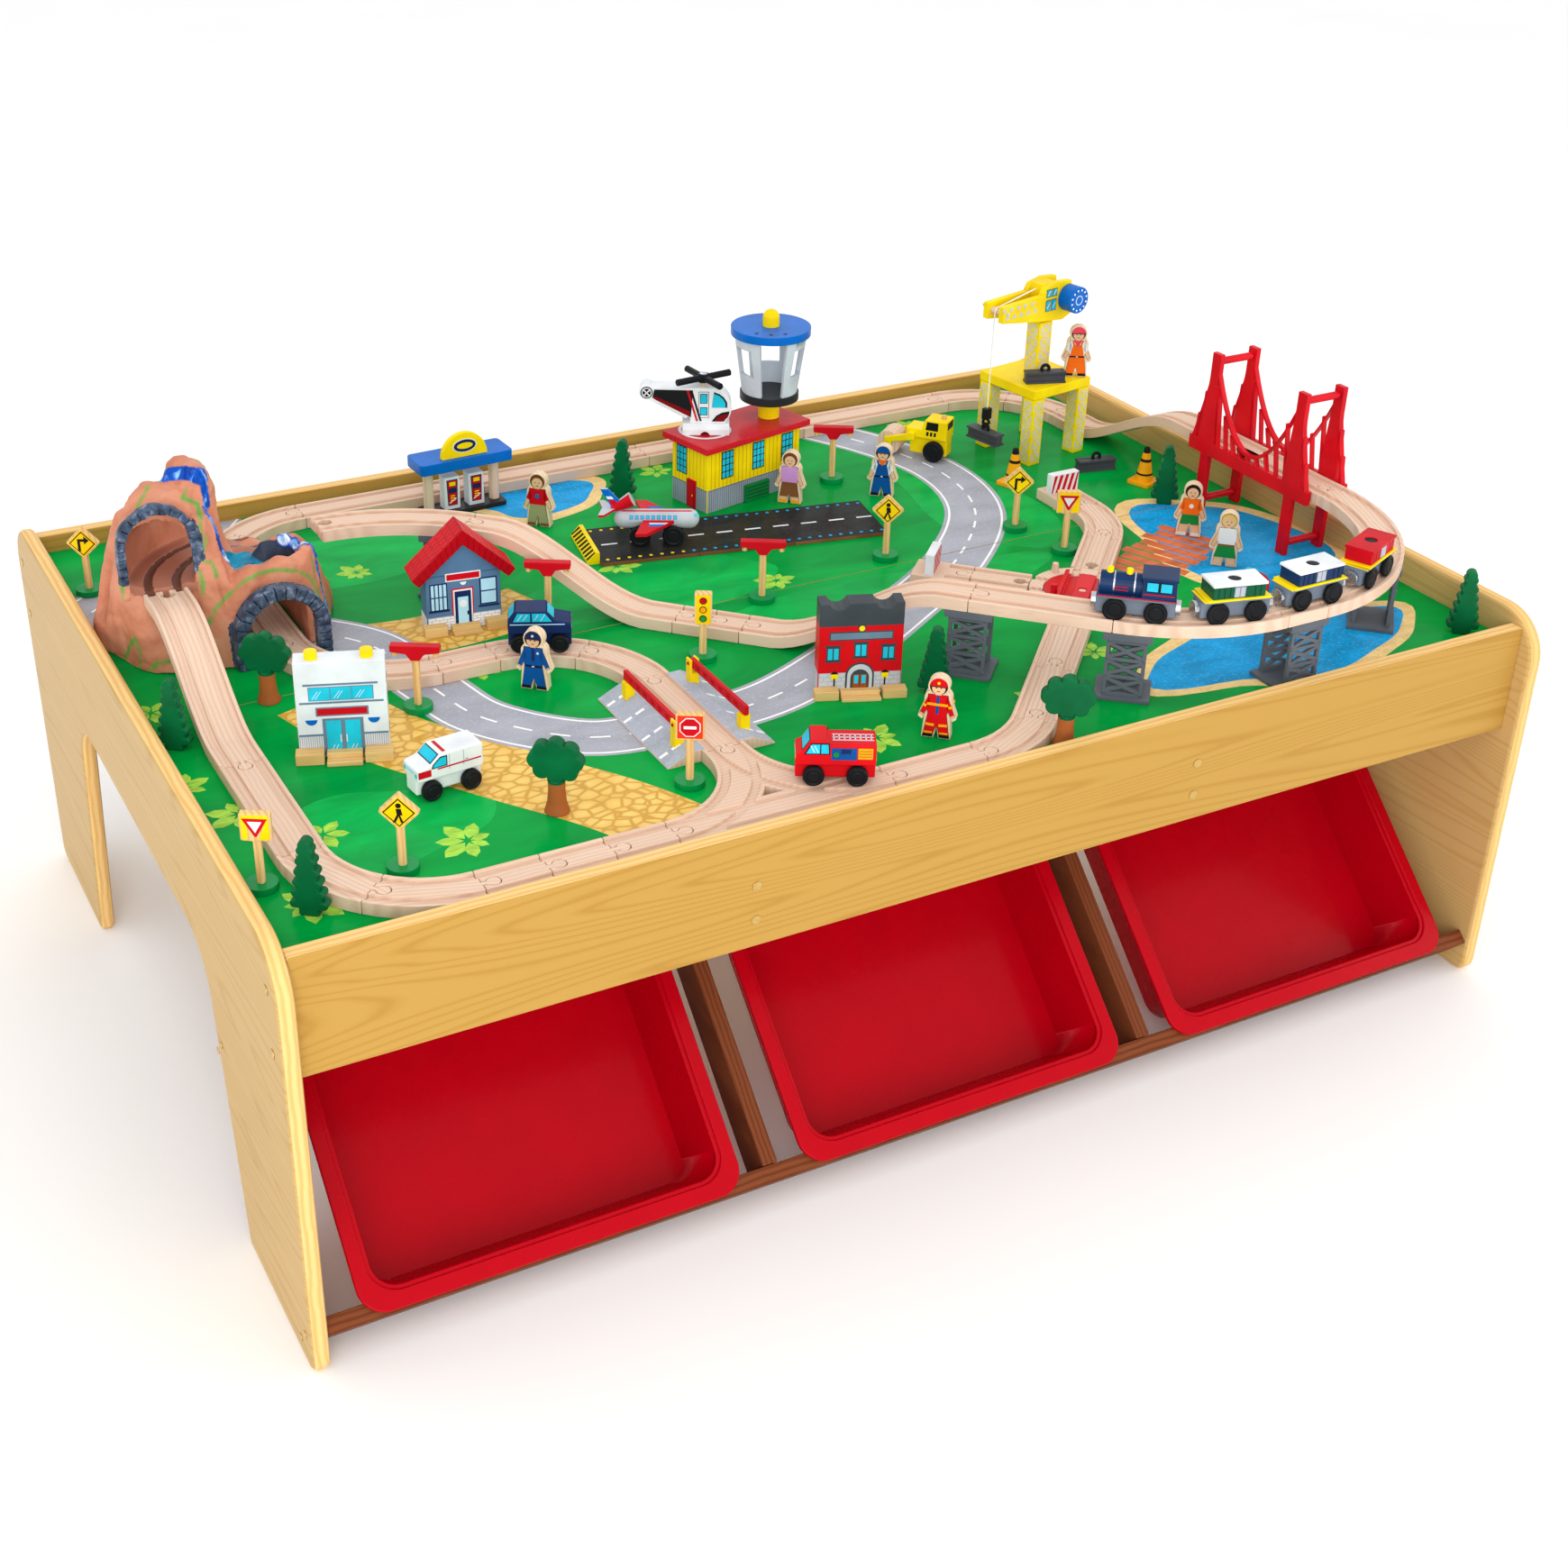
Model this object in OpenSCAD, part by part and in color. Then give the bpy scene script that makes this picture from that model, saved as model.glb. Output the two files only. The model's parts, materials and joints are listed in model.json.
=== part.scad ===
/* [Table frame] */
// Length over the two end panels
table_l = 1240; // [1236:2:1400]
// Depth of the end panels, front to back
table_w = 870; // [868:2:1000]
// Height of the end panels
table_h = 402; // [392:1:440]
// Thickness of the end panels
panel_t = 15; // [12:1:16]
// Radius of the top corners of the end panels
panel_top_r = 48; // [20:1:60]
// Radius at the feet of the end panels
panel_foot_r = 14; // [4:1:24]
// Height of the arch cut in the end panels
arch_h = 273; // [230:1:285]
// Width of the arch at the floor
arch_foot_w = 524; // [480:2:560]
// Width of the arch where its corners start
arch_head_w = 446; // [400:2:470]
// Radius of the arch's upper corners
arch_r = 55; // [30:1:70]
// Height of the front and back rails
rail_h = 108; // [80:1:118]
// Thickness of the rails
rail_t = 15; // [12:1:17]
// Rail top below the panel top
rail_drop = 14; // [4:1:20]
// Rail set in from the edges of the end panels
rail_inset = 17; // [10:1:18]

/* [Play board] */
// Board surface below the rail top
board_drop = 18; // [10:1:30]
// Thickness of the play boards
board_t = 6; // [4:0.5:9]
// Gap at the seam between the two boards
seam_gap = 0.8; // [0.4:0.1:2]
// Side of the cleats under the boards
cleat = 22; // [16:1:28]
// Height of the middle beam under the seam
beam_h = 48; // [30:1:60]

/* [Bin rack] */
// Slope of the rack
rack_tilt = 43; // [38:1:46]
// Front top edge of the rack, in from the panel edge
rack_in = 4; // [2:1:12]
// Front top edge of the rack above the floor
rack_z = 36; // [34:1:60]
// Rack length along the slope
rack_l = 255; // [240:1:262]
// Thickness of the rack bars
bar_t = 15; // [12:1:18]
// Depth of the rack bars
bar_d = 40; // [30:1:44]

/* [Bins] */
// Width of a bin over its rim
bin_w = 344; // [320:1:366]
// Depth of a bin inside the rack
bin_d = 58; // [40:1:60]
// Wall of a bin
bin_wall = 2.6; // [2:0.1:4]
// Thickness of the bin rims
rim_t = 5; // [3:0.5:8]
// Corner radius of a bin
bin_r = 24; // [14:1:34]
// Inward lean of the bin walls, from rim to floor
bin_draft = 9; // [4:1:14]

/* [Track] */
// Width of the wooden track
track_w = 40; // [38:0.5:41]
// Thickness of the wooden track
track_t = 12; // [10:0.5:13]
// Width of a wheel groove
groove_w = 7.5; // [7:0.1:8]
// Depth of a wheel groove
groove_d = 3; // [2:0.1:4]
// Distance between the middles of the grooves
groove_gauge = 25; // [24:0.5:26]
// Radius of the small curves at the middle of the track
curve_r = 108; // [104:1:112]
// Radius of the large curves at the middle of the track
wide_r = 190; // [184:1:196]
// Length of a ramp
ramp_l = 214; // [206:1:218]
// Height of the raised line over the board
pier_h = 66; // [60:1:70]
// Radius of the round joint pegs
peg_r = 5.7; // [4.5:0.1:6]
// Gap between two track pieces
joint_gap = 0.5; // [0.4:0.1:1]

/* [Toys] */
// Thickness of cut-out figures and trees
cutout_t = 11; // [8:0.5:14]
// Radius of train wheels
wheel_r = 10.5; // [9:0.1:11]
// Radius of the wheel axles
axle_r = 1.5; // [1.2:0.1:2]
// Radial running clearance of axles and pins
run_fit = 0.06; // [0.03:0.01:0.09]
// Length of the suspension bridge
bridge_l = 194; // [185:1:200]
// Height of the bridge towers over the board
tower_h = 175; // [150:1:190]

/* [Hidden] */
$fn = 40;
eps = 0.02;
fit = 0.4;
rest = 0.3;

wood = [0.87, 0.71, 0.42];
beech = [0.91, 0.76, 0.63];
brown = [0.45, 0.27, 0.15];
red = [0.78, 0.04, 0.08];
green = [0.0, 0.3, 0.16];
grey = [0.3, 0.31, 0.33];
yellow = [0.98, 0.84, 0.06];
blue = [0.05, 0.28, 0.66];
navy = [0.07, 0.13, 0.3];
white = [0.95, 0.95, 0.95];
black = [0.07, 0.07, 0.07];

// Levels and faces of the table
half_l = table_l / 2;
half_w = table_w / 2;
inner_l = half_l - panel_t;
rail_top = table_h - rail_drop;
rail_out = half_w - rail_inset;
rail_in = rail_out - rail_t;
board_z = rail_top - board_drop;
ground_top = board_z + track_t;
raised_z = board_z + pier_h;
raised_top = raised_z + track_t;

// Places of the track runs on the board
run_left = -548;
run_right = 566;
run_front = -380;
run_back = 367;
tunnel_x = -448;
stem_x = -176;
ramp_top_y = 96;
diagonal_mid = [-71, -50];
diagonal_flat = 66;
raised_run = 130;
turn_at = [287, -153];
turn_r = 52;
junction_r = 100;
crossing_l = 140;
diag = 1 / sqrt(2);

// A pose on the board is [x, y, heading]
function ahead(p, d) = [p[0] + d * cos(p[2]), p[1] + d * sin(p[2]), p[2]];
function aside(p, d) = [p[0] - d * sin(p[2]), p[1] + d * cos(p[2]), p[2]];
function turned(p, r, a) = let (c = aside(p, sign(a) * r))
    [c[0] + sign(a) * r * sin(p[2] + a), c[1] - sign(a) * r * cos(p[2] + a), p[2] + a];
function mid(a, b, t) = a + (b - a) * t;
function smooth(t) = t * t * (3 - 2 * t);

module put(p, z) translate([p[0], p[1], z]) rotate(p[2]) children();
module spot(x, y, turn = 0, up = 0) put([x, y, turn], board_z + up) children();
module across(t) rotate([90, 0, 0]) translate([0, 0, -t / 2]) linear_extrude(t) children();
module rod(p, len, axis, r) translate(p) rotate(axis) cylinder(r = r, h = len, center = true);

// A square with rounded corners, centred
module soft_square(w, l, r) {
    square([w - 2 * r, l], center = true);
    square([w, l - 2 * r], center = true);
    for (x = [-1, 1], y = [-1, 1])
        translate([x * (w / 2 - r), y * (l / 2 - r)]) circle(r);
}

// What a round corner of radius r takes off a square one
module corner_waste(r) {
    difference() {
        translate([-1, -1]) square(r + 1);
        translate([r, r]) circle(r);
    }
}

// End panels, drawn with depth across and height up
module end_outline() {
    head = arch_h - arch_r;
    difference() {
        translate([-half_w, 0]) square([table_w, table_h]);
        for (s = [-1, 1]) scale([s, 1]) {
            translate([-half_w, 0]) corner_waste(panel_foot_r);
            translate([-half_w, table_h]) mirror([0, 1]) corner_waste(panel_top_r);
            translate([arch_head_w / 2 - arch_r, head]) circle(arch_r);
        }
        polygon([[-arch_foot_w / 2, -1], [arch_foot_w / 2, -1], [arch_head_w / 2, head],
            [-arch_head_w / 2, head]]);
        translate([0, head / 2 + arch_h / 2]) square([arch_head_w - 2 * arch_r, arch_r], center = true);
    }
}
module end_panel(x) translate([x, 0, 0]) rotate([90, 0, 90]) linear_extrude(panel_t) end_outline();
module left_end_panel() color(wood) end_panel(-half_l);
module right_end_panel() color(wood) end_panel(inner_l);

module rail(y) translate([-inner_l, y, rail_top - rail_h]) cube([2 * inner_l, rail_t, rail_h]);
module front_rail() color(wood) rail(-rail_out);
module back_rail() color(wood) rail(rail_in);

module play_boards() {
    depth = rail_in - seam_gap / 2;
    color([0.0, 0.62, 0.25])
        for (y = [-rail_in, seam_gap / 2])
            translate([-inner_l, y, board_z - board_t]) cube([2 * inner_l, depth, board_t]);
}

// Cleats along the rails and a beam under the seam
module board_supports() {
    under = board_z - board_t;
    color(wood) {
        for (y = [-rail_in, rail_in - cleat])
            translate([-inner_l, y, under - cleat]) cube([2 * inner_l, cleat, cleat]);
        translate([-inner_l, -cleat / 2, under - beam_h]) cube([2 * inner_l, cleat, beam_h]);
    }
}

// Rack frame: X along the table, Y up the slope, Z out of the slope
bay = 2 * inner_l / 3;
module on_rack() translate([0, -half_w + rack_in, rack_z]) rotate([rack_tilt, 0, 0]) children();
module bin_rack() {
    color(brown) on_rack() {
        for (u = [0, rack_l - bar_t])
            translate([-inner_l, u, -bar_d]) cube([2 * inner_l, bar_t, bar_d]);
        for (x = [-bay / 2, bay / 2])
            translate([x - bar_t / 2, bar_t + fit, -bar_d])
                cube([bar_t, rack_l - 2 * bar_t - 2 * fit, bar_d]);
    }
}

screw_r = 4.2;
small_screw_r = 3.4;
screw_t = 0.8;
screw_pitch = 20;
module frame_screws() {
    bar_mid = -bar_d / 2;
    face = half_l + screw_t / 2;
    color("silver") {
        for (s = [-1, 1]) {
            for (y = [-1, 1], z = [rail_top - rail_h * 0.25, rail_top - rail_h * 0.78])
                rod([s * face, y * (rail_out - rail_t / 2), z], screw_t, [0, 90, 0], screw_r);
            on_rack() for (u = [bar_t / 2, rack_l - bar_t / 2], v = [-screw_pitch / 2, screw_pitch / 2])
                rod([s * face, u, bar_mid + v], screw_t, [0, 90, 0], small_screw_r);
        }
        for (x = [-bay * 0.55, bay * 0.55], z = [rail_top - rail_h * 0.46, rail_top - rail_h * 0.76])
            rod([x, -rail_out - screw_t / 2, z], screw_t, [90, 0, 0], screw_r);
    }
}

// One bin, hung in the rack by its rim
rim_in = 2;
side_rim = 14;
bar_slack = 3;
ledge_w = 4;
ledge_d = 2;
module tub(w, l, r, d, lean) {
    hull() {
        translate([0, 0, -0.1]) linear_extrude(0.1) soft_square(w, l, r);
        translate([0, 0, -d]) linear_extrude(0.1) soft_square(w - 2 * lean, l - 2 * lean, r - lean / 3);
    }
}
module bin(x) {
    rim_l = rack_l - 2 * rim_in;
    mouth_l = rack_l - 2 * bar_t - 2 * bar_slack;
    mouth_w = bin_w - 2 * side_rim;
    clear_w = mouth_w - 2 * bin_wall;
    clear_l = mouth_l - 2 * bin_wall;
    color(red) on_rack() translate([x, rack_l / 2, rest]) difference() {
        union() {
            linear_extrude(rim_t) soft_square(bin_w, rim_l, bin_r);
            tub(mouth_w, mouth_l, bin_r, bin_d, bin_draft);
        }
        translate([0, 0, eps]) tub(clear_w, clear_l, bin_r - bin_wall, bin_d - bin_wall, bin_draft);
        translate([0, 0, -eps]) linear_extrude(rim_t + 1) soft_square(clear_w, clear_l, bin_r - bin_wall);
        translate([0, 0, rim_t - ledge_d]) linear_extrude(rim_t)
            soft_square(clear_w + 2 * ledge_w, clear_l + 2 * ledge_w, bin_r - bin_wall + ledge_w);
    }
}
module bin_left() bin(-bay);
module bin_middle() bin(0);
module bin_right() bin(bay);

// Track pieces start at the origin and run along +X, with a socket at the start and a peg at the end
groove_mid = groove_gauge / 2;
peg_reach = 9.5;
neck_w = 4.4;
module section() {
    o = track_w / 2;
    a = groove_mid + groove_w / 2;
    b = groove_mid - groove_w / 2;
    f = track_t - groove_d;
    polygon([[-o, 0], [o, 0], [o, track_t], [a, track_t], [a, f], [b, f], [b, track_t],
        [-b, track_t], [-b, f], [-a, f], [-a, track_t], [-o, track_t]]);
}
module peg() {
    translate([-1, -neck_w / 2, 0]) cube([peg_reach + 1, neck_w, track_t]);
    translate([peg_reach, 0, 0]) cylinder(r = peg_r, h = track_t);
}
module socket() {
    translate([-1, -neck_w / 2 - joint_gap, -1]) cube([peg_reach + 1, neck_w + 2 * joint_gap, track_t + 2]);
    translate([peg_reach, 0, -1]) cylinder(r = peg_r + joint_gap, h = track_t + 2);
}
module straight(len) {
    difference() {
        translate([joint_gap / 2, 0, 0]) rotate([90, 0, 90]) linear_extrude(len - joint_gap) section();
        socket();
    }
    translate([len - joint_gap / 2, 0, 0]) peg();
}
module bend(r, a) {
    trim = joint_gap / 2 / r * 180 / PI;
    mirror([0, a < 0 ? 1 : 0, 0]) {
        difference() {
            translate([0, r, 0]) rotate(trim - 90)
                rotate_extrude(angle = abs(a) - 2 * trim) translate([r, 0]) section();
            socket();
        }
        put(turned([0, 0, 0], r, abs(a) - trim), 0) peg();
    }
}
ramp_flat = 0.13;
function climb(t) = smooth(min(1, max(0, (t - ramp_flat) / (1 - 2 * ramp_flat))));
function ramp_line(len, rise, n = 20) =
    [for (i = [0:n]) [mid(joint_gap / 2, len - joint_gap / 2, i / n), rise * climb(i / n)]];
function band(line, low, high) = concat([for (p = line) [p[0], p[1] + low]],
    [for (i = [len(line) - 1:-1:0]) [line[i][0], line[i][1] + high]]);
module ramp(len, rise) {
    line = ramp_line(len, rise);
    difference() {
        across(track_w) polygon(band(line, 0, track_t));
        for (s = [-1, 1])
            translate([0, s * groove_mid, 0]) across(groove_w)
                polygon(band(line, track_t - groove_d, track_t + 20));
        socket();
    }
    translate([len - joint_gap / 2, 0, rise]) peg();
}
module straight_at(p, len, z) put(p, z) straight(len);
module bend_at(p, r, a, z) put(p, z) bend(r, a);
// A run of equal straight pieces from one pose to a distance ahead
module run_at(p, len, n, z) for (i = [0:n - 1]) straight_at(ahead(p, i * len / n), len / n, z);
// A wide turn made of equal curved pieces
module turn_run(p, r, a, n, z) for (i = [0:n - 1]) bend_at(turned(p, r, a * i / n + eps / 100), r, a / n, z);

// Poses along the raised line, from the hill to the back corner
diag_half = ramp_l + diagonal_flat / 2;
down_top = [diagonal_mid[0] - diag_half * diag, diagonal_mid[1] + diag_half * diag, -45];
hill_exit = [down_top[0] - wide_r * diag, down_top[1] + wide_r * (1 - diag), 0];
down_foot = ahead(down_top, ramp_l);
up_foot = ahead(down_foot, diagonal_flat);
up_top = ahead(up_foot, ramp_l);
sweep_in = ahead(up_top, raised_run);
sweep_low = turned(sweep_in, wide_r, 45);
sweep_l = run_right - wide_r - sweep_low[0];
sweep_mid = ahead(sweep_low, sweep_l);
bridge_in = turned(sweep_mid, wide_r, 90);
bridge_out = ahead(bridge_in, bridge_l);
corner_in = [run_right, run_back - curve_r, 90];
// Poses along the ground line
hill_top = [run_left, ramp_top_y, -90];
left_foot = ahead(hill_top, ramp_l);
left_end = [run_left, run_front + curve_r, -90];
front_in = turned(left_end, curve_r, 90);
junction_in = [stem_x - junction_r, run_front, 0];
junction_out = ahead(junction_in, 2 * junction_r);
fork_in = [run_front + curve_r * (1 - 2 * diag) + turn_at[0] - turn_at[1], run_front, 0];
fork_out = turned(fork_in, curve_r, 45);
fork_l = norm([turn_at[0] - fork_out[0], turn_at[1] - fork_out[1]]) - turn_r - joint_gap;
back_in = turned(corner_in, curve_r, 90);
back_out = [tunnel_x + curve_r, run_back, 180];
stem_in = [stem_x, run_front + junction_r + 9, 90];
crossing_in = ahead(stem_in, crossing_l);
loop_y = crossing_in[1] + curve_r;
tunnel_in = [tunnel_x, run_back - curve_r, -90];
tunnel_out = [tunnel_x, loop_y + curve_r, -90];
loop_in = turned(tunnel_out, curve_r, 90);
loop_out = [stem_x - curve_r, loop_y, 0];
buffer_pose = [turn_at[0] - (turn_r + joint_gap) * diag, turn_at[1] + (turn_r + joint_gap) * diag, 135];
stub_pose = [turn_at[0] + (turn_r + joint_gap) * diag, turn_at[1] + (turn_r + joint_gap) * diag, 45];
buffer_l = 58;
stub_l = 88;
stub_end = turned(ahead(stub_pose, stub_l), curve_r, 45);

// Three-way junction: a straight with two curves that meet in a stem
module junction_grooves() {
    cut = track_t - groove_d;
    for (s = [-1, 1]) {
        near = s * groove_mid - groove_w / 2;
        translate([-1, near, cut]) cube([2 * junction_r + 2, groove_w, track_t]);
        translate([junction_r + near, junction_r - 1, cut]) cube([groove_w, 20, track_t]);
        for (x = [0, 2 * junction_r], r = [junction_r - groove_mid, junction_r + groove_mid])
            translate([x, junction_r, cut]) rotate(x == 0 ? -90 : 180) rotate_extrude(angle = 90)
                translate([r - groove_w / 2, 0]) square([groove_w, track_t]);
    }
}
module junction() {
    o = track_w / 2;
    stem = 9 - joint_gap / 2;
    difference() {
        linear_extrude(track_t) {
            translate([joint_gap / 2, -o]) square([2 * junction_r - joint_gap, track_w]);
            translate([junction_r - o, junction_r - 1]) square([track_w, stem + 1]);
            for (x = [0, 2 * junction_r]) intersection() {
                translate([joint_gap / 2, -o]) square([2 * junction_r - joint_gap, junction_r + o]);
                translate([x, junction_r]) difference() {
                    circle(junction_r + o);
                    circle(junction_r - o);
                }
                translate([x == 0 ? 0 : junction_r - o, -o]) square([junction_r + o, junction_r + o]);
            }
        }
        junction_grooves();
        socket();
        translate([junction_r, junction_r + 9, 0]) rotate(-90) socket();
    }
    translate([2 * junction_r - joint_gap / 2, 0, 0]) peg();
}

// A short track that ends in a block
module buffer_track(len) {
    difference() {
        translate([joint_gap / 2, -track_w / 2, 0]) cube([len, track_w, track_t]);
        for (s = [-1, 1])
            translate([-1, s * groove_mid - groove_w / 2, track_t - groove_d])
                cube([len * 0.45, groove_w, track_t]);
        socket();
    }
}

module ground_tracks() {
    color(beech) {
        straight_at(left_foot, left_foot[1] - left_end[1], board_z);
        turn_run(left_end, curve_r, 90, 2, board_z);
        run_at(front_in, junction_in[0] - front_in[0], 3, board_z);
        put(junction_in, board_z) junction();
        straight_at(junction_out, fork_in[0] - junction_out[0], board_z);
        bend_at(fork_in, curve_r, 45, board_z);
        run_at(fork_out, fork_l - peg_reach - peg_r, 2, board_z);
        turn_run(corner_in, curve_r, 90, 2, board_z);
        run_at(back_in, back_in[0] - back_out[0], 4, board_z);
        turn_run(back_out, curve_r, 90, 2, board_z);
        straight_at(tunnel_in, tunnel_in[1] - tunnel_out[1], board_z);
        turn_run(tunnel_out, curve_r, 90, 2, board_z);
        straight_at(loop_in, loop_out[0] - loop_in[0], board_z);
        turn_run(loop_out, curve_r, -90, 2, board_z);
        straight_at(buffer_pose, buffer_l, board_z);
        put(ahead(buffer_pose, buffer_l), board_z) buffer_track(buffer_l);
        straight_at(stub_pose, stub_l, board_z);
        bend_at(ahead(stub_pose, stub_l), curve_r, 45, board_z);
        put(stub_end, board_z) buffer_track(buffer_l);
    }
}

module raised_tracks() {
    color(beech) {
        put(hill_top, raised_z) ramp(ramp_l, -pier_h);
        bend_at(hill_exit, wide_r, -45, raised_z);
        put(down_top, raised_z) ramp(ramp_l, -pier_h);
        run_at(down_foot, diagonal_flat, 2, board_z);
        put(up_foot, board_z) ramp(ramp_l, pier_h);
        straight_at(up_top, raised_run, raised_z);
        bend_at(sweep_in, wide_r, 45, raised_z);
        straight_at(sweep_low, sweep_l, raised_z);
        turn_run(sweep_mid, wide_r, 90, 2, raised_z);
        straight_at(bridge_in, bridge_l, raised_z);
        put(bridge_out, raised_z) ramp(corner_in[1] - bridge_out[1], -pier_h);
    }
}

// Turntable: a round base with a well, a pin and entry grooves, and a rotor
rotor_r = 38;
well_d = 8;
pin_r = 4;
module entry_grooves(r, cut) {
    for (a = [45:90:315], s = [-1, 1]) rotate(a)
        translate([rotor_r - 2, s * groove_mid - groove_w / 2, cut]) cube([r, groove_w, track_t]);
}
module turntable_base() {
    color(beech) put([turn_at[0], turn_at[1], 0], board_z) {
        difference() {
            cylinder(r = turn_r, h = track_t, $fn = 72);
            translate([0, 0, track_t - well_d]) cylinder(r = rotor_r + fit, h = track_t, $fn = 72);
            entry_grooves(turn_r, track_t - groove_d);
        }
        translate([0, 0, 1]) cylinder(r = pin_r, h = track_t - 2);
        translate([0, turn_r - 6, track_t - 1]) cylinder(r1 = 4, r2 = 3, h = 11);
    }
}
module turntable_rotor() {
    lift = track_t - well_d + rest;
    color(red) put([turn_at[0], turn_at[1], 45], board_z + lift) difference() {
        union() {
            cylinder(r = rotor_r, h = well_d - rest, $fn = 72);
            for (s = [-1, 1]) intersection() {
                translate([-rotor_r, s * track_w / 2 - 2, 0]) cube([2 * rotor_r, 4, well_d + 5]);
                cylinder(r = rotor_r, h = 2 * well_d, $fn = 72);
            }
            translate([-rotor_r * 0.54, rotor_r * 0.67, 0]) cylinder(r = 3.4, h = 19);
        }
        translate([0, 0, -1]) cylinder(r = pin_r + run_fit, h = well_d + 10);
        for (s = [-1, 1])
            translate([-rotor_r, s * groove_mid - groove_w / 2, well_d - groove_d - rest])
                cube([2 * rotor_r, groove_w, track_t]);
    }
}

// Level crossing: ramped plate with four gate posts
plate_top = 30;
plate_foot = 52;
post_at = [32, 48];
gate_z = 17;
arm_t = 4;
arm_h = 9;
post_w = 9;
module crossing_plate() {
    prof = [[-plate_foot, 0], [plate_foot, 0], [plate_foot, 1.5], [plate_top, track_t], [-plate_top, track_t],
        [-plate_foot, 1.5]];
    color(beech) put(stem_in, board_z) {
        difference() {
            translate([joint_gap / 2, 0, 0]) rotate([90, 0, 90])
                linear_extrude(crossing_l - joint_gap) polygon(prof);
            for (s = [-1, 1])
                translate([-1, s * groove_mid - groove_w / 2, track_t - groove_d])
                    cube([crossing_l + 2, groove_w, track_t]);
            translate([crossing_l, 0, 0]) rotate(180) socket();
            for (x = [-1, 1], y = [-1, 1])
                translate([crossing_l / 2 + x * post_at[1], y * post_at[0], 0]) gate_foot(3, 0.2);
        }
        translate([joint_gap / 2, 0, 0]) rotate(180) peg();
    }
    color(yellow) put(ahead(stem_in, crossing_l / 2), board_z)
        for (s = [-1, 1]) {
            translate([s * post_at[1], s * -post_at[0], 0]) pivot_post();
            translate([-s * post_at[1], s * -post_at[0], 0]) rest_post();
        }
}
// The square foot by which a gate post stands in the plate
module gate_foot(z, slack) {
    side = post_w + slack;
    translate([-side / 2, -side / 2, z]) cube([side, side, 100]);
}
module pivot_post() {
    top = track_t + gate_z + arm_h / 2;
    difference() {
        translate([-post_w / 2, -post_w / 2, 3.2]) cube([post_w, post_w, top - 3.2]);
        translate([-post_w, -arm_t / 2 - fit, track_t + gate_z - arm_h])
            cube([2 * post_w, arm_t + 2 * fit, 40]);
        rod([0, 0, track_t + gate_z], 40, [90, 0, 0], axle_r + run_fit);
    }
}
module rest_post() {
    top = track_t + gate_z - arm_h / 2 - rest;
    translate([-post_w / 2, -post_w / 2, 3.2]) cube([post_w, post_w, top - 3.2]);
}
// A slotted arm with its pin, at the pivot and reaching along -X
module gate_arm() {
    reach = 2 * post_at[1] + 6;
    color(red) {
        difference() {
            across(arm_t) difference() {
                union() {
                    translate([-reach, -arm_h / 2]) square([reach, arm_h]);
                    circle(arm_h / 2);
                }
                for (i = [0:5]) translate([-14 - i * 14.5, 0]) soft_square(10, 3.6, 1.7);
            }
        }
        rod([0, 0, 0], post_w + 2, [90, 0, 0], axle_r);
    }
}
gate_mid = ahead(stem_in, crossing_l / 2);
module gate_at(s) put(gate_mid, board_z + track_t + gate_z)
    translate([s * post_at[1], s * -post_at[0], 0]) rotate(s > 0 ? 0 : 180) gate_arm();
module gate_arm_left() gate_at(-1);
module gate_arm_right() gate_at(1);

// Lattice piers under the raised line, long side along the track
pier_l = 44;
pier_w = 40;
pier_foot = 4;
pier_head = 7;
module lattice(w, h, n, t) {
    cell = (h - t) / n;
    difference() {
        translate([-w / 2, 0]) square([w, h]);
        for (i = [0:n - 1]) translate([0, t + i * cell]) {
            c = cell - t;
            e = w / 2 - t;
            g = t * 0.75;
            polygon([[-e + g, 0], [e - g, 0], [0, c / 2 - g]]);
            polygon([[-e + g, c], [0, c / 2 + g], [e - g, c]]);
            polygon([[-e, g], [-g * 1.3, c / 2], [-e, c - g]]);
            polygon([[e, g], [e, c - g], [g * 1.3, c / 2]]);
        }
    }
}
module pier() {
    wall = pier_h - pier_foot - pier_head;
    translate([-pier_l / 2 - 3, -pier_w / 2 - 2, 0]) cube([pier_l + 6, pier_w + 4, pier_foot]);
    translate([-pier_l / 2, -pier_w / 2, pier_h - pier_head]) cube([pier_l, pier_w, pier_head]);
    for (s = [-1, 1])
        translate([0, s * (pier_w / 2 - 4), pier_foot - eps]) across(4) lattice(36, wall + 2 * eps, 3, 3.4);
}
pier_poses = [turned(hill_exit, wide_r, -38), ahead(up_top, 1), turned(sweep_in, wide_r, 4),
    ahead(sweep_low, sweep_l / 2 + 4), turned(sweep_mid, wide_r, 46)];
module track_piers() {
    color(grey) {
        for (p = pier_poses) put(p, board_z) pier();
    }
}

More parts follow.
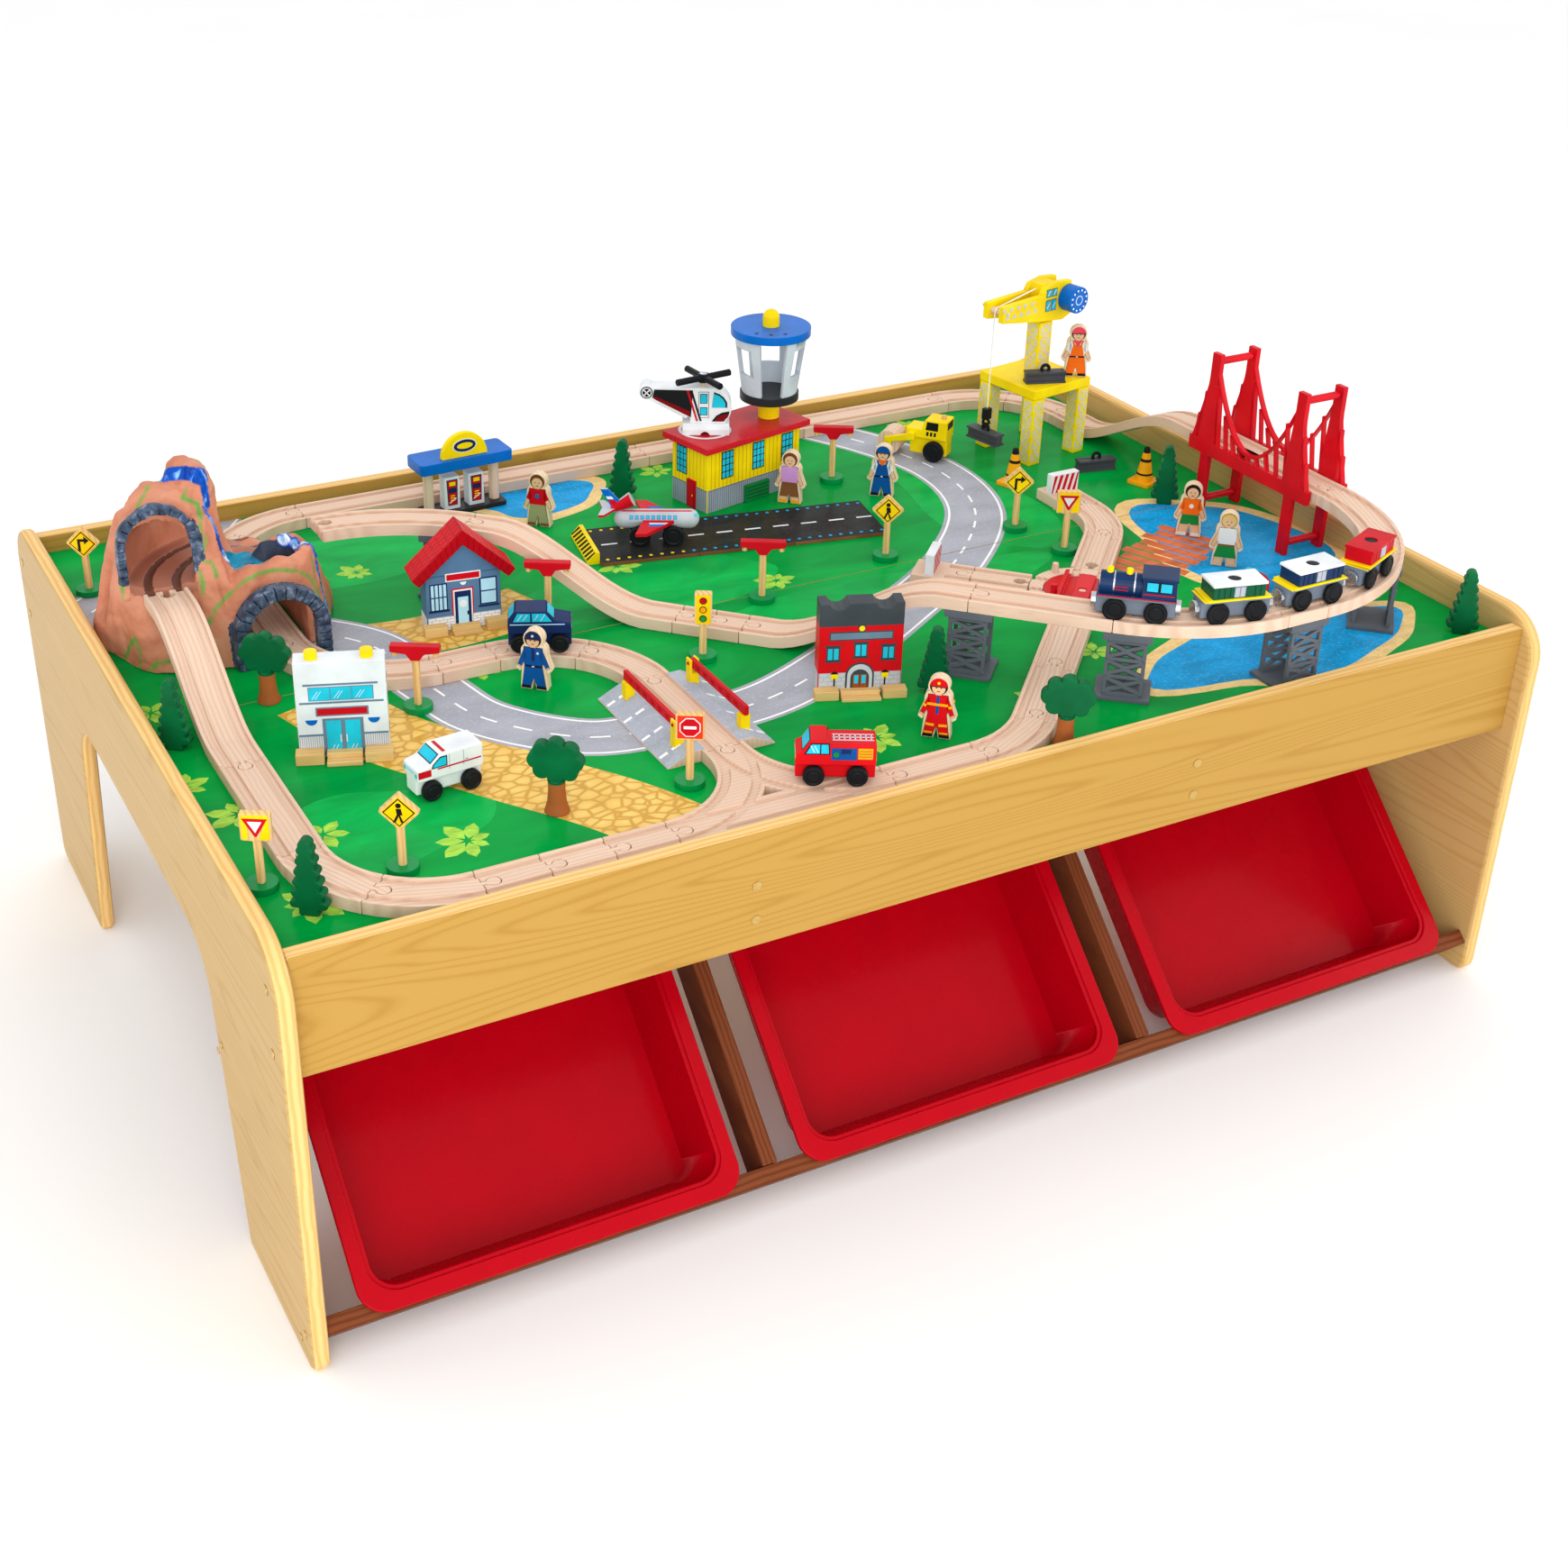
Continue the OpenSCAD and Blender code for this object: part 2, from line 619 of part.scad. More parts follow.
// Suspension bridge: two cut side frames joined by rods
frame_t = 6;
deck_h = 15;
leg_w = 13;
tower_in = 31;
rod_r = 4;
function cable(a, b, sag, n) = [for (i = [0:n]) let (t = i / n)
    [mid(a[0], b[0], t), mid(a[1], b[1], t) - 4 * sag * t * (1 - t)]];
module strip(p, q, w) {
    d = q - p;
    translate(p) rotate(atan2(d[1], d[0])) translate([0, -w / 2]) square([norm(d), w]);
}
module bridge_side() {
    deck = pier_h - 3;
    top = tower_h - 8;
    span = bridge_l - 2 * tower_in;
    low = deck + deck_h + 6;
    main_line = cable([tower_in, top], [bridge_l - tower_in, top], top - low, 20);
    translate([4, deck]) square([bridge_l - 8, deck_h]);
    for (s = [0, 1]) translate([s * bridge_l, 0]) scale([s == 0 ? 1 : -1, 1]) {
        translate([tower_in - leg_w / 2, 0]) square([leg_w, tower_h]);
        polygon([[tower_in - leg_w, deck + 4], [tower_in + leg_w, deck + 4], [tower_in + leg_w / 2, top - 20],
            [tower_in - leg_w / 2, top - 20]]);
        polygon(band(cable([6, deck + 6], [tower_in, top], 4, 8), -3.4, 3.4));
        for (i = [1:2]) strip([4 + i * 7, deck + 8], [7 + i * 7, deck + 16 + i * 26], 2);
    }
    polygon(band(main_line, -2.2, 2.2));
    for (i = [1:9]) {
        x = tower_in + span * i / 10;
        t = i / 10;
        strip([x - 4, deck + 6], [x + 4, top - 4 * (top - low) * t * (1 - t)], 2);
    }
}
module suspension_bridge() {
    side = track_w / 2 + 1 + frame_t / 2;
    gap = 2 * side - frame_t - 2 * fit;
    color(red) put(bridge_in, board_z) {
        for (s = [-1, 1]) translate([0, s * side, 0]) across(frame_t) bridge_side();
        for (x = [tower_in, bridge_l - tower_in], z = [12, pier_h - rod_r - rest, tower_h - 9])
            rod([x, 0, z], gap, [90, 0, 0], rod_r);
    }
}

// Rock hill: a height rule over a round grid, pierced by two tunnels
hill_mid = [-488, 158];
hill_rings = 13;
hill_spokes = 44;
function bump(x, y, c, r, h, k = 4) =
    h * exp(-pow(norm([(x - c[0]) / r[0], (y - c[1]) / r[1]]), k));
function hill_reach(a) =
    98 + 5 * sin(3 * a + 20) + 4 * sin(7 * a) + 10 * pow(cos(a), 2) - 20 * pow(sin(a), 4);
function hill_crag(x, y) = 2.5 * sin(x * 9 + y * 4) + 2 * sin(y * 11 - x * 5);
// The flat crest, its left shoulder, the saddle between them and the pillar beside the upper mouth
function hill_peak(x, y) = max(
    bump(x, y, [-502, 167], [33, 34], 170, 6),
    bump(x, y, [-540, 146], [46, 50], 156),
    bump(x, y, [-521, 148], [37, 38], 157),
    bump(x, y, [-507, 126], [27, 38], 138),
    bump(x, y, [-536, 200], [50, 30], 122));
// The terrace of the pond, with its rim and the ridge over the lower mouth
function hill_terrace(x, y) = max(
    bump(x, y, [-488, 160], [104, 98], 75),
    bump(x, y, [-452, 98], [60, 30], 86),
    bump(x, y, [-424, 141], [46, 13], 92),
    bump(x, y, [-412, 112], [18, 34], 88));
function hill_h(x, y) = hill_crag(x, y) + max(hill_peak(x, y), hill_terrace(x, y));
hill_points = concat(
    [for (i = [0:hill_rings - 1], j = [0:hill_spokes - 1])
        let (a = 360 * j / hill_spokes, r = hill_reach(a) * (i + 0.6) / (hill_rings - 0.4),
            x = hill_mid[0] + r * cos(a), y = hill_mid[1] + r * sin(a))
        [x, y, i == hill_rings - 1 ? 22 : max(30, hill_h(x, y))]],
    [for (j = [0:hill_spokes - 1]) let (a = 360 * j / hill_spokes, r = hill_reach(a) + 3)
        [hill_mid[0] + r * cos(a), hill_mid[1] + r * sin(a), 0]],
    [[hill_mid[0], hill_mid[1], hill_h(hill_mid[0], hill_mid[1])]]);
hill_top_point = len(hill_points) - 1;
hill_faces = concat(
    [for (i = [0:hill_rings - 1], j = [0:hill_spokes - 1]) let (k = (j + 1) % hill_spokes)
        [i * hill_spokes + j, i * hill_spokes + k, (i + 1) * hill_spokes + k]],
    [for (i = [0:hill_rings - 1], j = [0:hill_spokes - 1]) let (k = (j + 1) % hill_spokes)
        [i * hill_spokes + j, (i + 1) * hill_spokes + k, (i + 1) * hill_spokes + j]],
    [for (j = [0:hill_spokes - 1]) [hill_top_point, (j + 1) % hill_spokes, j]],
    [[for (j = [0:hill_spokes - 1]) hill_rings * hill_spokes + j]]);
bore_w = 64;
bore_h = 63;
bore_out = 5;
gallery_w = 58;
gallery_h = 70;
inner_h = 58;
hill_turn = hill_exit[1] - ramp_top_y;
module arch_hole(w, h) {
    translate([-w / 2, 0]) square([w, h - w / 2]);
    translate([0, h - w / 2]) circle(w / 2);
}
module stone_ring(w, h, thick) {
    difference() {
        intersection() {
            arch_hole(w + 2 * thick, h + thick);
            translate([-w, 0]) square([2 * w, 2 * h]);
        }
        translate([0, -1]) arch_hole(w, h + 1);
    }
}
// Space over the hill's own curved track, with its wheel grooves
module gallery() {
    lift = pier_h + track_t;
    translate([run_left, ramp_top_y, lift]) {
        translate([0, 20, 0]) rotate([90, 0, 0]) linear_extrude(140) arch_hole(gallery_w, gallery_h);
        translate([-gallery_w / 2, -120, -track_t - 24])
            cube([gallery_w, 120 - joint_gap / 2 + rest, track_t + 25]);
        translate([hill_turn, 0, 0]) rotate(90) rotate_extrude(angle = 90.01) translate([hill_turn, 0])
            arch_hole(gallery_w, inner_h);
        translate([hill_turn, 0, 0]) rotate(90) rotate_extrude(angle = 90.01)
            for (s = [-1, 1]) translate([hill_turn + s * groove_mid - groove_w / 2, -groove_d])
                square([groove_w, groove_d + 1]);
    }
    translate([run_left + hill_turn, hill_exit[1], lift]) {
        rotate([90, 0, 90]) linear_extrude(140) arch_hole(gallery_w, inner_h);
        for (s = [-1, 1])
            translate([-0.1, s * groove_mid - groove_w / 2, -groove_d]) cube([140, groove_w, 10]);
    }
    translate([hill_exit[0] - rest, hill_exit[1] - gallery_w / 2, pier_h - 2])
        cube([140, gallery_w, track_t + 4]);
}
module mountain() {
    mouth = tunnel_out[1] - 24;
    color([0.72, 0.38, 0.25]) spot(0, 0) difference() {
        union() {
            polyhedron(hill_points, hill_faces, 6);
            translate([tunnel_x - bore_out, mouth + 14, 0]) rotate([90, 0, 0]) linear_extrude(14)
                stone_ring(bore_w, bore_h, 13);
            translate([run_left, ramp_top_y + 16, pier_h + track_t - 8]) rotate([90, 0, 0]) linear_extrude(9)
                stone_ring(gallery_w, gallery_h + 8, 8);
        }
        translate([tunnel_x - bore_out, mouth - 20, 0]) rotate([90, 0, 0]) mirror([0, 0, 1])
            linear_extrude(260) {
                arch_hole(bore_w, bore_h);
                translate([-bore_w / 2, -2]) square([bore_w, 3]);
            }
        translate([tunnel_x + curve_r, tunnel_in[1], -1]) rotate(90) rotate_extrude(angle = 90)
            translate([curve_r - bore_w / 2, 0]) square([bore_w, bore_h]);
        gallery();
    }
}

// Block buildings: local X along the front, front face at y = 0 towards -Y
module slab(w, d, h, z = 0) translate([-w / 2, 0, z]) cube([w, d, h]);
module steps(w, d, h, n) for (i = [0:n - 1])
    translate([-w / 2, -d * (n - i) / n, 0]) cube([w, d * (n - i) / n - fit, h * (i + 1) / n]);
module police_station() {
    w = 72;
    d = 24;
    eave = 64;
    apex = 104;
    over = 6;
    spot(-280, 55, -8) {
        color([0.36, 0.45, 0.6]) slab(w, d, eave - 6);
        color([0.8, 0.68, 0.45]) for (s = [-1, 1])
            translate([s * 30 - 11, -12, 0]) cube([22, 12 - fit, 10]);
        color([0.8, 0.68, 0.45]) steps(28, 16, 7, 2);
        color(red) translate([0, d + over, 0]) rotate([90, 0, 0]) linear_extrude(d + 2 * over)
            polygon([[-50, eave - 6], [-43, eave - 13], [0, apex - 15], [43, eave - 13], [50, eave - 6],
                [0, apex]]);
        color([0.36, 0.45, 0.6]) translate([0, d, 0]) rotate([90, 0, 0]) linear_extrude(d)
            polygon([[-w / 2, eave - 6 - eps], [w / 2, eave - 6 - eps], [0, apex - 17]]);
    }
}
module hospital() {
    spot(-462, -128, -20) {
        color(white) slab(76, 20, 90);
        color(yellow) for (s = [-1, 1]) translate([s * 23, 9, 90 - eps]) cylinder(r = 5.5, h = 7);
        color([0.8, 0.68, 0.45]) for (s = [-1, 1]) translate([s * 29 - 12, -14, 0]) cube([24, 14 - fit, 10]);
        color([0.8, 0.68, 0.45]) steps(30, 18, 8, 2);
    }
}
module fire_station() {
    spot(-12, -224, -21) {
        color(red) slab(76, 20, 68);
        color(grey) translate([0, 20, 68 - eps]) rotate([90, 0, 0]) linear_extrude(20) difference() {
            translate([-38, 0]) square([76, 22]);
            for (s = [-1, 1]) translate([s * 21, 26]) circle(10);
        }
        color([0.8, 0.68, 0.45]) for (s = [-1, 1]) translate([s * 31 - 11, -12, 0]) cube([22, 12 - fit, 9]);
        color([0.8, 0.68, 0.45]) steps(36, 16, 7, 2);
    }
}
module gas_station() {
    spot(-174, 328, 3) {
        color(grey) linear_extrude(5) soft_square(94, 30, 5);
        color(beech) for (s = [-1, 1]) translate([s * 38, 0, 5]) cylinder(r = 5.5, h = 47);
        color(blue) translate([0, 0, 52]) linear_extrude(12) soft_square(106, 40, 5);
        color(yellow) translate([0, -10, 64]) across(7) intersection() {
            translate([0, 0]) circle(26);
            translate([-40, 0]) square([80, 40]);
        }
        color(white) for (s = [-1, 1]) translate([s * 14 - 9, -8, 5]) cube([18, 14, 36]);
    }
}

// Airport terminal with its flat roof, and the tower that stands on it
terminal_turn = 13;
terminal_at = [112, 242];
wall_h = 70;
roof_t = 7;
module airport_terminal() {
    spot(terminal_at[0], terminal_at[1], terminal_turn) {
        color(yellow) translate([-66, -29, 0]) cube([132, 58, wall_h]);
        color(red) translate([-74, -37, wall_h]) cube([148, 74, roof_t]);
        color(red) translate([-66 - 2, 18 - 29, 0]) cube([2 + eps, 14, 32]);
        color(green) translate([-14, -33, 0]) cube([34, 4 - fit, 20]);
        translate([45, -1, wall_h + roof_t]) control_tower();
    }
}
module control_tower() {
    color(yellow) cylinder(r = 11.5, h = 21);
    color(black) translate([0, 0, 21]) cylinder(r = 32, h = 9);
    color([0.6, 0.63, 0.67]) translate([0, 0, 30]) for (a = [15, 135, 255]) rotate(a)
        difference() {
            rotate_extrude(angle = 76) polygon([[25, 0], [30, 0], [39, 63], [34, 63]]);
            rotate([0, 0, 38]) translate([20, -13, 22]) cube([40, 26, 30]);
        }
    color(blue) translate([0, 0, 93]) cylinder(r = 43, h = 9);
    color(yellow) translate([0, 0, 102]) {
        cylinder(r = 9, h = 9);
        translate([0, 0, 9]) intersection() {
            sphere(r = 9);
            translate([-10, -10, 0]) cube(20);
        }
    }
}

// Helicopter: a cut body on a skid block, with a two-bar rotor on a peg
heli_turn = -27;
heli_at = [74, 244];
heli_t = 22;
hub_r = 2.2;
rotor_up = 54;
blade_l = 66;
module helicopter() {
    base = wall_h + roof_t;
    spot(heli_at[0], heli_at[1], heli_turn, base) {
        color(white) difference() {
            translate([-24, -18, 0]) cube([50, 36, 12]);
            for (s = [-1, 1]) translate([0, s * 24, 12]) rotate([s * 40, 0, 0])
                cube([60, 16, 14], center = true);
            translate([0, 0, -1]) rotate([90, 0, 0]) cylinder(r = 5, h = 60, center = true);
        }
        color(white) translate([0, 0, 12 - eps]) across(heli_t) {
            difference() {
                union() {
                    translate([6, 16]) circle(22);
                    translate([-16, 0]) square([30, 38]);
                    polygon([[-20, 4], [-62, 26], [-62, 39], [0, 38]]);
                    translate([-62, 33]) circle(8);
                }
                translate([-30, -30]) square([80, 30]);
            }
        }
        color(beech) translate([-2, 0, 48]) cylinder(r = hub_r, h = 11.4);
    }
}
rotor_pos = [heli_at[0] - 2 * cos(heli_turn), heli_at[1] - 2 * sin(heli_turn)];
module helicopter_rotor() {
    base = wall_h + roof_t;
    color(black) spot(rotor_pos[0], rotor_pos[1], 5, base + rotor_up) {
        difference() {
            union() {
                rod([0, 0, 4.4], blade_l, [0, 90, 0], 3.6);
                rod([0, 0, 4.4], blade_l, [90, 0, 0], 3.6);
                cylinder(r = 6, h = 9);
            }
            translate([0, 0, -4]) cylinder(r = hub_r + run_fit, h = 10);
        }
    }
}

// Airplane on two wheel pairs
plane_turn = -26;
plane_at = [-29, 152];
plane_axle = 11.5;
plane_wheel = 11;
plane_base = 17;
plane_gauge = 28;
module airplane() {
    spot(plane_at[0], plane_at[1], plane_turn, tile_t) {
        color([0.82, 0.84, 0.87]) difference() {
            union() {
                translate([-34, 0, 25]) rotate([0, 90, 0]) cylinder(r = 10, h = 68);
                translate([34, 0, 25]) sphere(r = 10);
                translate([-34, 0, 25]) sphere(r = 10);
                translate([-48, 0, 34]) rotate([0, 62, 0]) cylinder(r1 = 3, r2 = 8, h = 26);
                translate([-plane_base - 6, -9, 8]) cube([12, 18, 14]);
                translate([plane_base - 6, -9, 8]) cube([12, 18, 14]);
            }
            for (s = [-1, 1]) rod([s * plane_base, 0, plane_axle], 60, [90, 0, 0], axle_r + run_fit);
        }
        color(red) for (s = [-1, 1]) scale([1, s, 1]) translate([0, 0, 23]) linear_extrude(4)
            polygon([[18, 9.6], [-10, 44], [-22, 44], [-14, 9.6]]);
        color(blue) across(4) polygon([[-44, 34], [-58, 58], [-50, 58], [-30, 36]]);
        color(red) translate([0, 0, 34]) linear_extrude(3)
            polygon([[-42, -2], [-54, -20], [-60, -20], [-56, 0], [-60, 20], [-54, 20], [-42, 2]]);
    }
}
module wheel_pair(r, gauge, w) {
    rod([0, 0, 0], gauge, [90, 0, 0], axle_r);
    for (s = [-1, 1]) translate([0, s * gauge / 2, 0]) rotate([90, 0, 0]) rotate_extrude()
        polygon([[0, -w / 2], [r * 0.5, -w / 2], [r * 0.6, -w / 2 + 0.8], [r * 0.74, -w / 2],
            [r - 1.2, -w / 2], [r, -w * 0.26], [r, w * 0.26], [r - 1.2, w / 2], [r * 0.74, w / 2],
            [r * 0.6, w / 2 - 0.8], [r * 0.5, w / 2], [0, w / 2]]);
}
module airplane_axle(s) color(black) spot(plane_at[0], plane_at[1], plane_turn, tile_t)
    translate([s * plane_base, 0, plane_axle]) wheel_pair(plane_wheel, plane_gauge, 7);
module airplane_axle_front() airplane_axle(1);
module airplane_axle_rear() airplane_axle(-1);

// Runway of three tiles with puzzle joints
runway_turn = -11;
runway_at = [56, 139];
tile_l = 103;
tile_w = 88;
tile_t = 4;
wedge_l = 13;
wedge_h = 13;
module tile(first, last) {
    difference() {
        union() {
            translate([fit / 2, -tile_w / 2]) square([tile_l - fit, tile_w]);
            if (!last) translate([tile_l + 5, 0]) circle(8);
        }
        if (!first) translate([5, 0]) circle(8 + fit);
    }
}
module runway() {
    color([0.12, 0.12, 0.12]) spot(runway_at[0], runway_at[1], runway_turn)
        for (i = [0:2]) translate([(i - 1.5) * tile_l, 0, 0]) linear_extrude(tile_t) tile(i == 0, i == 2);
    color(yellow) spot(runway_at[0], runway_at[1], runway_turn) translate([-1.5 * tile_l, 0, 0])
        across(tile_w - 14) polygon([[0, 0], [-wedge_l, 0], [-wedge_l, 3], [-4, wedge_h], [0, wedge_h]]);
}

// Crane: a stand on four legs, a turning head with a winch, a cord and a hook
crane_at = [480, 211];
crane_turn = 9.5;
jib_turn = 191.5;
deck_w = 88;
deck_z = 78;
deck_t = 11;
mast_w = 20;
mast_top = 152;
jib_r = 70;
jib_z = 176;
cheek_t = 7;
cheek_y = 8;
winch_x = -24;
winch_z = 178;
module crane_stand() {
    leg = 17;
    leg_at = deck_w / 2 - 9;
    color(yellow) spot(crane_at[0], crane_at[1], crane_turn) {
        for (x = [-1, 1], y = [-1, 1]) translate([x * leg_at - leg / 2, y * leg_at - leg / 2, 0])
            cube([leg, leg, deck_z + eps]);
        translate([-deck_w / 2, -deck_w / 2, deck_z]) cube([deck_w, deck_w, deck_t]);
        translate([-mast_w / 2, -mast_w / 2, deck_z + deck_t - eps])
            cube([mast_w, mast_w, mast_top - deck_z - deck_t]);
        translate([0, 0, mast_top - 1]) cylinder(r = 5, h = 15);
    }
}
module on_crane() spot(crane_at[0], crane_at[1], jib_turn) children();
module cheek() {
    difference() {
        polygon([[-34, 158], [-30, 196], [-8, 198], [12, 194], [16, 186], [jib_r + 8, 184], [jib_r + 8, 166],
            [14, 156], [-20, mast_top + rest]]);
        translate([winch_x, winch_z]) circle(3 + run_fit);
        translate([jib_r, jib_z - 1]) circle(2);
    }
}
module crane_head() {
    color(yellow) on_crane() {
        for (s = [-1, 1]) translate([0, s * (cheek_y + cheek_t / 2), 0]) across(cheek_t) cheek();
        difference() {
            translate([-12, -cheek_y - eps, mast_top + rest]) cube([24, 2 * cheek_y + 2 * eps, 44]);
            translate([0, 0, mast_top - 1]) cylinder(r = 5 + run_fit, h = 16);
        }
    }
    color(beech) on_crane() rod([jib_r, 0, jib_z - 1], 2 * cheek_y + 4, [90, 0, 0], 4);
}
module crane_winch() {
    color(blue) on_crane() {
        rod([winch_x, 4, winch_z], 2 * (cheek_y + cheek_t) + 14, [90, 0, 0], 3);
        rod([winch_x, 0, winch_z], 2 * cheek_y - 1.2, [90, 0, 0], 6);
        translate([winch_x, cheek_y + cheek_t + rest, winch_z]) rotate([-90, 0, 0]) difference() {
            cylinder(r = 15, h = 18);
            for (a = [0:30:330]) rotate(a) translate([11.5, 0, 17.2]) cylinder(r = 1.4, h = 4);
        }
    }
}
cord_r = 0.8;
cord_x = jib_r + 4 + fit + cord_r;
hook_top = 64;
module crane_cord() {
    color(white) on_crane() translate([cord_x, 0, hook_top + fit]) cylinder(r = cord_r, h = jib_z - hook_top);
}
girder_l = 46;
module girder(ring = true) {
    h = 13;
    difference() {
        translate([-girder_l / 2, -7, 0]) cube([girder_l, 14, h]);
        for (s = [-1, 1]) translate([0, s * 7, h / 2]) cube([girder_l + 2, 6, h - 5], center = true);
    }
    if (ring) translate([0, 0, h + 2.6]) rotate([90, 0, 0]) rotate_extrude() translate([4.2, 0]) circle(1.9);
}
module crane_hook() {
    color(black) on_crane() translate([cord_x, 0, 0]) {
        translate([0, 0, hook_top - 12]) linear_extrude(12) soft_square(10, 8, 2);
        translate([0, 0, hook_top - 17]) rotate([90, 0, 90]) rotate_extrude(angle = 300)
            translate([4.6, 0]) circle(1.7);
    }
    color(grey) on_crane() translate([cord_x, 0, hook_top - 38.5]) rotate(90) girder();
}

// Trees: cut-out conifers and round crowns on turned trunks
conifers = [[-586, -51], [-563, -343], [-6, 282], [517, 10], [50, -252], [574, -372]];
round_trees = [[-490, -4], [-338, -290], [98, -384]];
tree_turn = -38;
module conifer() {
    across(cutout_t) {
        translate([-8, 0]) square([16, 8]);
        for (i = [0:5]) {
            w = 11.5 - 1.7 * i;
            translate([-w, 6 + i * 9.4]) square([2 * w, 7]);
            for (s = [-1, 1]) translate([s * w, 9.5 + i * 9.4]) circle(3.5);
        }
        translate([0, 61]) circle(5);
        polygon([[-11, 7], [11, 7], [4, 62], [-4, 62]]);
    }
}
module round_tree() {
    color(brown) rotate_extrude() polygon([[0, 0], [11, 0], [10, 3], [8, 10], [7, 22], [7.5, 31], [0, 31]]);
    color(green) translate([0, 0, 48]) across(cutout_t) {
        circle(16.5);
        for (a = [0:45:315]) translate([16 * cos(a), 12.5 * sin(a)]) circle(7.5);
    }
}
module trees() {
    color(green) for (p = conifers) spot(p[0], p[1], tree_turn) conifer();
    for (p = round_trees) spot(p[0], p[1], tree_turn) round_tree();
}

// Signs on green discs, and lamp posts with a cross arm
diamonds = [[-579, 289], [-481, -318], [329, 22], [166, 18]];
squares = [[-586, -294], [-222, -300], [341, -49]];
lights = [[-106, -100]];
lamps = [[-377, -77], [-203, 33], [4, -14], [222, 222]];
sign_turn = -30;
module sign_post(h) {
    color([0.0, 0.55, 0.3]) cylinder(r = 13, h = 6);
    color(beech) translate([0, 0, 6]) cylinder(r = 3.4, h = h);
}
module road_signs() {
    for (p = diamonds) spot(p[0], p[1], sign_turn) {
        sign_post(34);
        color(yellow) translate([0, 0, 54]) across(6) rotate(45) soft_square(23, 23, 1.5);
    }
    for (p = squares) spot(p[0], p[1], sign_turn) {
        sign_post(38);
        color(white) translate([0, 0, 56]) across(6) soft_square(24, 24, 1.5);
    }
    for (p = lights) spot(p[0], p[1], sign_turn) {
        sign_post(30);
        color(yellow) translate([0, 0, 52]) across(8) soft_square(16, 32, 1.5);
    }
    for (p = lamps) spot(p[0], p[1], sign_turn) {
        sign_post(50);
        color(red) translate([0, 0, 56]) across(9)
            polygon([[-22, 2], [-22, 8], [22, 8], [22, 2], [8, 0], [4, -6], [-4, -6], [-8, 0]]);
        color(beech) for (s = [-1, 1]) translate([s * 18, 0, 53]) cylinder(r = 2.6, h = 5);
    }
}

// Cut-out people
people = [[251, 163], [-117, 251], [151, 190], [-267, -84], [9, -320], [486, -70], [470, -147]];
people_turn = -42;
module person() {
    across(cutout_t) {
        translate([0, 50]) circle(9.5);
        translate([0, 33]) soft_square(24, 26, 8);
        polygon([[-11, 36], [-17, 20], [-13, 17], [-6, 30]]);
        polygon([[11, 36], [6, 30], [13, 17], [17, 20]]);
        polygon([[-11, 28], [11, 28], [13, 0], [2, 0], [0, 12], [-2, 0], [-13, 0]]);
    }
}
module figures() {
    color(beech) {
        for (p = people) spot(p[0], p[1], people_turn) person();
        spot(crane_at[0], crane_at[1], crane_turn, deck_z + deck_t)
            translate([32, -30, 0]) rotate(people_turn) person();
    }
}

// Cones, barriers, spare girders and a small boat
cones = [[399, 126], [533, 66]];
module cone() {
    linear_extrude(4) soft_square(28, 28, 3);
    translate([0, 0, 4 - eps]) cylinder(r1 = 10, r2 = 4, h = 32);
    translate([0, 0, 36 - 2 * eps]) cylinder(r1 = 4, r2 = 3, h = 6);
}
module barrier() {
    linear_extrude(22) soft_square(9, 36, 1);
}
module site_props() {
    color([0.96, 0.68, 0.05]) for (p = cones) spot(p[0], p[1], 20) cone();
    for (p = [ahead(buffer_pose, buffer_l), stub_end])
        color(white) put(ahead(p, buffer_l - 18), ground_top) barrier();
    color(grey) spot(508, 122, -12) girder();
    color(grey) spot(crane_at[0], crane_at[1], crane_turn, deck_z + deck_t)
        translate([-12, -26, 0]) rotate(-28) girder();
    color(red) spot(452, -205, 25) {
        linear_extrude(8) intersection() {
            translate([0, 14]) circle(34);
            translate([0, -14]) circle(34);
        }
        translate([-8, -6, 8 - eps]) cube([18, 12, 12]);
    }
}

// Road toys: local X ahead, standing on their wheels
toy_wheel = 9;
toy_gauge = 27;
toy_base = 18;
function toy_floor(z) = z + rest;
ambulance_pose = [-406, -214, 186];
patrol_pose = turned(loop_out, curve_r, -24);
truck_pose = [-119, -361, 152];
roller_pose = [352, 244, 128];
module axle_bores(base) {
    for (s = [-1, 1]) rod([s * base, 0, toy_wheel], 60, [90, 0, 0], axle_r + run_fit);
}
module chassis(len, w) difference() {
    union() {
        translate([-len / 2, -9, 5]) cube([len, 18, 14]);
        translate([-len / 2, -w / 2, 18.6]) cube([len, w, 3]);
    }
    axle_bores(toy_base);
}
module ambulance_body() {
    color(white) chassis(60, 27);
    color(white) across(27) polygon([[-30, 21], [-30, 40], [9, 40], [18, 32], [30, 29], [30, 21]]);
}
module patrol_body() {
    color(navy) chassis(58, 27);
    color(navy) across(27) polygon([[-29, 21], [-29, 32], [-22, 41], [6, 41], [14, 32], [29, 29], [29, 21]]);
}
module truck_body() {
    color(red) chassis(66, 27);
    color(red) across(27)
        polygon([[-33, 21], [-33, 38], [6, 38], [8, 42], [21, 42], [28, 31], [33, 29], [33, 21]]);
}
drum_r = 14;
drum_x = 34;
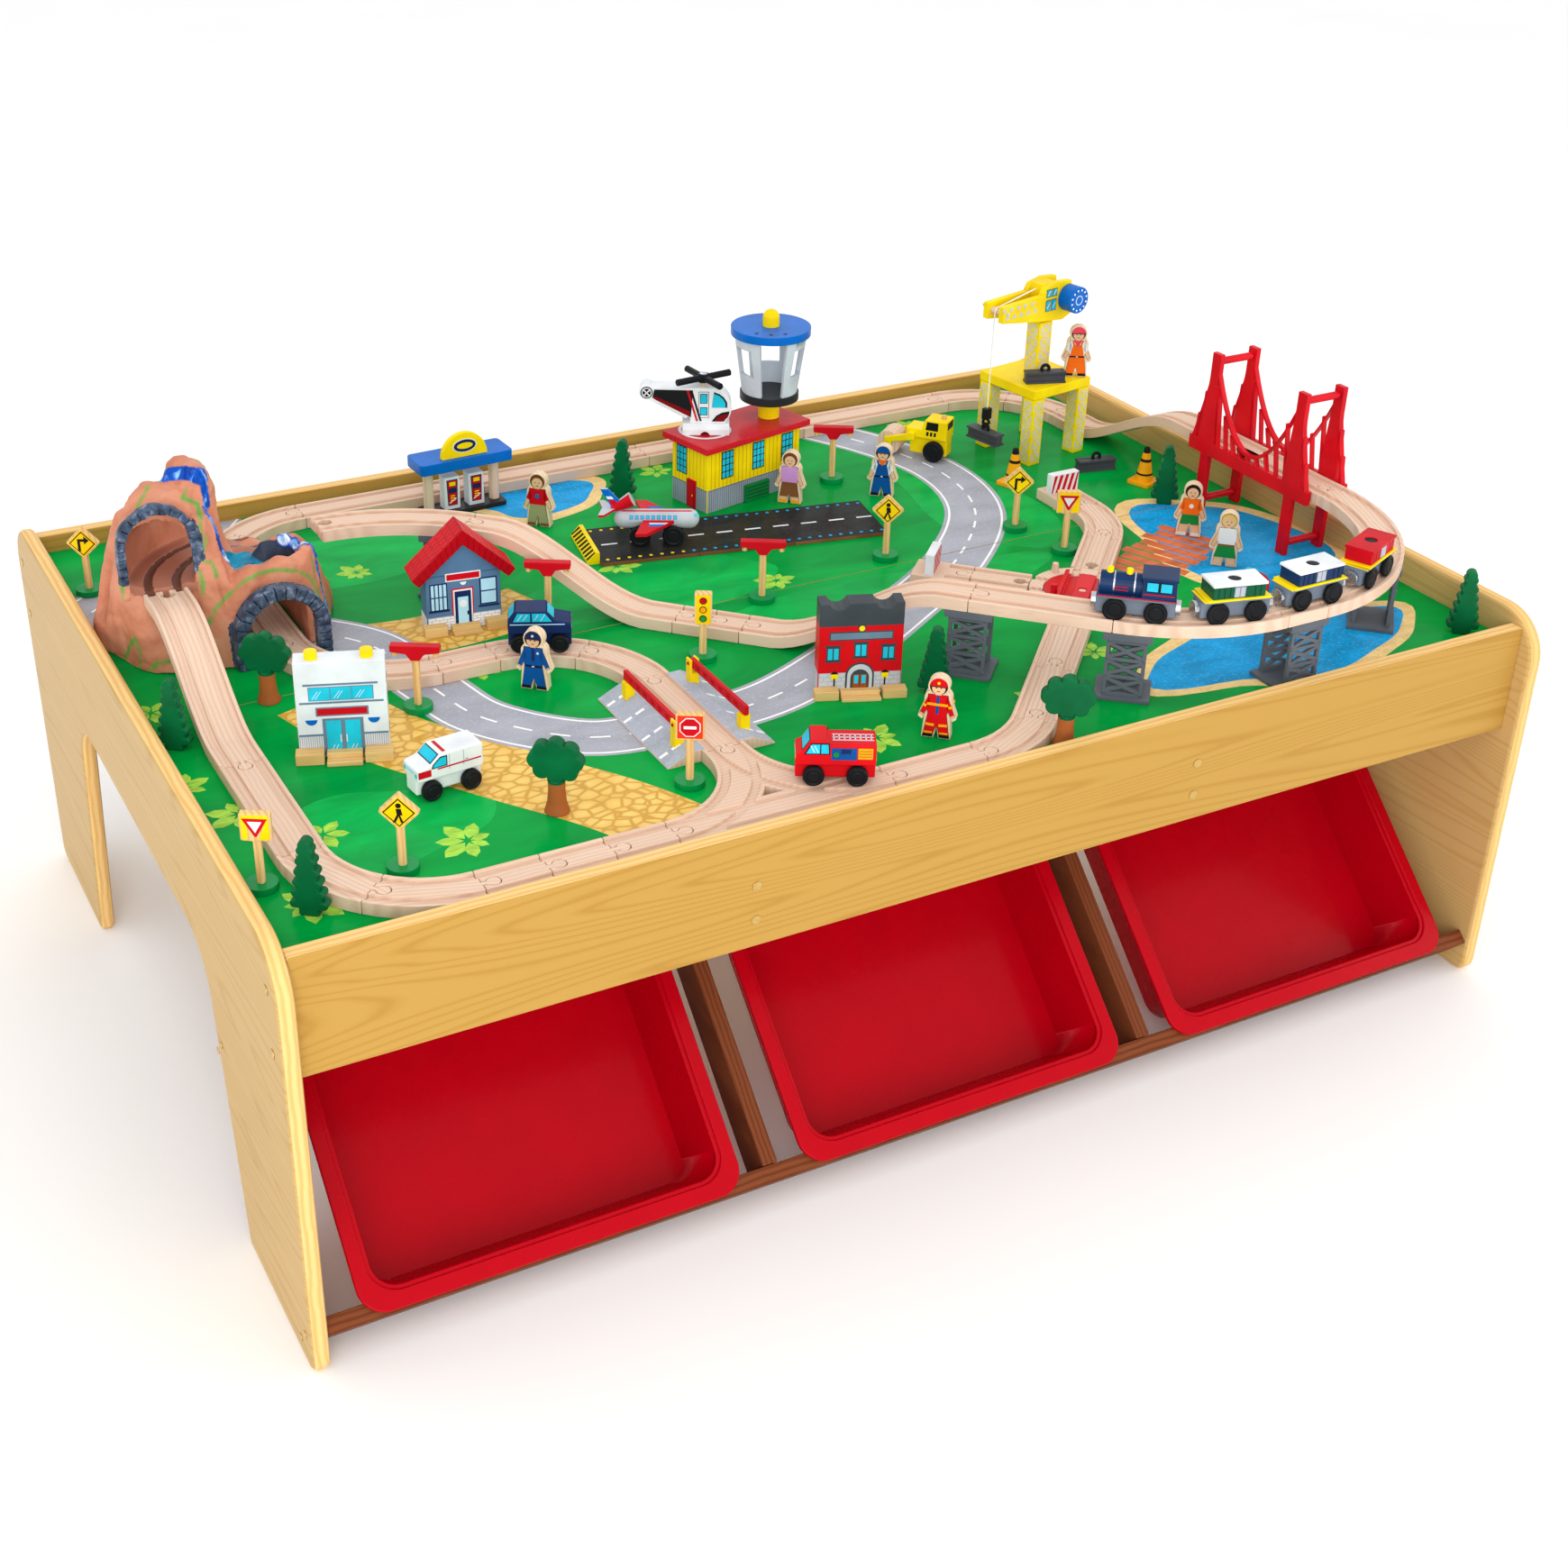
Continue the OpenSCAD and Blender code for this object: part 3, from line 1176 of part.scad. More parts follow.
module roller_body() {
    color(yellow) difference() {
        union() {
            translate([-34, -9, 6]) cube([44, 18, 20]);
            across(26) polygon([[-34, 25.4], [-34, 48], [-8, 48], [-4, 36], [14, 36], [14, 25.4]]);
            for (s = [-1, 1]) translate([0, s * 17, 0]) across(4)
                polygon([[2, 24], [2, 33], [drum_x + 4, 22], [drum_x + 4, 9], [drum_x - 4, 9],
                    [drum_x - 6, 18]]);
            translate([2, -19, 25.4]) cube([8, 38, 7]);
        }
        rod([drum_x, 0, drum_r + rest], 60, [90, 0, 0], 2 + run_fit);
        rod([-20, 0, toy_wheel + 3], 60, [90, 0, 0], axle_r + run_fit);
    }
}
module toy_vehicles() {
    put(ambulance_pose, toy_floor(board_z)) ambulance_body();
    put(patrol_pose, toy_floor(ground_top)) patrol_body();
    put(truck_pose, toy_floor(ground_top)) truck_body();
    put(roller_pose, toy_floor(board_z)) roller_body();
}
module toy_axle(pose, z, s) color(black) put(ahead(pose, s * toy_base), toy_floor(z) + toy_wheel)
    wheel_pair(toy_wheel, toy_gauge, 7.6);
module ambulance_axle_front() toy_axle(ambulance_pose, board_z, 1);
module ambulance_axle_rear() toy_axle(ambulance_pose, board_z, -1);
module patrol_axle_front() toy_axle(patrol_pose, ground_top, 1);
module patrol_axle_rear() toy_axle(patrol_pose, ground_top, -1);
module truck_axle_front() toy_axle(truck_pose, ground_top, 1);
module truck_axle_rear() toy_axle(truck_pose, ground_top, -1);
module roller_drum() color(beech) put(ahead(roller_pose, drum_x), board_z + rest + drum_r + rest) {
    rod([0, 0, 0], 29, [90, 0, 0], drum_r);
    rod([0, 0, 0], 40, [90, 0, 0], 2);
}
module roller_axle() color(black) put(ahead(roller_pose, -20), board_z + rest + toy_wheel + 3)
    wheel_pair(toy_wheel + 3, toy_gauge, 7.6);

// Train on the raised sweep; places are measured along the line from the start of the curve
car_base = 18;
car_places = [16, 102, 187, 273];
first_arc = wide_r * PI / 4;
function sweep_pose(s) = s < first_arc ? turned(sweep_in, wide_r, s / wide_r * 180 / PI)
    : s < first_arc + sweep_l ? ahead(sweep_low, s - first_arc)
    : turned(sweep_mid, wide_r, (s - first_arc - sweep_l) / wide_r * 180 / PI);
// Cars stand inside the middle line by the rise of their axles, so the wheels keep to the grooves
car_in = car_base * car_base / wide_r / 2;
function car_pose(i) = let (p = aside(sweep_pose(car_places[i]), car_in)) [p[0], p[1], p[2] + 180];
rail_z = raised_top - groove_d + rest;
module car_frame(len) difference() {
    union() {
        translate([-len / 2, -9, 6]) cube([len, 18, 16]);
        translate([-len / 2, -14, wheel_r * 2 + 0.4]) cube([len, 28, 1.8]);
        for (s = [-1, 1])
            translate([s * (len / 2 - 0.5), 0, 13]) rotate([0, s * 90, 0]) cylinder(r = 7, h = 5);
    }
    for (s = [-1, 1]) rod([s * car_base, 0, wheel_r], 60, [90, 0, 0], axle_r + run_fit);
}
module locomotive() {
    deck = wheel_r * 2 + 2.2;
    put(car_pose(0), rail_z) {
        color(grey) car_frame(70);
        color(navy) {
            translate([-35, -15, deck - eps]) cube([70, 30, 2]);
            translate([-5, 0, deck + 7.5]) rotate([0, 90, 0]) cylinder(r = 11, h = 38);
            translate([-34, -14, deck]) cube([30, 28, 19.4]);
            translate([-35, -15, deck + 19.4 - eps]) cube([32, 30, 2.6]);
        }
        color(yellow) for (x = [8, 25]) translate([x, 0, deck + 17]) cylinder(r = 3, h = 6);
    }
}
module wagon(i, tint) {
    deck = wheel_r * 2 + 2.2;
    put(car_pose(i), rail_z) {
        color(grey) car_frame(66);
        color(yellow) translate([-30, -15, deck - eps]) cube([60, 30, 2]);
        color(tint) translate([-25, -13, deck + 2 - 2 * eps]) cube([50, 26, 11.5]);
        color(white) translate([-26, -14, deck + 13.5 - 3 * eps]) difference() {
            cube([52, 28, 2.6]);
            translate([26, 14, 1]) cylinder(r = 6, h = 4);
        }
    }
}
module wagons() {
    wagon(1, green);
    wagon(2, navy);
    wagon(3, red);
}
module car_axle(i, s) color(black) put(ahead(car_pose(i), s * car_base), rail_z + wheel_r)
    wheel_pair(wheel_r, groove_gauge, 4.6);
module loco_axle_front() car_axle(0, 1);
module loco_axle_rear() car_axle(0, -1);
module green_axle_front() car_axle(1, 1);
module green_axle_rear() car_axle(1, -1);
module blue_axle_front() car_axle(2, 1);
module blue_axle_rear() car_axle(2, -1);
module red_axle_front() car_axle(3, 1);
module red_axle_rear() car_axle(3, -1);

left_end_panel();
right_end_panel();
front_rail();
back_rail();
play_boards();
board_supports();
bin_rack();
frame_screws();
bin_left();
bin_middle();
bin_right();
ground_tracks();
raised_tracks();
turntable_base();
turntable_rotor();
crossing_plate();
gate_arm_left();
gate_arm_right();
track_piers();
suspension_bridge();
mountain();
police_station();
hospital();
fire_station();
gas_station();
airport_terminal();
helicopter();
helicopter_rotor();
airplane();
airplane_axle_front();
airplane_axle_rear();
runway();
crane_stand();
crane_head();
crane_winch();
crane_cord();
crane_hook();
trees();
road_signs();
figures();
site_props();
toy_vehicles();
locomotive();
wagons();
loco_axle_front();
loco_axle_rear();
green_axle_front();
green_axle_rear();
blue_axle_front();
blue_axle_rear();
red_axle_front();
red_axle_rear();
ambulance_axle_front();
ambulance_axle_rear();
patrol_axle_front();
patrol_axle_rear();
truck_axle_front();
truck_axle_rear();
roller_drum();
roller_axle();
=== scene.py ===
"""Looks of the train table: dressed copies of its solids, printed faces, rock, water, light and camera."""
import json
import math
import random

import bmesh
import bpy
from mathutils import Matrix, Vector, kdtree, noise
from mathutils.bvhtree import BVHTree
from mathutils.geometry import delaunay_2d_cdt


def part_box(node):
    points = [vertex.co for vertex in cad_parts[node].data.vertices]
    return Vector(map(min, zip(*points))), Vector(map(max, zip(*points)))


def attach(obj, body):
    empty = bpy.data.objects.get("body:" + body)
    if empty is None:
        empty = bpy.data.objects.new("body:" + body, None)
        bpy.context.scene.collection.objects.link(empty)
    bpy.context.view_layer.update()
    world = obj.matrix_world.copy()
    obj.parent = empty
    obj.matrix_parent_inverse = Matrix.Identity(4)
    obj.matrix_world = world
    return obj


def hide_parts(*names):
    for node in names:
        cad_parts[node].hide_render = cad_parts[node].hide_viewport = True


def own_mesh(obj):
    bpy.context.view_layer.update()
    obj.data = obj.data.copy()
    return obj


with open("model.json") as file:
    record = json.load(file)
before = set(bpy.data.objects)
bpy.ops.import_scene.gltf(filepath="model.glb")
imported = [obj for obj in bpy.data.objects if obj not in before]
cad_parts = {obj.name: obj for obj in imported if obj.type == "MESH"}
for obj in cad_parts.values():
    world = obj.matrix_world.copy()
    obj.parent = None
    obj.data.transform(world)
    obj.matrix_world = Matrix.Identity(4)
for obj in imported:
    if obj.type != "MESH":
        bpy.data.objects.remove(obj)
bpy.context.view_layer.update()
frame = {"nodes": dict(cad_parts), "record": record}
random.seed(7)

# Everything below is in millimetres, and goes to metres as a mesh is made
MM = 0.001
INK = 0.25
INK_SUNK = 0.2
ROOT = "table"

# Levels of the table
BOARD_Z = 370
GROUND_TOP = 382

# Distances at which points of a solid count as one, before and after its edges are rounded
WELD = 0.02
FINE_WELD = 0.01


def tone(r, g, b):
    """The linear colour of an sRGB one."""
    return tuple(((v / 255 + 0.055) / 1.055) ** 2.4 if v > 10 else v / 3295 for v in (r, g, b)) + (1,)


# Poses: x, y and heading in degrees, as on the board
def ahead(p, d):
    a = math.radians(p[2])
    return (p[0] + d * math.cos(a), p[1] + d * math.sin(a), p[2])


def aside(p, d):
    a = math.radians(p[2])
    return (p[0] - d * math.sin(a), p[1] + d * math.cos(a), p[2])


def turned(p, r, angle):
    s = 1 if angle > 0 else -1
    c = aside(p, s * r)
    a = math.radians(p[2] + angle)
    return (c[0] + s * r * math.sin(a), c[1] - s * r * math.cos(a), p[2] + angle)


def stand(p, z):
    """The matrix that stands local millimetres on a pose at height z."""
    return Matrix.Translation((p[0], p[1], z)) @ Matrix.Rotation(math.radians(p[2]), 4, "Z")


# How much of the white surround a painted face mirrors
SHEEN = 0.06


class Finish:
    """One material: a shader with a small tree of nodes behind it."""

    def __init__(self, name, rough=0.4, **sockets):
        self.material = bpy.data.materials.new(name)
        self.material.use_nodes = True
        self.tree = self.material.node_tree
        self.shader = self.tree.nodes["Principled BSDF"]
        self.shader.inputs["Roughness"].default_value = rough
        self.shader.inputs["Specular IOR Level"].default_value = SHEEN
        for key, value in sockets.items():
            self.shader.inputs[key.replace("_", " ")].default_value = value

    def node(self, kind, inputs=(), **values):
        made = self.tree.nodes.new("ShaderNode" + kind)
        for key, value in values.items():
            setattr(made, key, value)
        for key, value in dict(inputs).items():
            if isinstance(value, bpy.types.NodeSocket):
                self.tree.links.new(value, made.inputs[key])
            else:
                made.inputs[key].default_value = value
        return made

    def place(self, stretch=(1, 1, 1), grain=False):
        """The surface's own coordinates, or those along its wood grain."""
        if grain:
            start = self.node("Attribute", attribute_name="grain").outputs["Vector"]
        else:
            start = self.node("TexCoord").outputs["Object"]
        return self.node("Mapping", {"Vector": start, "Scale": stretch}).outputs["Vector"]

    def noise(self, where, scale, detail=3.0, rough=0.5, warp=0.0):
        inputs = {"Vector": where, "Scale": scale, "Detail": detail, "Roughness": rough, "Distortion": warp}
        return self.node("TexNoise", inputs).outputs["Fac"]

    def ramp(self, factor, *stops):
        made = self.node("ValToRGB", {"Fac": factor})
        while len(made.color_ramp.elements) < len(stops):
            made.color_ramp.elements.new(0.5)
        for element, (at, colour) in zip(made.color_ramp.elements, stops):
            element.position = at
            element.color = colour
        return made.outputs["Color"]

    def mix(self, factor, a, b, blend="MIX"):
        made = self.node("Mix", data_type="RGBA", blend_type=blend)
        for socket, value in ((made.inputs[0], factor), (made.inputs[6], a), (made.inputs[7], b)):
            if isinstance(value, bpy.types.NodeSocket):
                self.tree.links.new(value, socket)
            else:
                socket.default_value = value
        return made.outputs[2]

    def math(self, kind, a, b=0.0):
        made = self.node("Math", operation=kind)
        for socket, value in zip(made.inputs, (a, b)):
            if isinstance(value, bpy.types.NodeSocket):
                self.tree.links.new(value, socket)
            else:
                socket.default_value = value
        return made.outputs[0]

    def colour(self, socket):
        self.tree.links.new(socket, self.shader.inputs["Base Color"])
        return self

    def rough(self, factor, low, high):
        inputs = {"Value": factor, "To Min": low, "To Max": high}
        made = self.node("MapRange", inputs)
        self.tree.links.new(made.outputs["Result"], self.shader.inputs["Roughness"])
        return self

    def bump(self, height, strength, distance=0.0004):
        inputs = {"Height": height, "Strength": strength, "Distance": distance}
        made = self.node("Bump", inputs)
        self.tree.links.new(made.outputs["Normal"], self.shader.inputs["Normal"])
        return self


def shaded(rgb, share):
    """A colour made lighter or darker by a share of itself."""
    return tone(*(max(0, min(255, v * share)) for v in rgb))


def paint(name, rgb, rough=0.36, coat=0.04, spread=0.06):
    """Sprayed paint or moulded plastic: a slow change of tone, a faint orange peel and uneven gloss."""
    f = Finish(name, rough, Coat_Weight=coat, Coat_Roughness=0.12)
    slow = f.noise(f.place(), 26, 3)
    f.colour(f.ramp(slow, (0.3, shaded(rgb, 1 - spread)), (0.7, shaded(rgb, 1 + spread))))
    peel = f.noise(f.place(), 900, 2)
    f.rough(f.noise(f.place(), 60, 4), rough - 0.08, rough + 0.1)
    return f.bump(peel, 0.06, 0.0002).material


def plain_wood(name, light, dark, fleck, rough=0.45, coat=0.04, rings=70.0):
    """Wood with rings along the grain, pores and flecks, and a tone that changes from piece to piece."""
    f = Finish(name, rough, Coat_Weight=coat, Coat_Roughness=0.2)
    along = f.place((0.5, 1, 1), grain=True)
    waves = {"Vector": along, "Scale": rings, "Distortion": 3.4, "Detail": 2.0, "Detail Scale": 0.5,
             "Detail Roughness": 0.5}
    wave = f.node("TexWave", waves, bands_direction="Y")
    pores = f.noise(f.place((16, 420, 420), grain=True), 3, 4, 0.65)
    base = f.ramp(wave.outputs["Fac"], (0.0, tone(*dark)), (0.6, tone(*light)), (1.0, shaded(light, 1.02)))
    streak = f.ramp(pores, (0.30, (1, 1, 1, 1)), (0.42, (0, 0, 0, 1)))
    flecked = f.mix(f.math("MULTIPLY", streak, 0.5), base, tone(*fleck))
    tint = f.node("Attribute", attribute_name="tint").outputs["Fac"]
    f.colour(f.mix(f.math("MULTIPLY", tint, 0.4), flecked, shaded(dark, 0.97)))
    f.rough(pores, rough - 0.06, rough + 0.12)
    return f.bump(pores, 0.12, 0.0002).material


def laminate(name, light, dark, line):
    """Printed maple: long cathedral figure with fine lines, small knots and a satin lacquer."""
    f = Finish(name, 0.36, Coat_Weight=0.03, Coat_Roughness=0.18)
    where = f.place((1, 1, 1), grain=True)
    slow = f.noise(f.place((0.45, 8, 8), grain=True), 1.5, 2, 0.4, 0.25)
    rings = f.math("SINE", f.math("MULTIPLY", slow, 210.0))
    figure = f.ramp(rings, (0.0, tone(*light)), (0.75, tone(*dark)), (1.0, tone(*line)))
    silk = f.noise(f.place((9, 520, 520), grain=True), 2.4, 4, 0.6)
    silken = f.mix(f.math("MULTIPLY", silk, 0.8), figure, tone(*dark))
    cloud = f.noise(where, 4, 2)
    toned = f.mix(f.math("MULTIPLY", cloud, 0.45), silken, shaded(light, 1.02))
    cells = {"Vector": f.place((1.4, 2.4, 2.4), grain=True), "Scale": 2.6, "Randomness": 1.0}
    knots = f.node("TexVoronoi", cells)
    spot = f.ramp(knots.outputs["Distance"], (0.010, (0.6, 0.6, 0.6, 1)), (0.035, (0, 0, 0, 1)))
    f.colour(f.mix(spot, toned, tone(*line)))
    f.rough(silk, 0.3, 0.42)
    return f.bump(silk, 0.05, 0.0002).material


def metal(name, rgb, rough=0.3):
    f = Finish(name, rough, Metallic=1.0, Specular_IOR_Level=0.5)
    worn = f.noise(f.place(), 700, 3)
    f.colour(f.ramp(worn, (0.3, shaded(rgb, 0.9)), (0.7, shaded(rgb, 1.05))))
    return f.rough(worn, rough - 0.08, rough + 0.12).material


def printed(name, rgb, spread=0.05, scale=18.0, rough=0.2, mark=None):
    """Ink under the boards' gloss: slow clouds of tone, and specks of a second ink where one is given."""
    f = Finish(name, rough, Coat_Weight=0.02, Coat_Roughness=0.07, Specular_IOR_Level=0.02)
    slow = f.noise(f.place((1, 2.2, 1)), scale, 4, 0.55, 0.6)
    base = f.ramp(slow, (0.32, shaded(rgb, 1 - spread)), (0.68, shaded(rgb, 1 + spread)))
    if mark:
        specks = f.ramp(f.noise(f.place(), 420, 2), (0.55, (0, 0, 0, 1)), (0.68, (0.5, 0.5, 0.5, 1)))
        base = f.mix(specks, base, tone(*mark))
    f.colour(base)
    ripple = f.noise(f.place(), 9, 2)
    return f.rough(slow, rough - 0.06, rough + 0.06).bump(ripple, 0.05, 0.0008).material


def pebbles(name, light, dark, scale=70.0):
    """Round cobbles: pale cells with darker joints."""
    f = Finish(name, 0.22, Coat_Weight=0.02, Coat_Roughness=0.07)
    cells = f.node("TexVoronoi", {"Vector": f.place((1, 1.3, 1)), "Scale": scale},
                   feature="DISTANCE_TO_EDGE")
    tint = f.node("TexVoronoi", {"Vector": f.place((1, 1.3, 1)), "Scale": scale})
    stone = f.mix(f.math("MULTIPLY", tint.outputs["Distance"], 0.8), tone(*light), shaded(dark, 1.08))
    joint = f.ramp(cells.outputs["Distance"], (0.05, (1, 1, 1, 1)), (0.13, (0, 0, 0, 1)))
    return f.colour(f.mix(joint, stone, tone(*dark))).material


def rock(name):
    """Moulded terracotta rock, painted where the mesh's own marks are above nought."""
    f = Finish(name, 0.42, Coat_Weight=0.08, Coat_Roughness=0.25)
    slow = f.noise(f.place(), 22, 5, 0.6, 0.5)
    shades = ((0.28, tone(176, 106, 80)), (0.52, tone(206, 134, 104)), (0.78, tone(222, 158, 130)))
    base = f.ramp(slow, *shades)
    wobble = f.math("MULTIPLY", f.noise(f.place(), 110, 3), 0.5)

    def mask(mark, sharp=6.0):
        here = f.node("Attribute", attribute_name=mark).outputs["Fac"]
        edge = f.math("SUBTRACT", f.math("ADD", here, wobble), 0.25)
        return f.node("Clamp", {"Value": f.math("MULTIPLY", edge, sharp)}).outputs["Result"]
    run = f.noise(f.place((1, 1, 0.3)), 60, 4, 0.6, 1.6)
    blue = f.ramp(run, (0.36, tone(6, 44, 132)), (0.54, tone(16, 88, 196)), (0.68, tone(150, 200, 240)))
    shore = f.ramp(f.noise(f.place(), 40, 3), (0.4, tone(16, 112, 150)), (0.6, tone(34, 150, 184)))
    spray = f.ramp(run, (0.42, tone(90, 150, 214)), (0.58, tone(244, 248, 252)))
    painted = f.mix(mask("moss", 3.2), base, tone(98, 164, 74))
    painted = f.mix(mask("pond"), painted, shore)
    painted = f.mix(mask("slate"), painted, tone(52, 62, 80))
    wet = mask("water")
    painted = f.mix(wet, painted, blue)
    f.colour(f.mix(mask("foam"), painted, spray))
    grit = f.noise(f.place(), 260, 4, 0.6)
    pools = f.math("MAXIMUM", wet, mask("pond"))
    dry = f.math("ADD", 0.36, f.math("MULTIPLY", grit, 0.2))
    gloss = f.math("SUBTRACT", dry, f.math("MULTIPLY", pools, 0.3))
    f.tree.links.new(gloss, f.shader.inputs["Roughness"])
    return f.bump(grit, 0.2, 0.0008).material


def stone(name):
    """Dark dressed stone, paler in random patches that are partly worn faces and partly painted highlights.
    """
    f = Finish(name, 0.4, Coat_Weight=0.25)
    slow = f.noise(f.place(), 120, 4, 0.6)
    # The palest tone stands partly for wear and partly for painted highlight
    f.colour(f.ramp(slow, (0.32, tone(38, 46, 62)), (0.54, tone(70, 86, 112)), (0.74, tone(142, 156, 178))))
    return f.bump(f.noise(f.place(), 420, 3), 0.25, 0.0006).material


RED = (196, 14, 30)
YELLOW = (250, 214, 12)
BLUE = (8, 102, 188)
NAVY = (24, 42, 88)
WHITE = (228, 231, 234)
BLACK = (26, 27, 30)
TEAL = (62, 196, 220)

maple = laminate("maple_laminate", (187, 147, 74), (179, 137, 63), (165, 121, 50))
maple_pale = laminate("maple_panel", (204, 170, 110), (197, 160, 98), (184, 144, 80))
beech = plain_wood("beech", (228, 199, 177), (219, 186, 161), (188, 147, 122))
post_wood = plain_wood("post_wood", (232, 196, 134), (214, 172, 108), (176, 130, 76))
# Brown rack wood, darker and redder for painted shade and a painted red reflection of the bins
rack_wood_painted_shade = plain_wood("rack_wood_painted_shade", (126, 68, 38), (104, 50, 26), (72, 32, 16), 0.5)
brass = metal("brass_screw", (214, 180, 108))
steel = metal("bright_steel", (196, 200, 206), 0.24)
bin_red = paint("bin_red", (180, 0, 20), 0.26, 0.06, 0.015)
red = paint("red_paint", RED)
gloss_red = paint("gloss_red", (206, 14, 30), 0.24, 0.15)
yellow = paint("yellow_paint", YELLOW)
blue = paint("blue_paint", BLUE)
navy = paint("navy_paint", NAVY)
disc_green = paint("disc_green", (4, 140, 70), 0.28, 0.12)
white = paint("white_paint", WHITE, 0.32)
black = paint("black_plastic", BLACK, 0.34)
teal = paint("teal_print", TEAL, 0.25)
silver = paint("silver_paint", (206, 211, 218), 0.3)
orange = paint("orange_paint", (244, 164, 20))
brown = paint("trunk_brown", (168, 94, 48), 0.4)
wagon_green = paint("wagon_green", (14, 84, 54), 0.28, 0.12)


SHARP = math.radians(32)


def link(made):
    bpy.context.scene.collection.objects.link(made)
    return made


def slot(materials, material):
    """The place of a material in a list, which takes it up if it is new."""
    if material not in materials:
        materials.append(material)
    return materials.index(material)


def soften(bm, offset, steps, angle=25.0):
    """Rounds the convex edges that turn by more than an angle in degrees."""
    sharp = [e for e in bm.edges if len(e.link_faces) == 2 and e.is_convex
             and e.calc_face_angle(0) > math.radians(angle)]
    bmesh.ops.bevel(bm, geom=sharp, offset=offset, segments=steps, profile=0.5, affect="EDGES",
                    clamp_overlap=False, material=-1, harden_normals=False)


def mount(name, bm, materials, body, nodes=()):
    """A mesh object in metres that rides on a body and stands for some nodes."""
    mesh = bpy.data.meshes.new(name)
    bm.normal_update()
    bm.to_mesh(mesh)
    bm.free()
    for material in materials:
        mesh.materials.append(material)
    mesh.shade_smooth()
    mesh.set_sharp_from_angle(angle=SHARP)
    made = link(bpy.data.objects.new(name, mesh))
    made.modifiers.new("flat_faces", "WEIGHTED_NORMAL").keep_sharp = True
    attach(made, body)
    if nodes:
        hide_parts(*nodes)
    return made


def islands(bm):
    """The separate solids of a mesh, as lists of vertices, in the order of their first one."""
    seen, found = set(), []
    for start in bm.verts:
        if start in seen:
            continue
        seen.add(start)
        group, edge = [start], [start]
        while edge:
            for e in edge.pop().link_edges:
                for v in e.verts:
                    if v not in seen:
                        seen.add(v)
                        group.append(v)
                        edge.append(v)
        found.append(group)
    return found


def long_axes(points):
    """Rotation whose first axis is the longest direction of some points, level where that is clear."""
    centre = sum(points, Vector()) / len(points)
    rows = [p - centre for p in points]
    low = [min(r[k] for r in rows) for k in range(3)]
    high = [max(r[k] for r in rows) for k in range(3)]
    if high[2] - low[2] > 1.3 * max(high[0] - low[0], high[1] - low[1]):
        return Matrix(((0, 0, 1), (1, 0, 0), (0, 1, 0)))
    xx, yy = (sum(r[k] * r[k] for r in rows) for k in (0, 1))
    xy = sum(r[0] * r[1] for r in rows)
    return Matrix.Rotation(-0.5 * math.atan2(2 * xy, xx - yy), 3, "Z")


def set_grain(bm, axes=None):
    """Stores where each point lies along its piece's grain, and one random tint for each piece."""
    grain = bm.verts.layers.float_vector.new("grain")
    tint = bm.verts.layers.float.new("tint")
    for group in islands(bm):
        turn = axes or long_axes([v.co for v in group])
        shift = Vector((random.uniform(0, 9), random.uniform(0, 9), random.uniform(0, 9)))
        shade = random.random()
        for v in group:
            v[grain] = turn @ v.co + shift
            v[tint] = shade


def dress(node, choose, soft=0.8, steps=2, axes=None, angle=25.0, limit=1.0, cuts=()):
    """A copy of a node's solid with rounded edges. choose is one material, or a rule on a face's centre in
    millimetres and its normal; cuts are the heights at which faces are parted for it."""
    rule = choose if callable(choose) else (lambda c, n: choose)
    bm = bmesh.new()
    bm.from_mesh(frame["nodes"][node].data)
    bmesh.ops.remove_doubles(bm, verts=bm.verts, dist=WELD * MM)
    bmesh.ops.dissolve_limit(bm, angle_limit=math.radians(limit), verts=bm.verts, edges=bm.edges)
    for z in cuts:
        whole = bm.verts[:] + bm.edges[:] + bm.faces[:]
        bmesh.ops.bisect_plane(bm, geom=whole, plane_co=(0, 0, z * MM), plane_no=(0, 0, 1))
    bm.normal_update()
    materials = []
    for face in bm.faces:
        face.material_index = slot(materials, rule(face.calc_center_median() / MM, face.normal))
    soften(bm, soft * MM, steps, angle)
    bmesh.ops.remove_doubles(bm, verts=bm.verts, dist=FINE_WELD * MM)
    set_grain(bm, axes)
    body = next(b for b, nodes in frame["record"]["behaviour"]["bodies"].items() if node in nodes)
    return mount(node + ".dressed", bm, materials, body, [node])


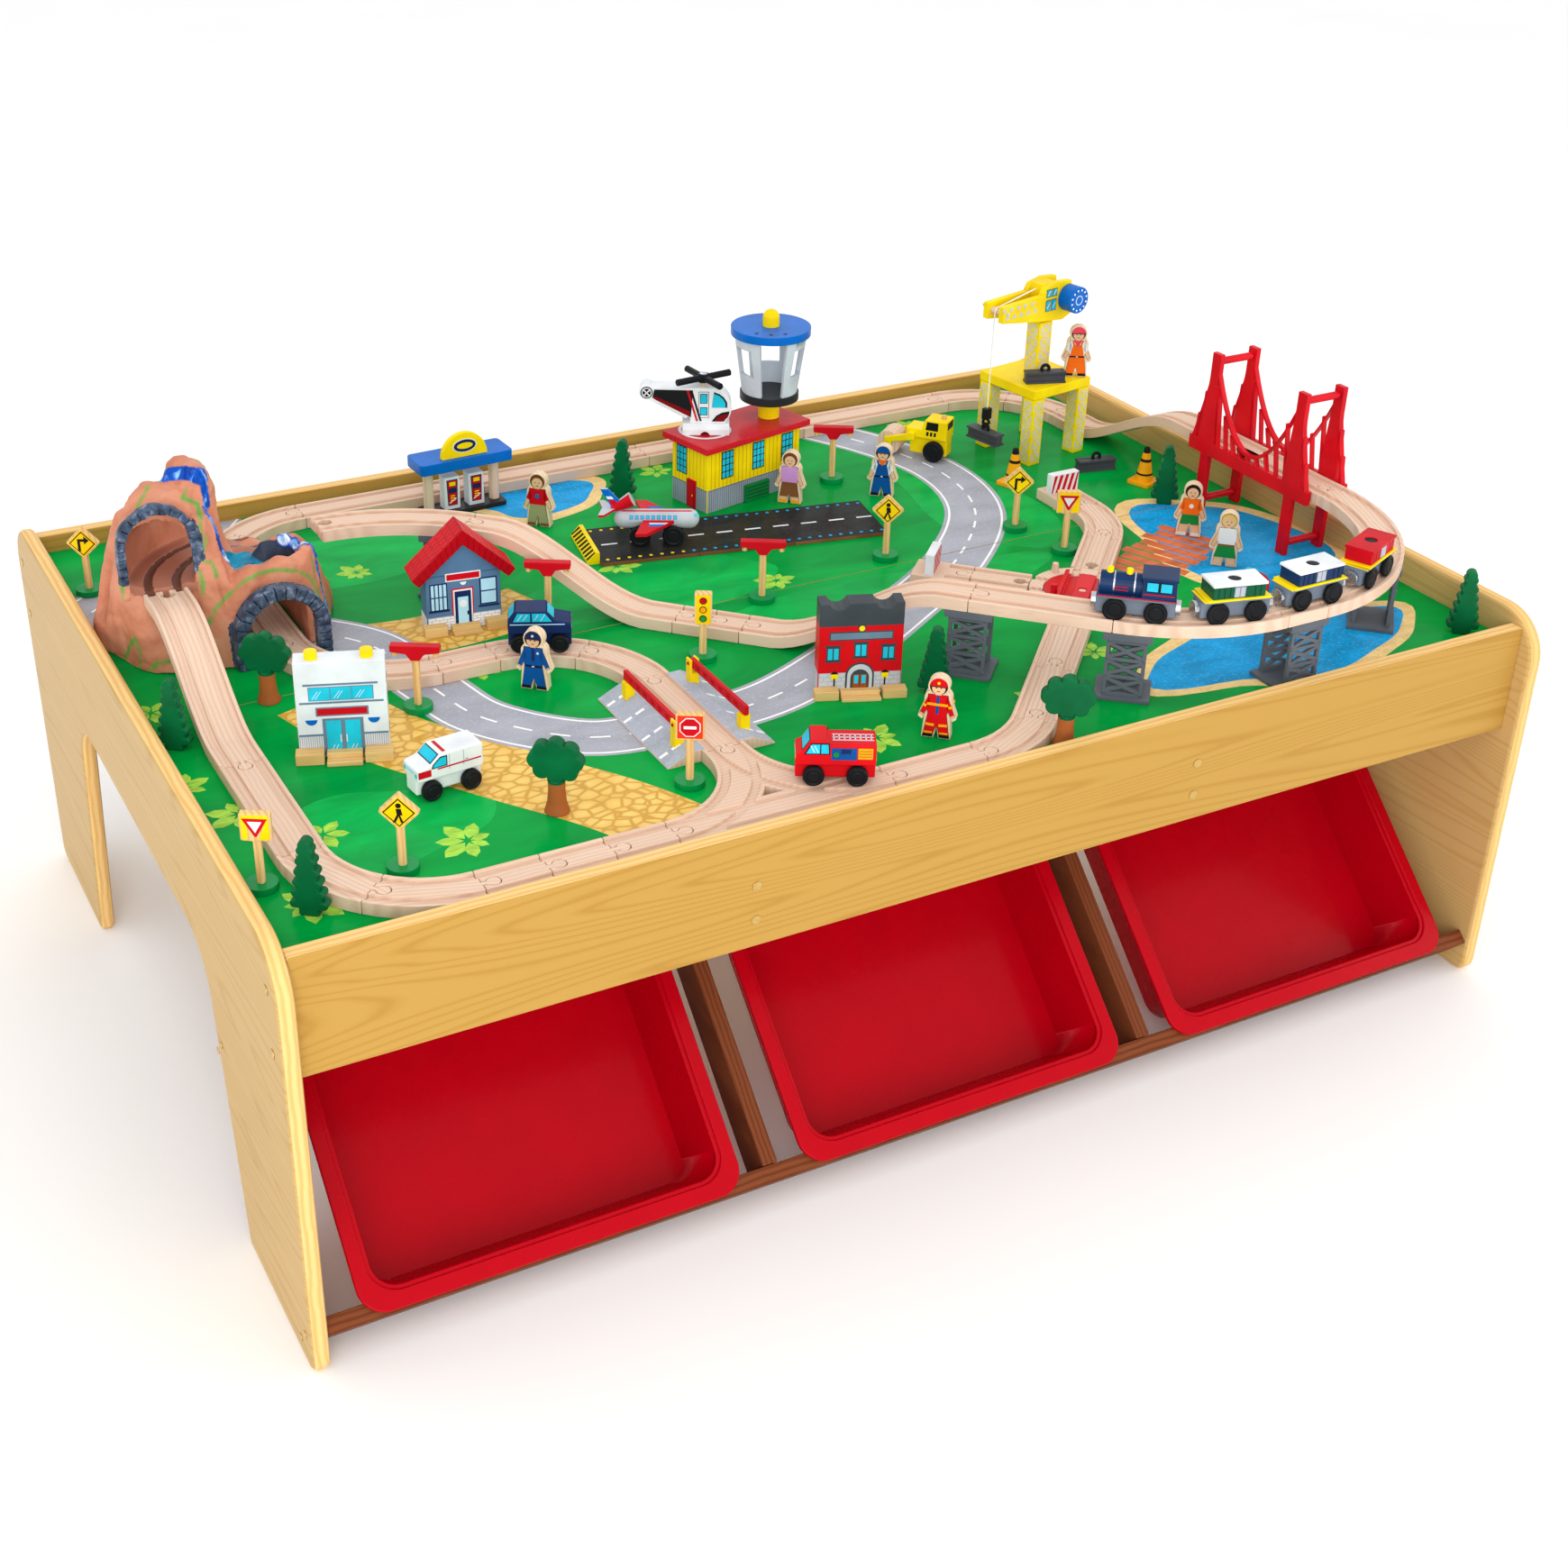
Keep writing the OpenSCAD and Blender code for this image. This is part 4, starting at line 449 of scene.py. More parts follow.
class Piece:
    """A mesh put together from small solids in millimetres, at a pose, each with its material."""

    def __init__(self, name, pose=None):
        self.name = name
        self.pose = pose or Matrix.Identity(4)
        self.bm = bmesh.new()
        self.materials = []

    def add(self, part, material, place=None, soft=0.0, steps=2):
        if soft:
            soften(part, soft, steps)
        index = slot(self.materials, material)
        for face in part.faces:
            face.material_index = index
        bmesh.ops.transform(part, matrix=self.pose @ (place or Matrix.Identity(4)), verts=part.verts)
        mesh = bpy.data.meshes.new("part")
        part.to_mesh(mesh)
        part.free()
        self.bm.from_mesh(mesh)
        bpy.data.meshes.remove(mesh)
        return self

    def box(self, material, low, high, soft=0.0, place=None):
        part = bmesh.new()
        bmesh.ops.create_cube(part, size=1)
        low, high = Vector(low), Vector(high)
        size = Matrix.Diagonal((*(high - low), 1))
        bmesh.ops.transform(part, matrix=Matrix.Translation((low + high) / 2) @ size, verts=part.verts)
        return self.add(part, material, place, soft)

    def prism(self, material, outline, start, end, plane="xz", soft=0.0, place=None):
        """An outline in one plane, carried from start to end along the third axis."""
        part = bmesh.new()
        third = {"xy": 2, "xz": 1, "yz": 0}[plane]

        def corner(p, depth):
            point = list(p)
            point.insert(third, depth)
            return part.verts.new(point)
        ends = [[corner(p, depth) for p in outline] for depth in (start, end)]
        part.faces.new(ends[0])
        part.faces.new(list(reversed(ends[1])))
        for i in range(len(outline)):
            k = (i + 1) % len(outline)
            part.faces.new([ends[0][i], ends[1][i], ends[1][k], ends[0][k]])
        bmesh.ops.recalc_face_normals(part, faces=part.faces)
        return self.add(part, material, place, soft)

    def ink(self, material, outline, layer=1, place=None):
        """A printed shape on a face that looks along -Y, in one of several layers of ink."""
        return self.prism(material, outline, -INK * layer, INK_SUNK, "xz", 0.0, place)

    def lathe(self, material, profile, place=None, steps=28):
        """A profile of radius and height, turned about the local upright axis."""
        part = bmesh.new()
        rings = []
        for r, z in profile:
            if r < 1e-6:
                rings.append([part.verts.new((0, 0, z))])
                continue
            turn = [2 * math.pi * i / steps for i in range(steps)]
            rings.append([part.verts.new((r * math.cos(a), r * math.sin(a), z)) for a in turn])
        for low, high in zip(rings, rings[1:]):
            for i in range(steps):
                k = (i + 1) % steps
                loop = [low[i % len(low)], low[k % len(low)], high[k % len(high)], high[i % len(high)]]
                face = list(dict.fromkeys(loop))
                if len(face) > 2:
                    part.faces.new(face)
        for ring in (rings[0], rings[-1]):
            if len(ring) > 1:
                part.faces.new(ring)
        bmesh.ops.recalc_face_normals(part, faces=part.faces)
        return self.add(part, material, place)

    def done(self, body=ROOT, nodes=(), axes=None):
        bmesh.ops.transform(self.bm, matrix=Matrix.Scale(MM, 4), verts=self.bm.verts)
        set_grain(self.bm, axes)
        return mount(self.name, self.bm, self.materials, body, nodes)


def arc(cx, cy, r, start, end, steps=12):
    """Points on a circle from one angle to another, in degrees."""
    turn = [math.radians(start + (end - start) * i / steps) for i in range(steps + 1)]
    return [(cx + r * math.cos(a), cy + r * math.sin(a)) for a in turn]


def rect(cx, cy, w, h):
    left, right, low, high = cx - w / 2, cx + w / 2, cy - h / 2, cy + h / 2
    return [(left, low), (right, low), (right, high), (left, high)]


def raised(outline, up):
    return [(x, z + up) for x, z in outline]


def flipped(outline):
    return [(-x, z) for x, z in outline]


# Table: end panels, rails, rack, bins and screws
ALONG_X = Matrix.Identity(3)
ALONG_Y = Matrix.Rotation(math.radians(-90), 3, "Z")
edge_band = plain_wood("edge_band", (236, 196, 128), (224, 176, 104), (196, 146, 84), 0.38, 0.08, 50.0)
core = plain_wood("board_core", (196, 160, 112), (178, 140, 94), (150, 112, 74))


def dress_table():
    for node in ("left_end_panel", "right_end_panel"):
        dress(node, lambda c, n: maple_pale if abs(n.x) > 0.7 else edge_band, 5.5, 4, ALONG_Y)
    for node in ("front_rail", "back_rail"):
        dress(node, lambda c, n: maple if abs(n.y) > 0.7 else edge_band, 1.6, 3, ALONG_X)
    dress("board_supports", core, 1.0, 2, ALONG_X)
    # The rack's wood carries painted shade and a painted red reflection of the bins
    dress("bin_rack", rack_wood_painted_shade, 1.2)
    for node in ("bin_left", "bin_middle", "bin_right"):
        dress(node, bin_red, 1.5, 3, angle=32)
    dress("frame_screws", brass, 0.35)


# Printed boards: shapes laid over each other on one flat mesh
grass = printed("print_grass", (0, 152, 62), 0.09, 7.0)
meadow = printed("print_meadow", (14, 166, 74), 0.1, 12.0)
leaf = printed("print_leaf", (158, 206, 76), 0.12, 60.0)
asphalt = printed("print_asphalt", (166, 168, 178), 0.05, 14.0, mark=(190, 192, 200))
road_white = printed("print_white", (246, 246, 246), 0.02)
pond_blue = printed("print_pond", (22, 152, 212), 0.12, 16.0, mark=(84, 186, 232))
sand = printed("print_sand", (240, 206, 140), 0.06, 40.0, mark=(214, 170, 100))
plank = printed("print_plank", (206, 110, 70), 0.12, 30.0)
cobble = pebbles("print_cobble", (244, 208, 116), (206, 158, 66))
ROAD_W = 66
LINE_W = 2.4
DASH = 18
GAP = 17
ROAD_RIM = 5
SEAM_HALF = 0.5
BLOB_POINTS = 48
SHORE = 15
PLANK_W = 12.5
PLANK_PITCH = 15


def spline(points, steps=10):
    """A smooth line through some points."""
    line = []
    last = len(points) - 1
    for i in range(last):
        a, b, c, d = (Vector(points[max(0, min(last, k))]) for k in (i - 1, i, i + 1, i + 2))
        for j in range(steps):
            t = j / steps
            line.append(0.5 * (2 * b + (c - a) * t + (2 * a - 5 * b + 4 * c - d) * t ** 2
                               + (3 * b - a - 3 * c + d) * t ** 3))
    return line + [Vector(points[-1])]


def ribbon(line, width, shift=0.0):
    """The outline of a band of one width along a line."""
    sides = ([], [])
    for i, p in enumerate(line):
        d = (line[min(i + 1, len(line) - 1)] - line[max(i - 1, 0)]).normalized()
        normal = Vector((-d.y, d.x))
        for side, s in zip(sides, (1, -1)):
            side.append(tuple(p + normal * (shift + s * width / 2)))
    return sides[0] + sides[1][::-1]


def cut(line, start, end):
    """The stretch of a line between two distances along it."""
    out, gone = [], 0.0
    for a, b in zip(line, line[1:]):
        step = (b - a).length
        for t in (start - gone, end - gone):
            if 0 <= t < step:
                out.append(a + (b - a) * t / step)
        gone += step
        if start < gone < end:
            out.append(b)
    return out


def road(points):
    """A road with white edges and a broken middle line, as layers of print."""
    line = spline(points)
    length = sum((b - a).length for a, b in zip(line, line[1:]))
    layers = [(asphalt, ribbon(line, ROAD_W))]
    layers += [(road_white, ribbon(line, LINE_W, s * (ROAD_W / 2 - ROAD_RIM))) for s in (-1, 1)]
    for k in range(int(length / (DASH + GAP))):
        start = k * (DASH + GAP) + GAP / 2
        layers.append((road_white, ribbon(cut(line, start, start + DASH), LINE_W)))
    return layers


def blob(x, y, rx, ry, lobes, phase, swell=0.1):
    """A wavy round outline."""
    points = []
    for i in range(BLOB_POINTS):
        a = 2 * math.pi * i / BLOB_POINTS
        r = 1 + swell * math.sin(lobes * a + phase) + 0.5 * swell * math.sin((lobes + 2) * a - phase)
        points.append((x + rx * r * math.cos(a), y + ry * r * math.sin(a)))
    return points


def tuft(x, y, size, count, phase):
    """A plant seen from above: pointed leaves round a middle."""
    layers = []
    for i in range(count):
        a = phase + 2 * math.pi * i / count
        d, n = Vector((math.cos(a), math.sin(a))), Vector((-math.sin(a), math.cos(a)))
        reach = size * (0.8 + 0.2 * math.sin(5 * i + phase))
        line = [(0.12, 0.0), (0.45, 0.24), (0.75, 0.2), (1.0, 0.0), (0.75, -0.2), (0.45, -0.24)]
        layers.append((leaf, [tuple(Vector((x, y)) + d * u * reach + n * v * reach) for u, v in line]))
    return layers


def pond(x, y, rx, ry, lobes, phase):
    shore = blob(x, y, rx + SHORE, ry + SHORE, lobes, phase)
    return [(sand, shore), (pond_blue, blob(x, y, rx, ry, lobes, phase))]


def jetty(x, y, turn, count, length):
    d = Matrix.Rotation(math.radians(turn), 2)
    layers = []
    for i in range(count):
        corners = rect((i - count / 2) * PLANK_PITCH, 4 * math.sin(2.4 * i), PLANK_W, length)
        layers.append((plank, [tuple(Vector((x, y)) + d @ Vector(p)) for p in corners]))
    return layers


MEADOWS = [(-90, 60, 150, 60), (120, -60, 190, 50), (-330, 250, 120, 60), (330, 110, 60, 150),
           (-470, -250, 90, 60)]
PONDS = [(-92, 318, 66, 44, 3, 0.6), (512, -112, 84, 118, 3, 2.2), (396, -318, 150, 56, 4, 1.0)]
JETTY = (440, -96, 24, 9, 74)
MAIN_ROAD = [(250, 420), (318, 300), (346, 190), (318, 80), (226, -20), (110, -96), (0, -160), (-90, -196),
             (-176, -201), (-262, -190), (-330, -120), (-352, -40), (-372, 60), (-420, 120)]
SIDE_ROAD = [(-620, 215), (-560, 270), (-490, 330), (-420, 420)]
LANE = [(-236, -420), (-286, -310), (-352, -214), (-420, -110), (-452, -20)]
YARD = [(-390, 70), (-320, 60), (-250, 66), (-196, 84)]
TUFTS = [
    (-570, -180, 30, 7), (-520, -240, 24, 6), (-560, -330, 32, 8), (-600, -120, 26, 7),
    (-420, -300, 30, 7), (-300, -30, 22, 6), (-90, 120, 26, 7), (-210, 190, 30, 8),
    (-330, 220, 24, 7), (40, 20, 26, 7), (-40, -300, 28, 7), (130, -300, 26, 7),
    (60, 330, 24, 6), (420, 60, 28, 7), (390, 330, 26, 7), (230, -250, 24, 6),
    (180, 90, 22, 6), (-270, -180, 20, 6), (-420, -370, 26, 7), (-590, 20, 24, 6)]


def board_layers():
    layers = [(meadow, blob(x, y, rx, ry, 3, x)) for x, y, rx, ry in MEADOWS]
    for i, (x, y, size, count) in enumerate(TUFTS):
        layers += tuft(x, y, size, count, 0.7 * i)
    for place in PONDS:
        layers += pond(*place)
    layers += jetty(*JETTY)
    for line, width in ((LANE, 84), (YARD, 78)):
        layers.append((cobble, ribbon(spline(line), width)))
    return layers + road(SIDE_ROAD) + road(MAIN_ROAD)


def counter_clockwise(outline):
    area = sum(a[0] * b[1] - b[0] * a[1] for a, b in zip(outline, outline[1:] + outline[:1]))
    return outline if area > 0 else outline[::-1]


def print_boards():
    """Both boards: a top cut into the printed shapes, with sides and an underside."""
    low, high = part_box("play_boards")
    left, right = low.x / MM, high.x / MM
    boards = [[(left, y0), (right, y0), (right, y1), (left, y1)]
              for y0, y1 in ((low.y / MM, -SEAM_HALF), (SEAM_HALF, high.y / MM))]
    layers = [(grass, b) for b in boards] + board_layers()
    points, loops = [], []
    for _, outline in layers:
        loops.append(list(range(len(points), len(points) + len(outline))))
        points += [Vector(p) for p in counter_clockwise(outline)]
    flat, _, faces, _, _, owners = delaunay_2d_cdt(points, [], loops, 0, 1e-4)
    bm = bmesh.new()
    verts = [bm.verts.new((p.x, p.y, high.z / MM)) for p in flat]
    materials = []
    for face, owner in zip(faces, owners):
        if not set(owner) & {0, 1}:
            continue
        made = bm.faces.new([verts[i] for i in face])
        made.material_index = slot(materials, layers[max(owner)][0])
    materials.append(core)
    bmesh.ops.delete(bm, geom=[v for v in bm.verts if not v.link_faces], context="VERTS")
    rim = [e for e in bm.edges if len(e.link_faces) == 1]
    sides = bmesh.ops.extrude_edge_only(bm, edges=rim)["geom"]
    lower = [g for g in sides if isinstance(g, bmesh.types.BMVert)]
    bmesh.ops.translate(bm, vec=(0, 0, (low.z - high.z) / MM), verts=lower)
    bottom = [e for e in bm.edges if len(e.link_faces) == 1]
    bmesh.ops.edgeloop_fill(bm, edges=bottom)
    bmesh.ops.recalc_face_normals(bm, faces=bm.faces)
    for face in bm.faces:
        if face.normal.z < 0.5:
            face.material_index = len(materials) - 1
    bmesh.ops.transform(bm, matrix=Matrix.Scale(MM, 4), verts=bm.verts)
    set_grain(bm, ALONG_X)
    mount("play_boards.printed", bm, materials, ROOT, ["play_boards"])


# Railway poses, as the track lies on the board
CURVE_R = 108
WIDE_R = 190
RAMP_L = 214
DIAG = math.sqrt(0.5)
DIAGONAL_MID = (-71, -50)
DIAGONAL_HALF = 247
FLAT_L = 66
RAISED_RUN = 130
RUN_RIGHT = 566
TURN_AT = (287, -153)
TURN_OUT = 52.5 * DIAG
BLOCK_L = 58
STUB_L = 88
down_top = (DIAGONAL_MID[0] - DIAGONAL_HALF * DIAG, DIAGONAL_MID[1] + DIAGONAL_HALF * DIAG, -45)
hill_exit = (down_top[0] - WIDE_R * DIAG, down_top[1] + WIDE_R * (1 - DIAG), 0)
up_top = ahead(down_top, 2 * RAMP_L + FLAT_L)
sweep_in = ahead(up_top, RAISED_RUN)
sweep_low = turned(sweep_in, WIDE_R, 45)
sweep_l = RUN_RIGHT - WIDE_R - sweep_low[0]
sweep_mid = ahead(sweep_low, sweep_l)
gate_mid = (-176, -201, 90)
loop_out = (-284, -23, 0)
block_pose = ahead((TURN_AT[0] - TURN_OUT, TURN_AT[1] + TURN_OUT, 135), BLOCK_L)
stub_end = turned(ahead((TURN_AT[0] + TURN_OUT, TURN_AT[1] + TURN_OUT, 45), STUB_L), CURVE_R, 45)
pier_poses = [turned(hill_exit, WIDE_R, -38), ahead(up_top, 1), turned(sweep_in, WIDE_R, 4),
              ahead(sweep_low, sweep_l / 2 + 4), turned(sweep_mid, WIDE_R, 46)]

POST_AT = (48, 32)
POST_NEAR = 6
RAMP_TOP = (30, 12)
RAMP_RUN = 22
RAMP_RISE = 10.5
pier_grey = paint("pier_grey", (92, 98, 106), 0.34)
plate_print = printed("plate_print", (170, 176, 188), 0.05, 20.0, 0.3, (204, 208, 214))


def axles(toy, soft=0.3):
    for end in ("front", "rear"):
        dress(f"{toy}_axle_{end}", black, soft)


def local_rule(pose, rule):
    """A face rule in a pose's own millimetres."""
    back = pose.inverted()
    return lambda c, n: rule(back @ c, back.to_3x3() @ n)


def dress_railway():
    dress("ground_tracks", beech, 0.9)
    dress("raised_tracks", beech, 0.9)
    dress("turntable_base", beech, 0.8)
    dress("turntable_rotor", gloss_red, 0.8)
    plate = stand(gate_mid, BOARD_Z)

    def plate_rule(c, n):
        on_post = all(abs(abs(v) - at) < POST_NEAR for v, at in zip(c, POST_AT))
        if on_post and c.z > 4:
            return yellow
        return plate_print if n.z > 0.5 and c.z > 3 and abs(c.y) > 20 else beech
    dress("crossing_plate", local_rule(plate, plate_rule), 0.6)
    for node in ("gate_arm_left", "gate_arm_right"):
        dress(node, red, 0.5)
    dress("track_piers", pier_grey, 0.5)
    dress("suspension_bridge", gloss_red, 0.7)


def crossing_marks():
    """White dashes on both ramps of the crossing."""
    marks = Piece("crossing_marks", stand(gate_mid, BOARD_Z))
    for s in (-1, 1):
        for x in (-52, -18, 18, 52):
            for span in ((0.06, 0.42), (0.6, 0.94)):
                line = [(s * (RAMP_TOP[0] + RAMP_RUN * t), RAMP_TOP[1] - RAMP_RISE * t) for t in span]
                outline = raised(line, INK) + raised(line[::-1], -INK_SUNK)
                marks.prism(road_white, outline, x - 1.6, x + 1.6, "yz")
    marks.done()


def pier_rivets():
    """Rivet heads down both lattice walls of each pier."""
    for k, pose in enumerate(pier_poses):
        rivets = Piece(f"pier_rivets.{k}", stand(pose, BOARD_Z))
        head = [(1.5, -0.2), (1.4, 0.5), (0.8, 1.0), (0.0, 1.1)]
        for s in (-1, 1):
            turn = Matrix.Rotation(math.radians(s * -90), 4, "X")
            for x in (-16.2, 16.2):
                for row in range(4):
                    spot = Matrix.Translation((x, s * 18, 7 + row * 17.2)) @ turn
                    rivets.lathe(pier_grey, head, spot, 12)
        rivets.done()


# Rock hill with its stone arches, moss and painted water; points are x, y and height over the board
HILL_VOXEL = 1.6
RUN_LEFT = -548
LOW_ARCH_X = -453
GROOVE_MID = 12.5
GROOVE_W = 7.5
STONE_H = 7.5
# How far the painted shade behind the arch stones sits back
SEAM_SHADE_IN = 1.2
hill_rock = rock("hill_rock")
arch_stone = stone("arch_stone")
# Near-black backing behind the arch stones: painted shade in the seams between them
arch_seam_shade = paint("arch_seam_shade", (30, 34, 44), 0.6, 0.0, 0.2)
bed_brown = paint("hill_track_brown", (176, 116, 94), 0.4)
# Darker brown in the bed's grooves: painted shade in the recesses
bed_groove_shade = paint("hill_groove_painted_shade", (112, 72, 58), 0.45)
BEND_Y = 96
HILL_TURN = hill_exit[1] - BEND_Y
MOUTH_Y = 98
MOUTH_HALF = 30
MOUTH_TOP = 520
GALLERY_HALF = 29.8
GALLERY_LOW = 440
GALLERY_TOP = 506
BED_TOP = 449.5
RINGS = {"low_arch_stones": (LOW_ARCH_X, (60, 75), BOARD_Z, (64, 63, 13), 13),
         "high_arch_stones": (RUN_LEFT, (101.6, 111), 456, (58, 62, 8), 11, False)}
RING_NEAR = 2.4
FALL = [(-493, 147, 158), (-491, 145, 146), (-491, 142, 133), (-495, 120, 129), (-493, 112, 115),
        (-490, 111, 102), (-487, 113, 90)]
RIM_FALL = [(-424, 130, 90), (-412, 124, 90), (-400, 120, 72), (-390, 118, 48), (-380, 116, 24),
            (-376, 114, 4)]
MARKS = {
    "water": [
        (8.0, [(-526, 164, 155), (-519, 157, 161), (-510, 152, 163), (-501, 147, 163), (-493, 147, 158)]),
        (5.2, FALL),
        (8.0, RIM_FALL)],
    "foam": [
        (4.6, [(-489, 111, 96), (-486, 115, 87), (-482, 124, 76)]),
        (6.0, [(-426, 130, 90), (-416, 127, 91)]),
        (6.0, [(-384, 117, 30), (-378, 115, 8)])],
    "pond": [(15.0, [(-482, 134, 72), (-466, 138, 74), (-452, 138, 75)])],
    "slate": [(12.0, [(-445, 135, 81), (-435, 134, 78), (-427, 134, 78)])],
    "moss": [
        (3.4, [(-515, 84, 44), (-507, 86, 55), (-494, 92, 63), (-480, 86, 76), (-467, 85, 82),
               (-448, 91, 80), (-428, 94, 74), (-408, 96, 62), (-398, 96, 44)]),
        (3.6, [(-509, 139, 152), (-515, 131, 148), (-500, 136, 138), (-504, 122, 134), (-509, 106, 126),
               (-505, 102, 118), (-510, 100, 108), (-510, 98, 99), (-502, 98, 94), (-501, 96, 83)]),
        (3.2, [(-515, 97, 89), (-514, 95, 78), (-515, 93, 69)]),
        (3.4, [(-582, 100, 96), (-587, 102, 84), (-590, 104, 70), (-592, 106, 56)]),
        (3.8, [(-590, 128, 4), (-586, 122, 18), (-580, 112, 28), (-576, 106, 18), (-578, 104, 4)]),
        (3.6, [(-571, 95, 3), (-564, 90, 11), (-555, 86, 12)]),
        (3.0, [(-540, 149, 159), (-546, 142, 154), (-556, 133, 146), (-566, 126, 128)]),
        (3.0, [(-488, 168, 172), (-478, 166, 150), (-472, 164, 128), (-466, 162, 108)]),
        (3.0, [(-398, 104, 80), (-392, 100, 56), (-388, 96, 30), (-384, 94, 8)])]}
WETNESS = 0.9
SMOOTHINGS = 3
LUMP_H, LUMP_SCALE = 1.7, 0.035
CREASE_H, CREASE_SCALE, CREASE_W = 2.4, 0.05, 0.25
CREASE_SHIFT = Vector((9, 3, 5))
CREST_Z, CREST_RUN, CREST_GAIN = 500, 30, 0.8
RIPPLE_SCALE = 0.3


def off_middle(p):
    """How far a point of the upper tunnel lies from the middle of its track bed."""
    if p.y < BEND_Y:
        return abs(p.x - RUN_LEFT)
    centre = Vector((RUN_LEFT + HILL_TURN, BEND_Y))
    if p.x < centre.x:
        return abs((p.xy - centre).length - HILL_TURN)
    return abs(p.y - hill_exit[1])


def in_gallery(p):
    """Whether a point lies on the upper tunnel's walls or its moulded track bed."""
    if p.y < MOUTH_Y:
        return abs(p.x - RUN_LEFT) < MOUTH_HALF and GALLERY_LOW < p.z < MOUTH_TOP
    return off_middle(p) < GALLERY_HALF and GALLERY_LOW < p.z < GALLERY_TOP


def on_ring(p, x, depth, base, size, *_):
    """Whether a point lies on the raised ring of an arch that faces -Y."""
    width, height, thick = size
    rise = p.z - base - (height - width / 2)
    off = math.hypot(p.x - x, max(0.0, rise)) - width / 2
    beside = depth[0] - RING_NEAR < p.y < depth[1] + RING_NEAR and p.z > base
    return beside and -RING_NEAR < off < thick + RING_NEAR


def hill_material(p, n):
    if any(on_ring(p, *ring) for ring in RINGS.values()):
        return arch_stone
    if not (in_gallery(p) and p.z < BED_TOP and n.z > -0.2):
        return hill_rock
    grooved = p.y > BEND_Y and abs(off_middle(p) - GROOVE_MID) < GROOVE_W / 2
    # The grooves take the darker brown of painted shade
    return bed_groove_shade if grooved else bed_brown


def hill_mesh():
    """The hill's solid as an even mesh, in millimetres."""
    rough = link(bpy.data.objects.new("hill_rough", frame["nodes"]["mountain"].data.copy()))
    remesh = rough.modifiers.new("voxels", "REMESH")
    remesh.mode = "VOXEL"
    remesh.voxel_size = HILL_VOXEL * MM
    bpy.context.view_layer.update()
    bm = bmesh.new()
    bm.from_object(rough, bpy.context.evaluated_depsgraph_get())
    bpy.data.objects.remove(rough)
    bmesh.ops.transform(bm, matrix=Matrix.Scale(1 / MM, 4), verts=bm.verts)
    return bm


def laid(tree, line, step=2.5):
    """Points along a line, each dropped on to the nearest rock."""
    points = []
    for a, b in zip(line, line[1:]):
        a, b = Vector(a), Vector(b)
        count = max(1, int((b - a).length / step))
        for i in range(count + 1):
            at = a + (b - a) * i / count + Vector((0, 0, BOARD_Z))
            points.append(tree.find_nearest(at)[0])
    return points


def set_marks(bm):
    """How far each point lies inside the runs of each paint, in centimetres."""
    tree = BVHTree.FromBMesh(bm)
    for mark, runs in MARKS.items():
        layer = bm.verts.layers.float.new(mark)
        near_by = []
        for reach, line in runs:
            points = laid(tree, line)
            kd = kdtree.KDTree(len(points))
            for i, p in enumerate(points):
                kd.insert(p, i)
            kd.balance()
            near_by.append((reach, kd))
        for v in bm.verts:
            v[layer] = max(-1.0, max((reach - kd.find(v.co)[2]) / 10 for reach, kd in near_by))


def dress_hill():
    """The hill, weathered where no train runs, with paint marked on it."""
    bm = hill_mesh()
    set_marks(bm)
    outer = [v for v in bm.verts if not in_gallery(v.co)]
    for _ in range(SMOOTHINGS):
        bmesh.ops.smooth_vert(bm, verts=outer, factor=0.5, use_axis_x=True, use_axis_y=True,
                              use_axis_z=True)
    bm.normal_update()
    wet = bm.verts.layers.float["water"]
    for v in outer:
        if v.co.z > BOARD_Z + 2:
            lump = LUMP_H * noise.fractal(v.co * LUMP_SCALE, 1.0, 2.0, 4)
            crease = min(CREASE_W, abs(noise.noise(v.co * CREASE_SCALE + CREASE_SHIFT)))
            crest = 1 + CREST_GAIN * max(0.0, min(1.0, (v.co.z - CREST_Z) / CREST_RUN))
            ripple = WETNESS * (1 + noise.noise(v.co * RIPPLE_SCALE)) if v[wet] > 0 else 0.0
            v.co += v.normal * (lump * crest - CREASE_H * (CREASE_W - crease) + ripple)
    bm.normal_update()
    materials = [hill_rock, bed_brown, bed_groove_shade, arch_stone]
    for face in bm.faces:
        face.material_index = materials.index(hill_material(face.calc_center_median(), face.normal))
    bmesh.ops.transform(bm, matrix=Matrix.Scale(MM, 4), verts=bm.verts)
    mount("mountain.weathered", bm, materials, ROOT, ["mountain"])
    for name, ring in RINGS.items():
        arch_stones(name, *ring)


def stone_block(ring, outline, depth):
    """One worn block of an arch, a little smaller than its place and standing out by its own amount."""
    middle = sum((Vector(p) for p in outline), Vector((0, 0))) / len(outline)
    worn = [middle + (Vector(p) - middle) * random.uniform(0.93, 0.97) for p in outline]
    ring.prism(arch_stone, worn, depth[0] - random.uniform(0.4, 1.8), depth[1], "xz", 1.5)


def jamb_face(s, inner, outer, low, high):
    return [(s * inner, low), (s * outer, low), (s * outer, high), (s * inner, high)]


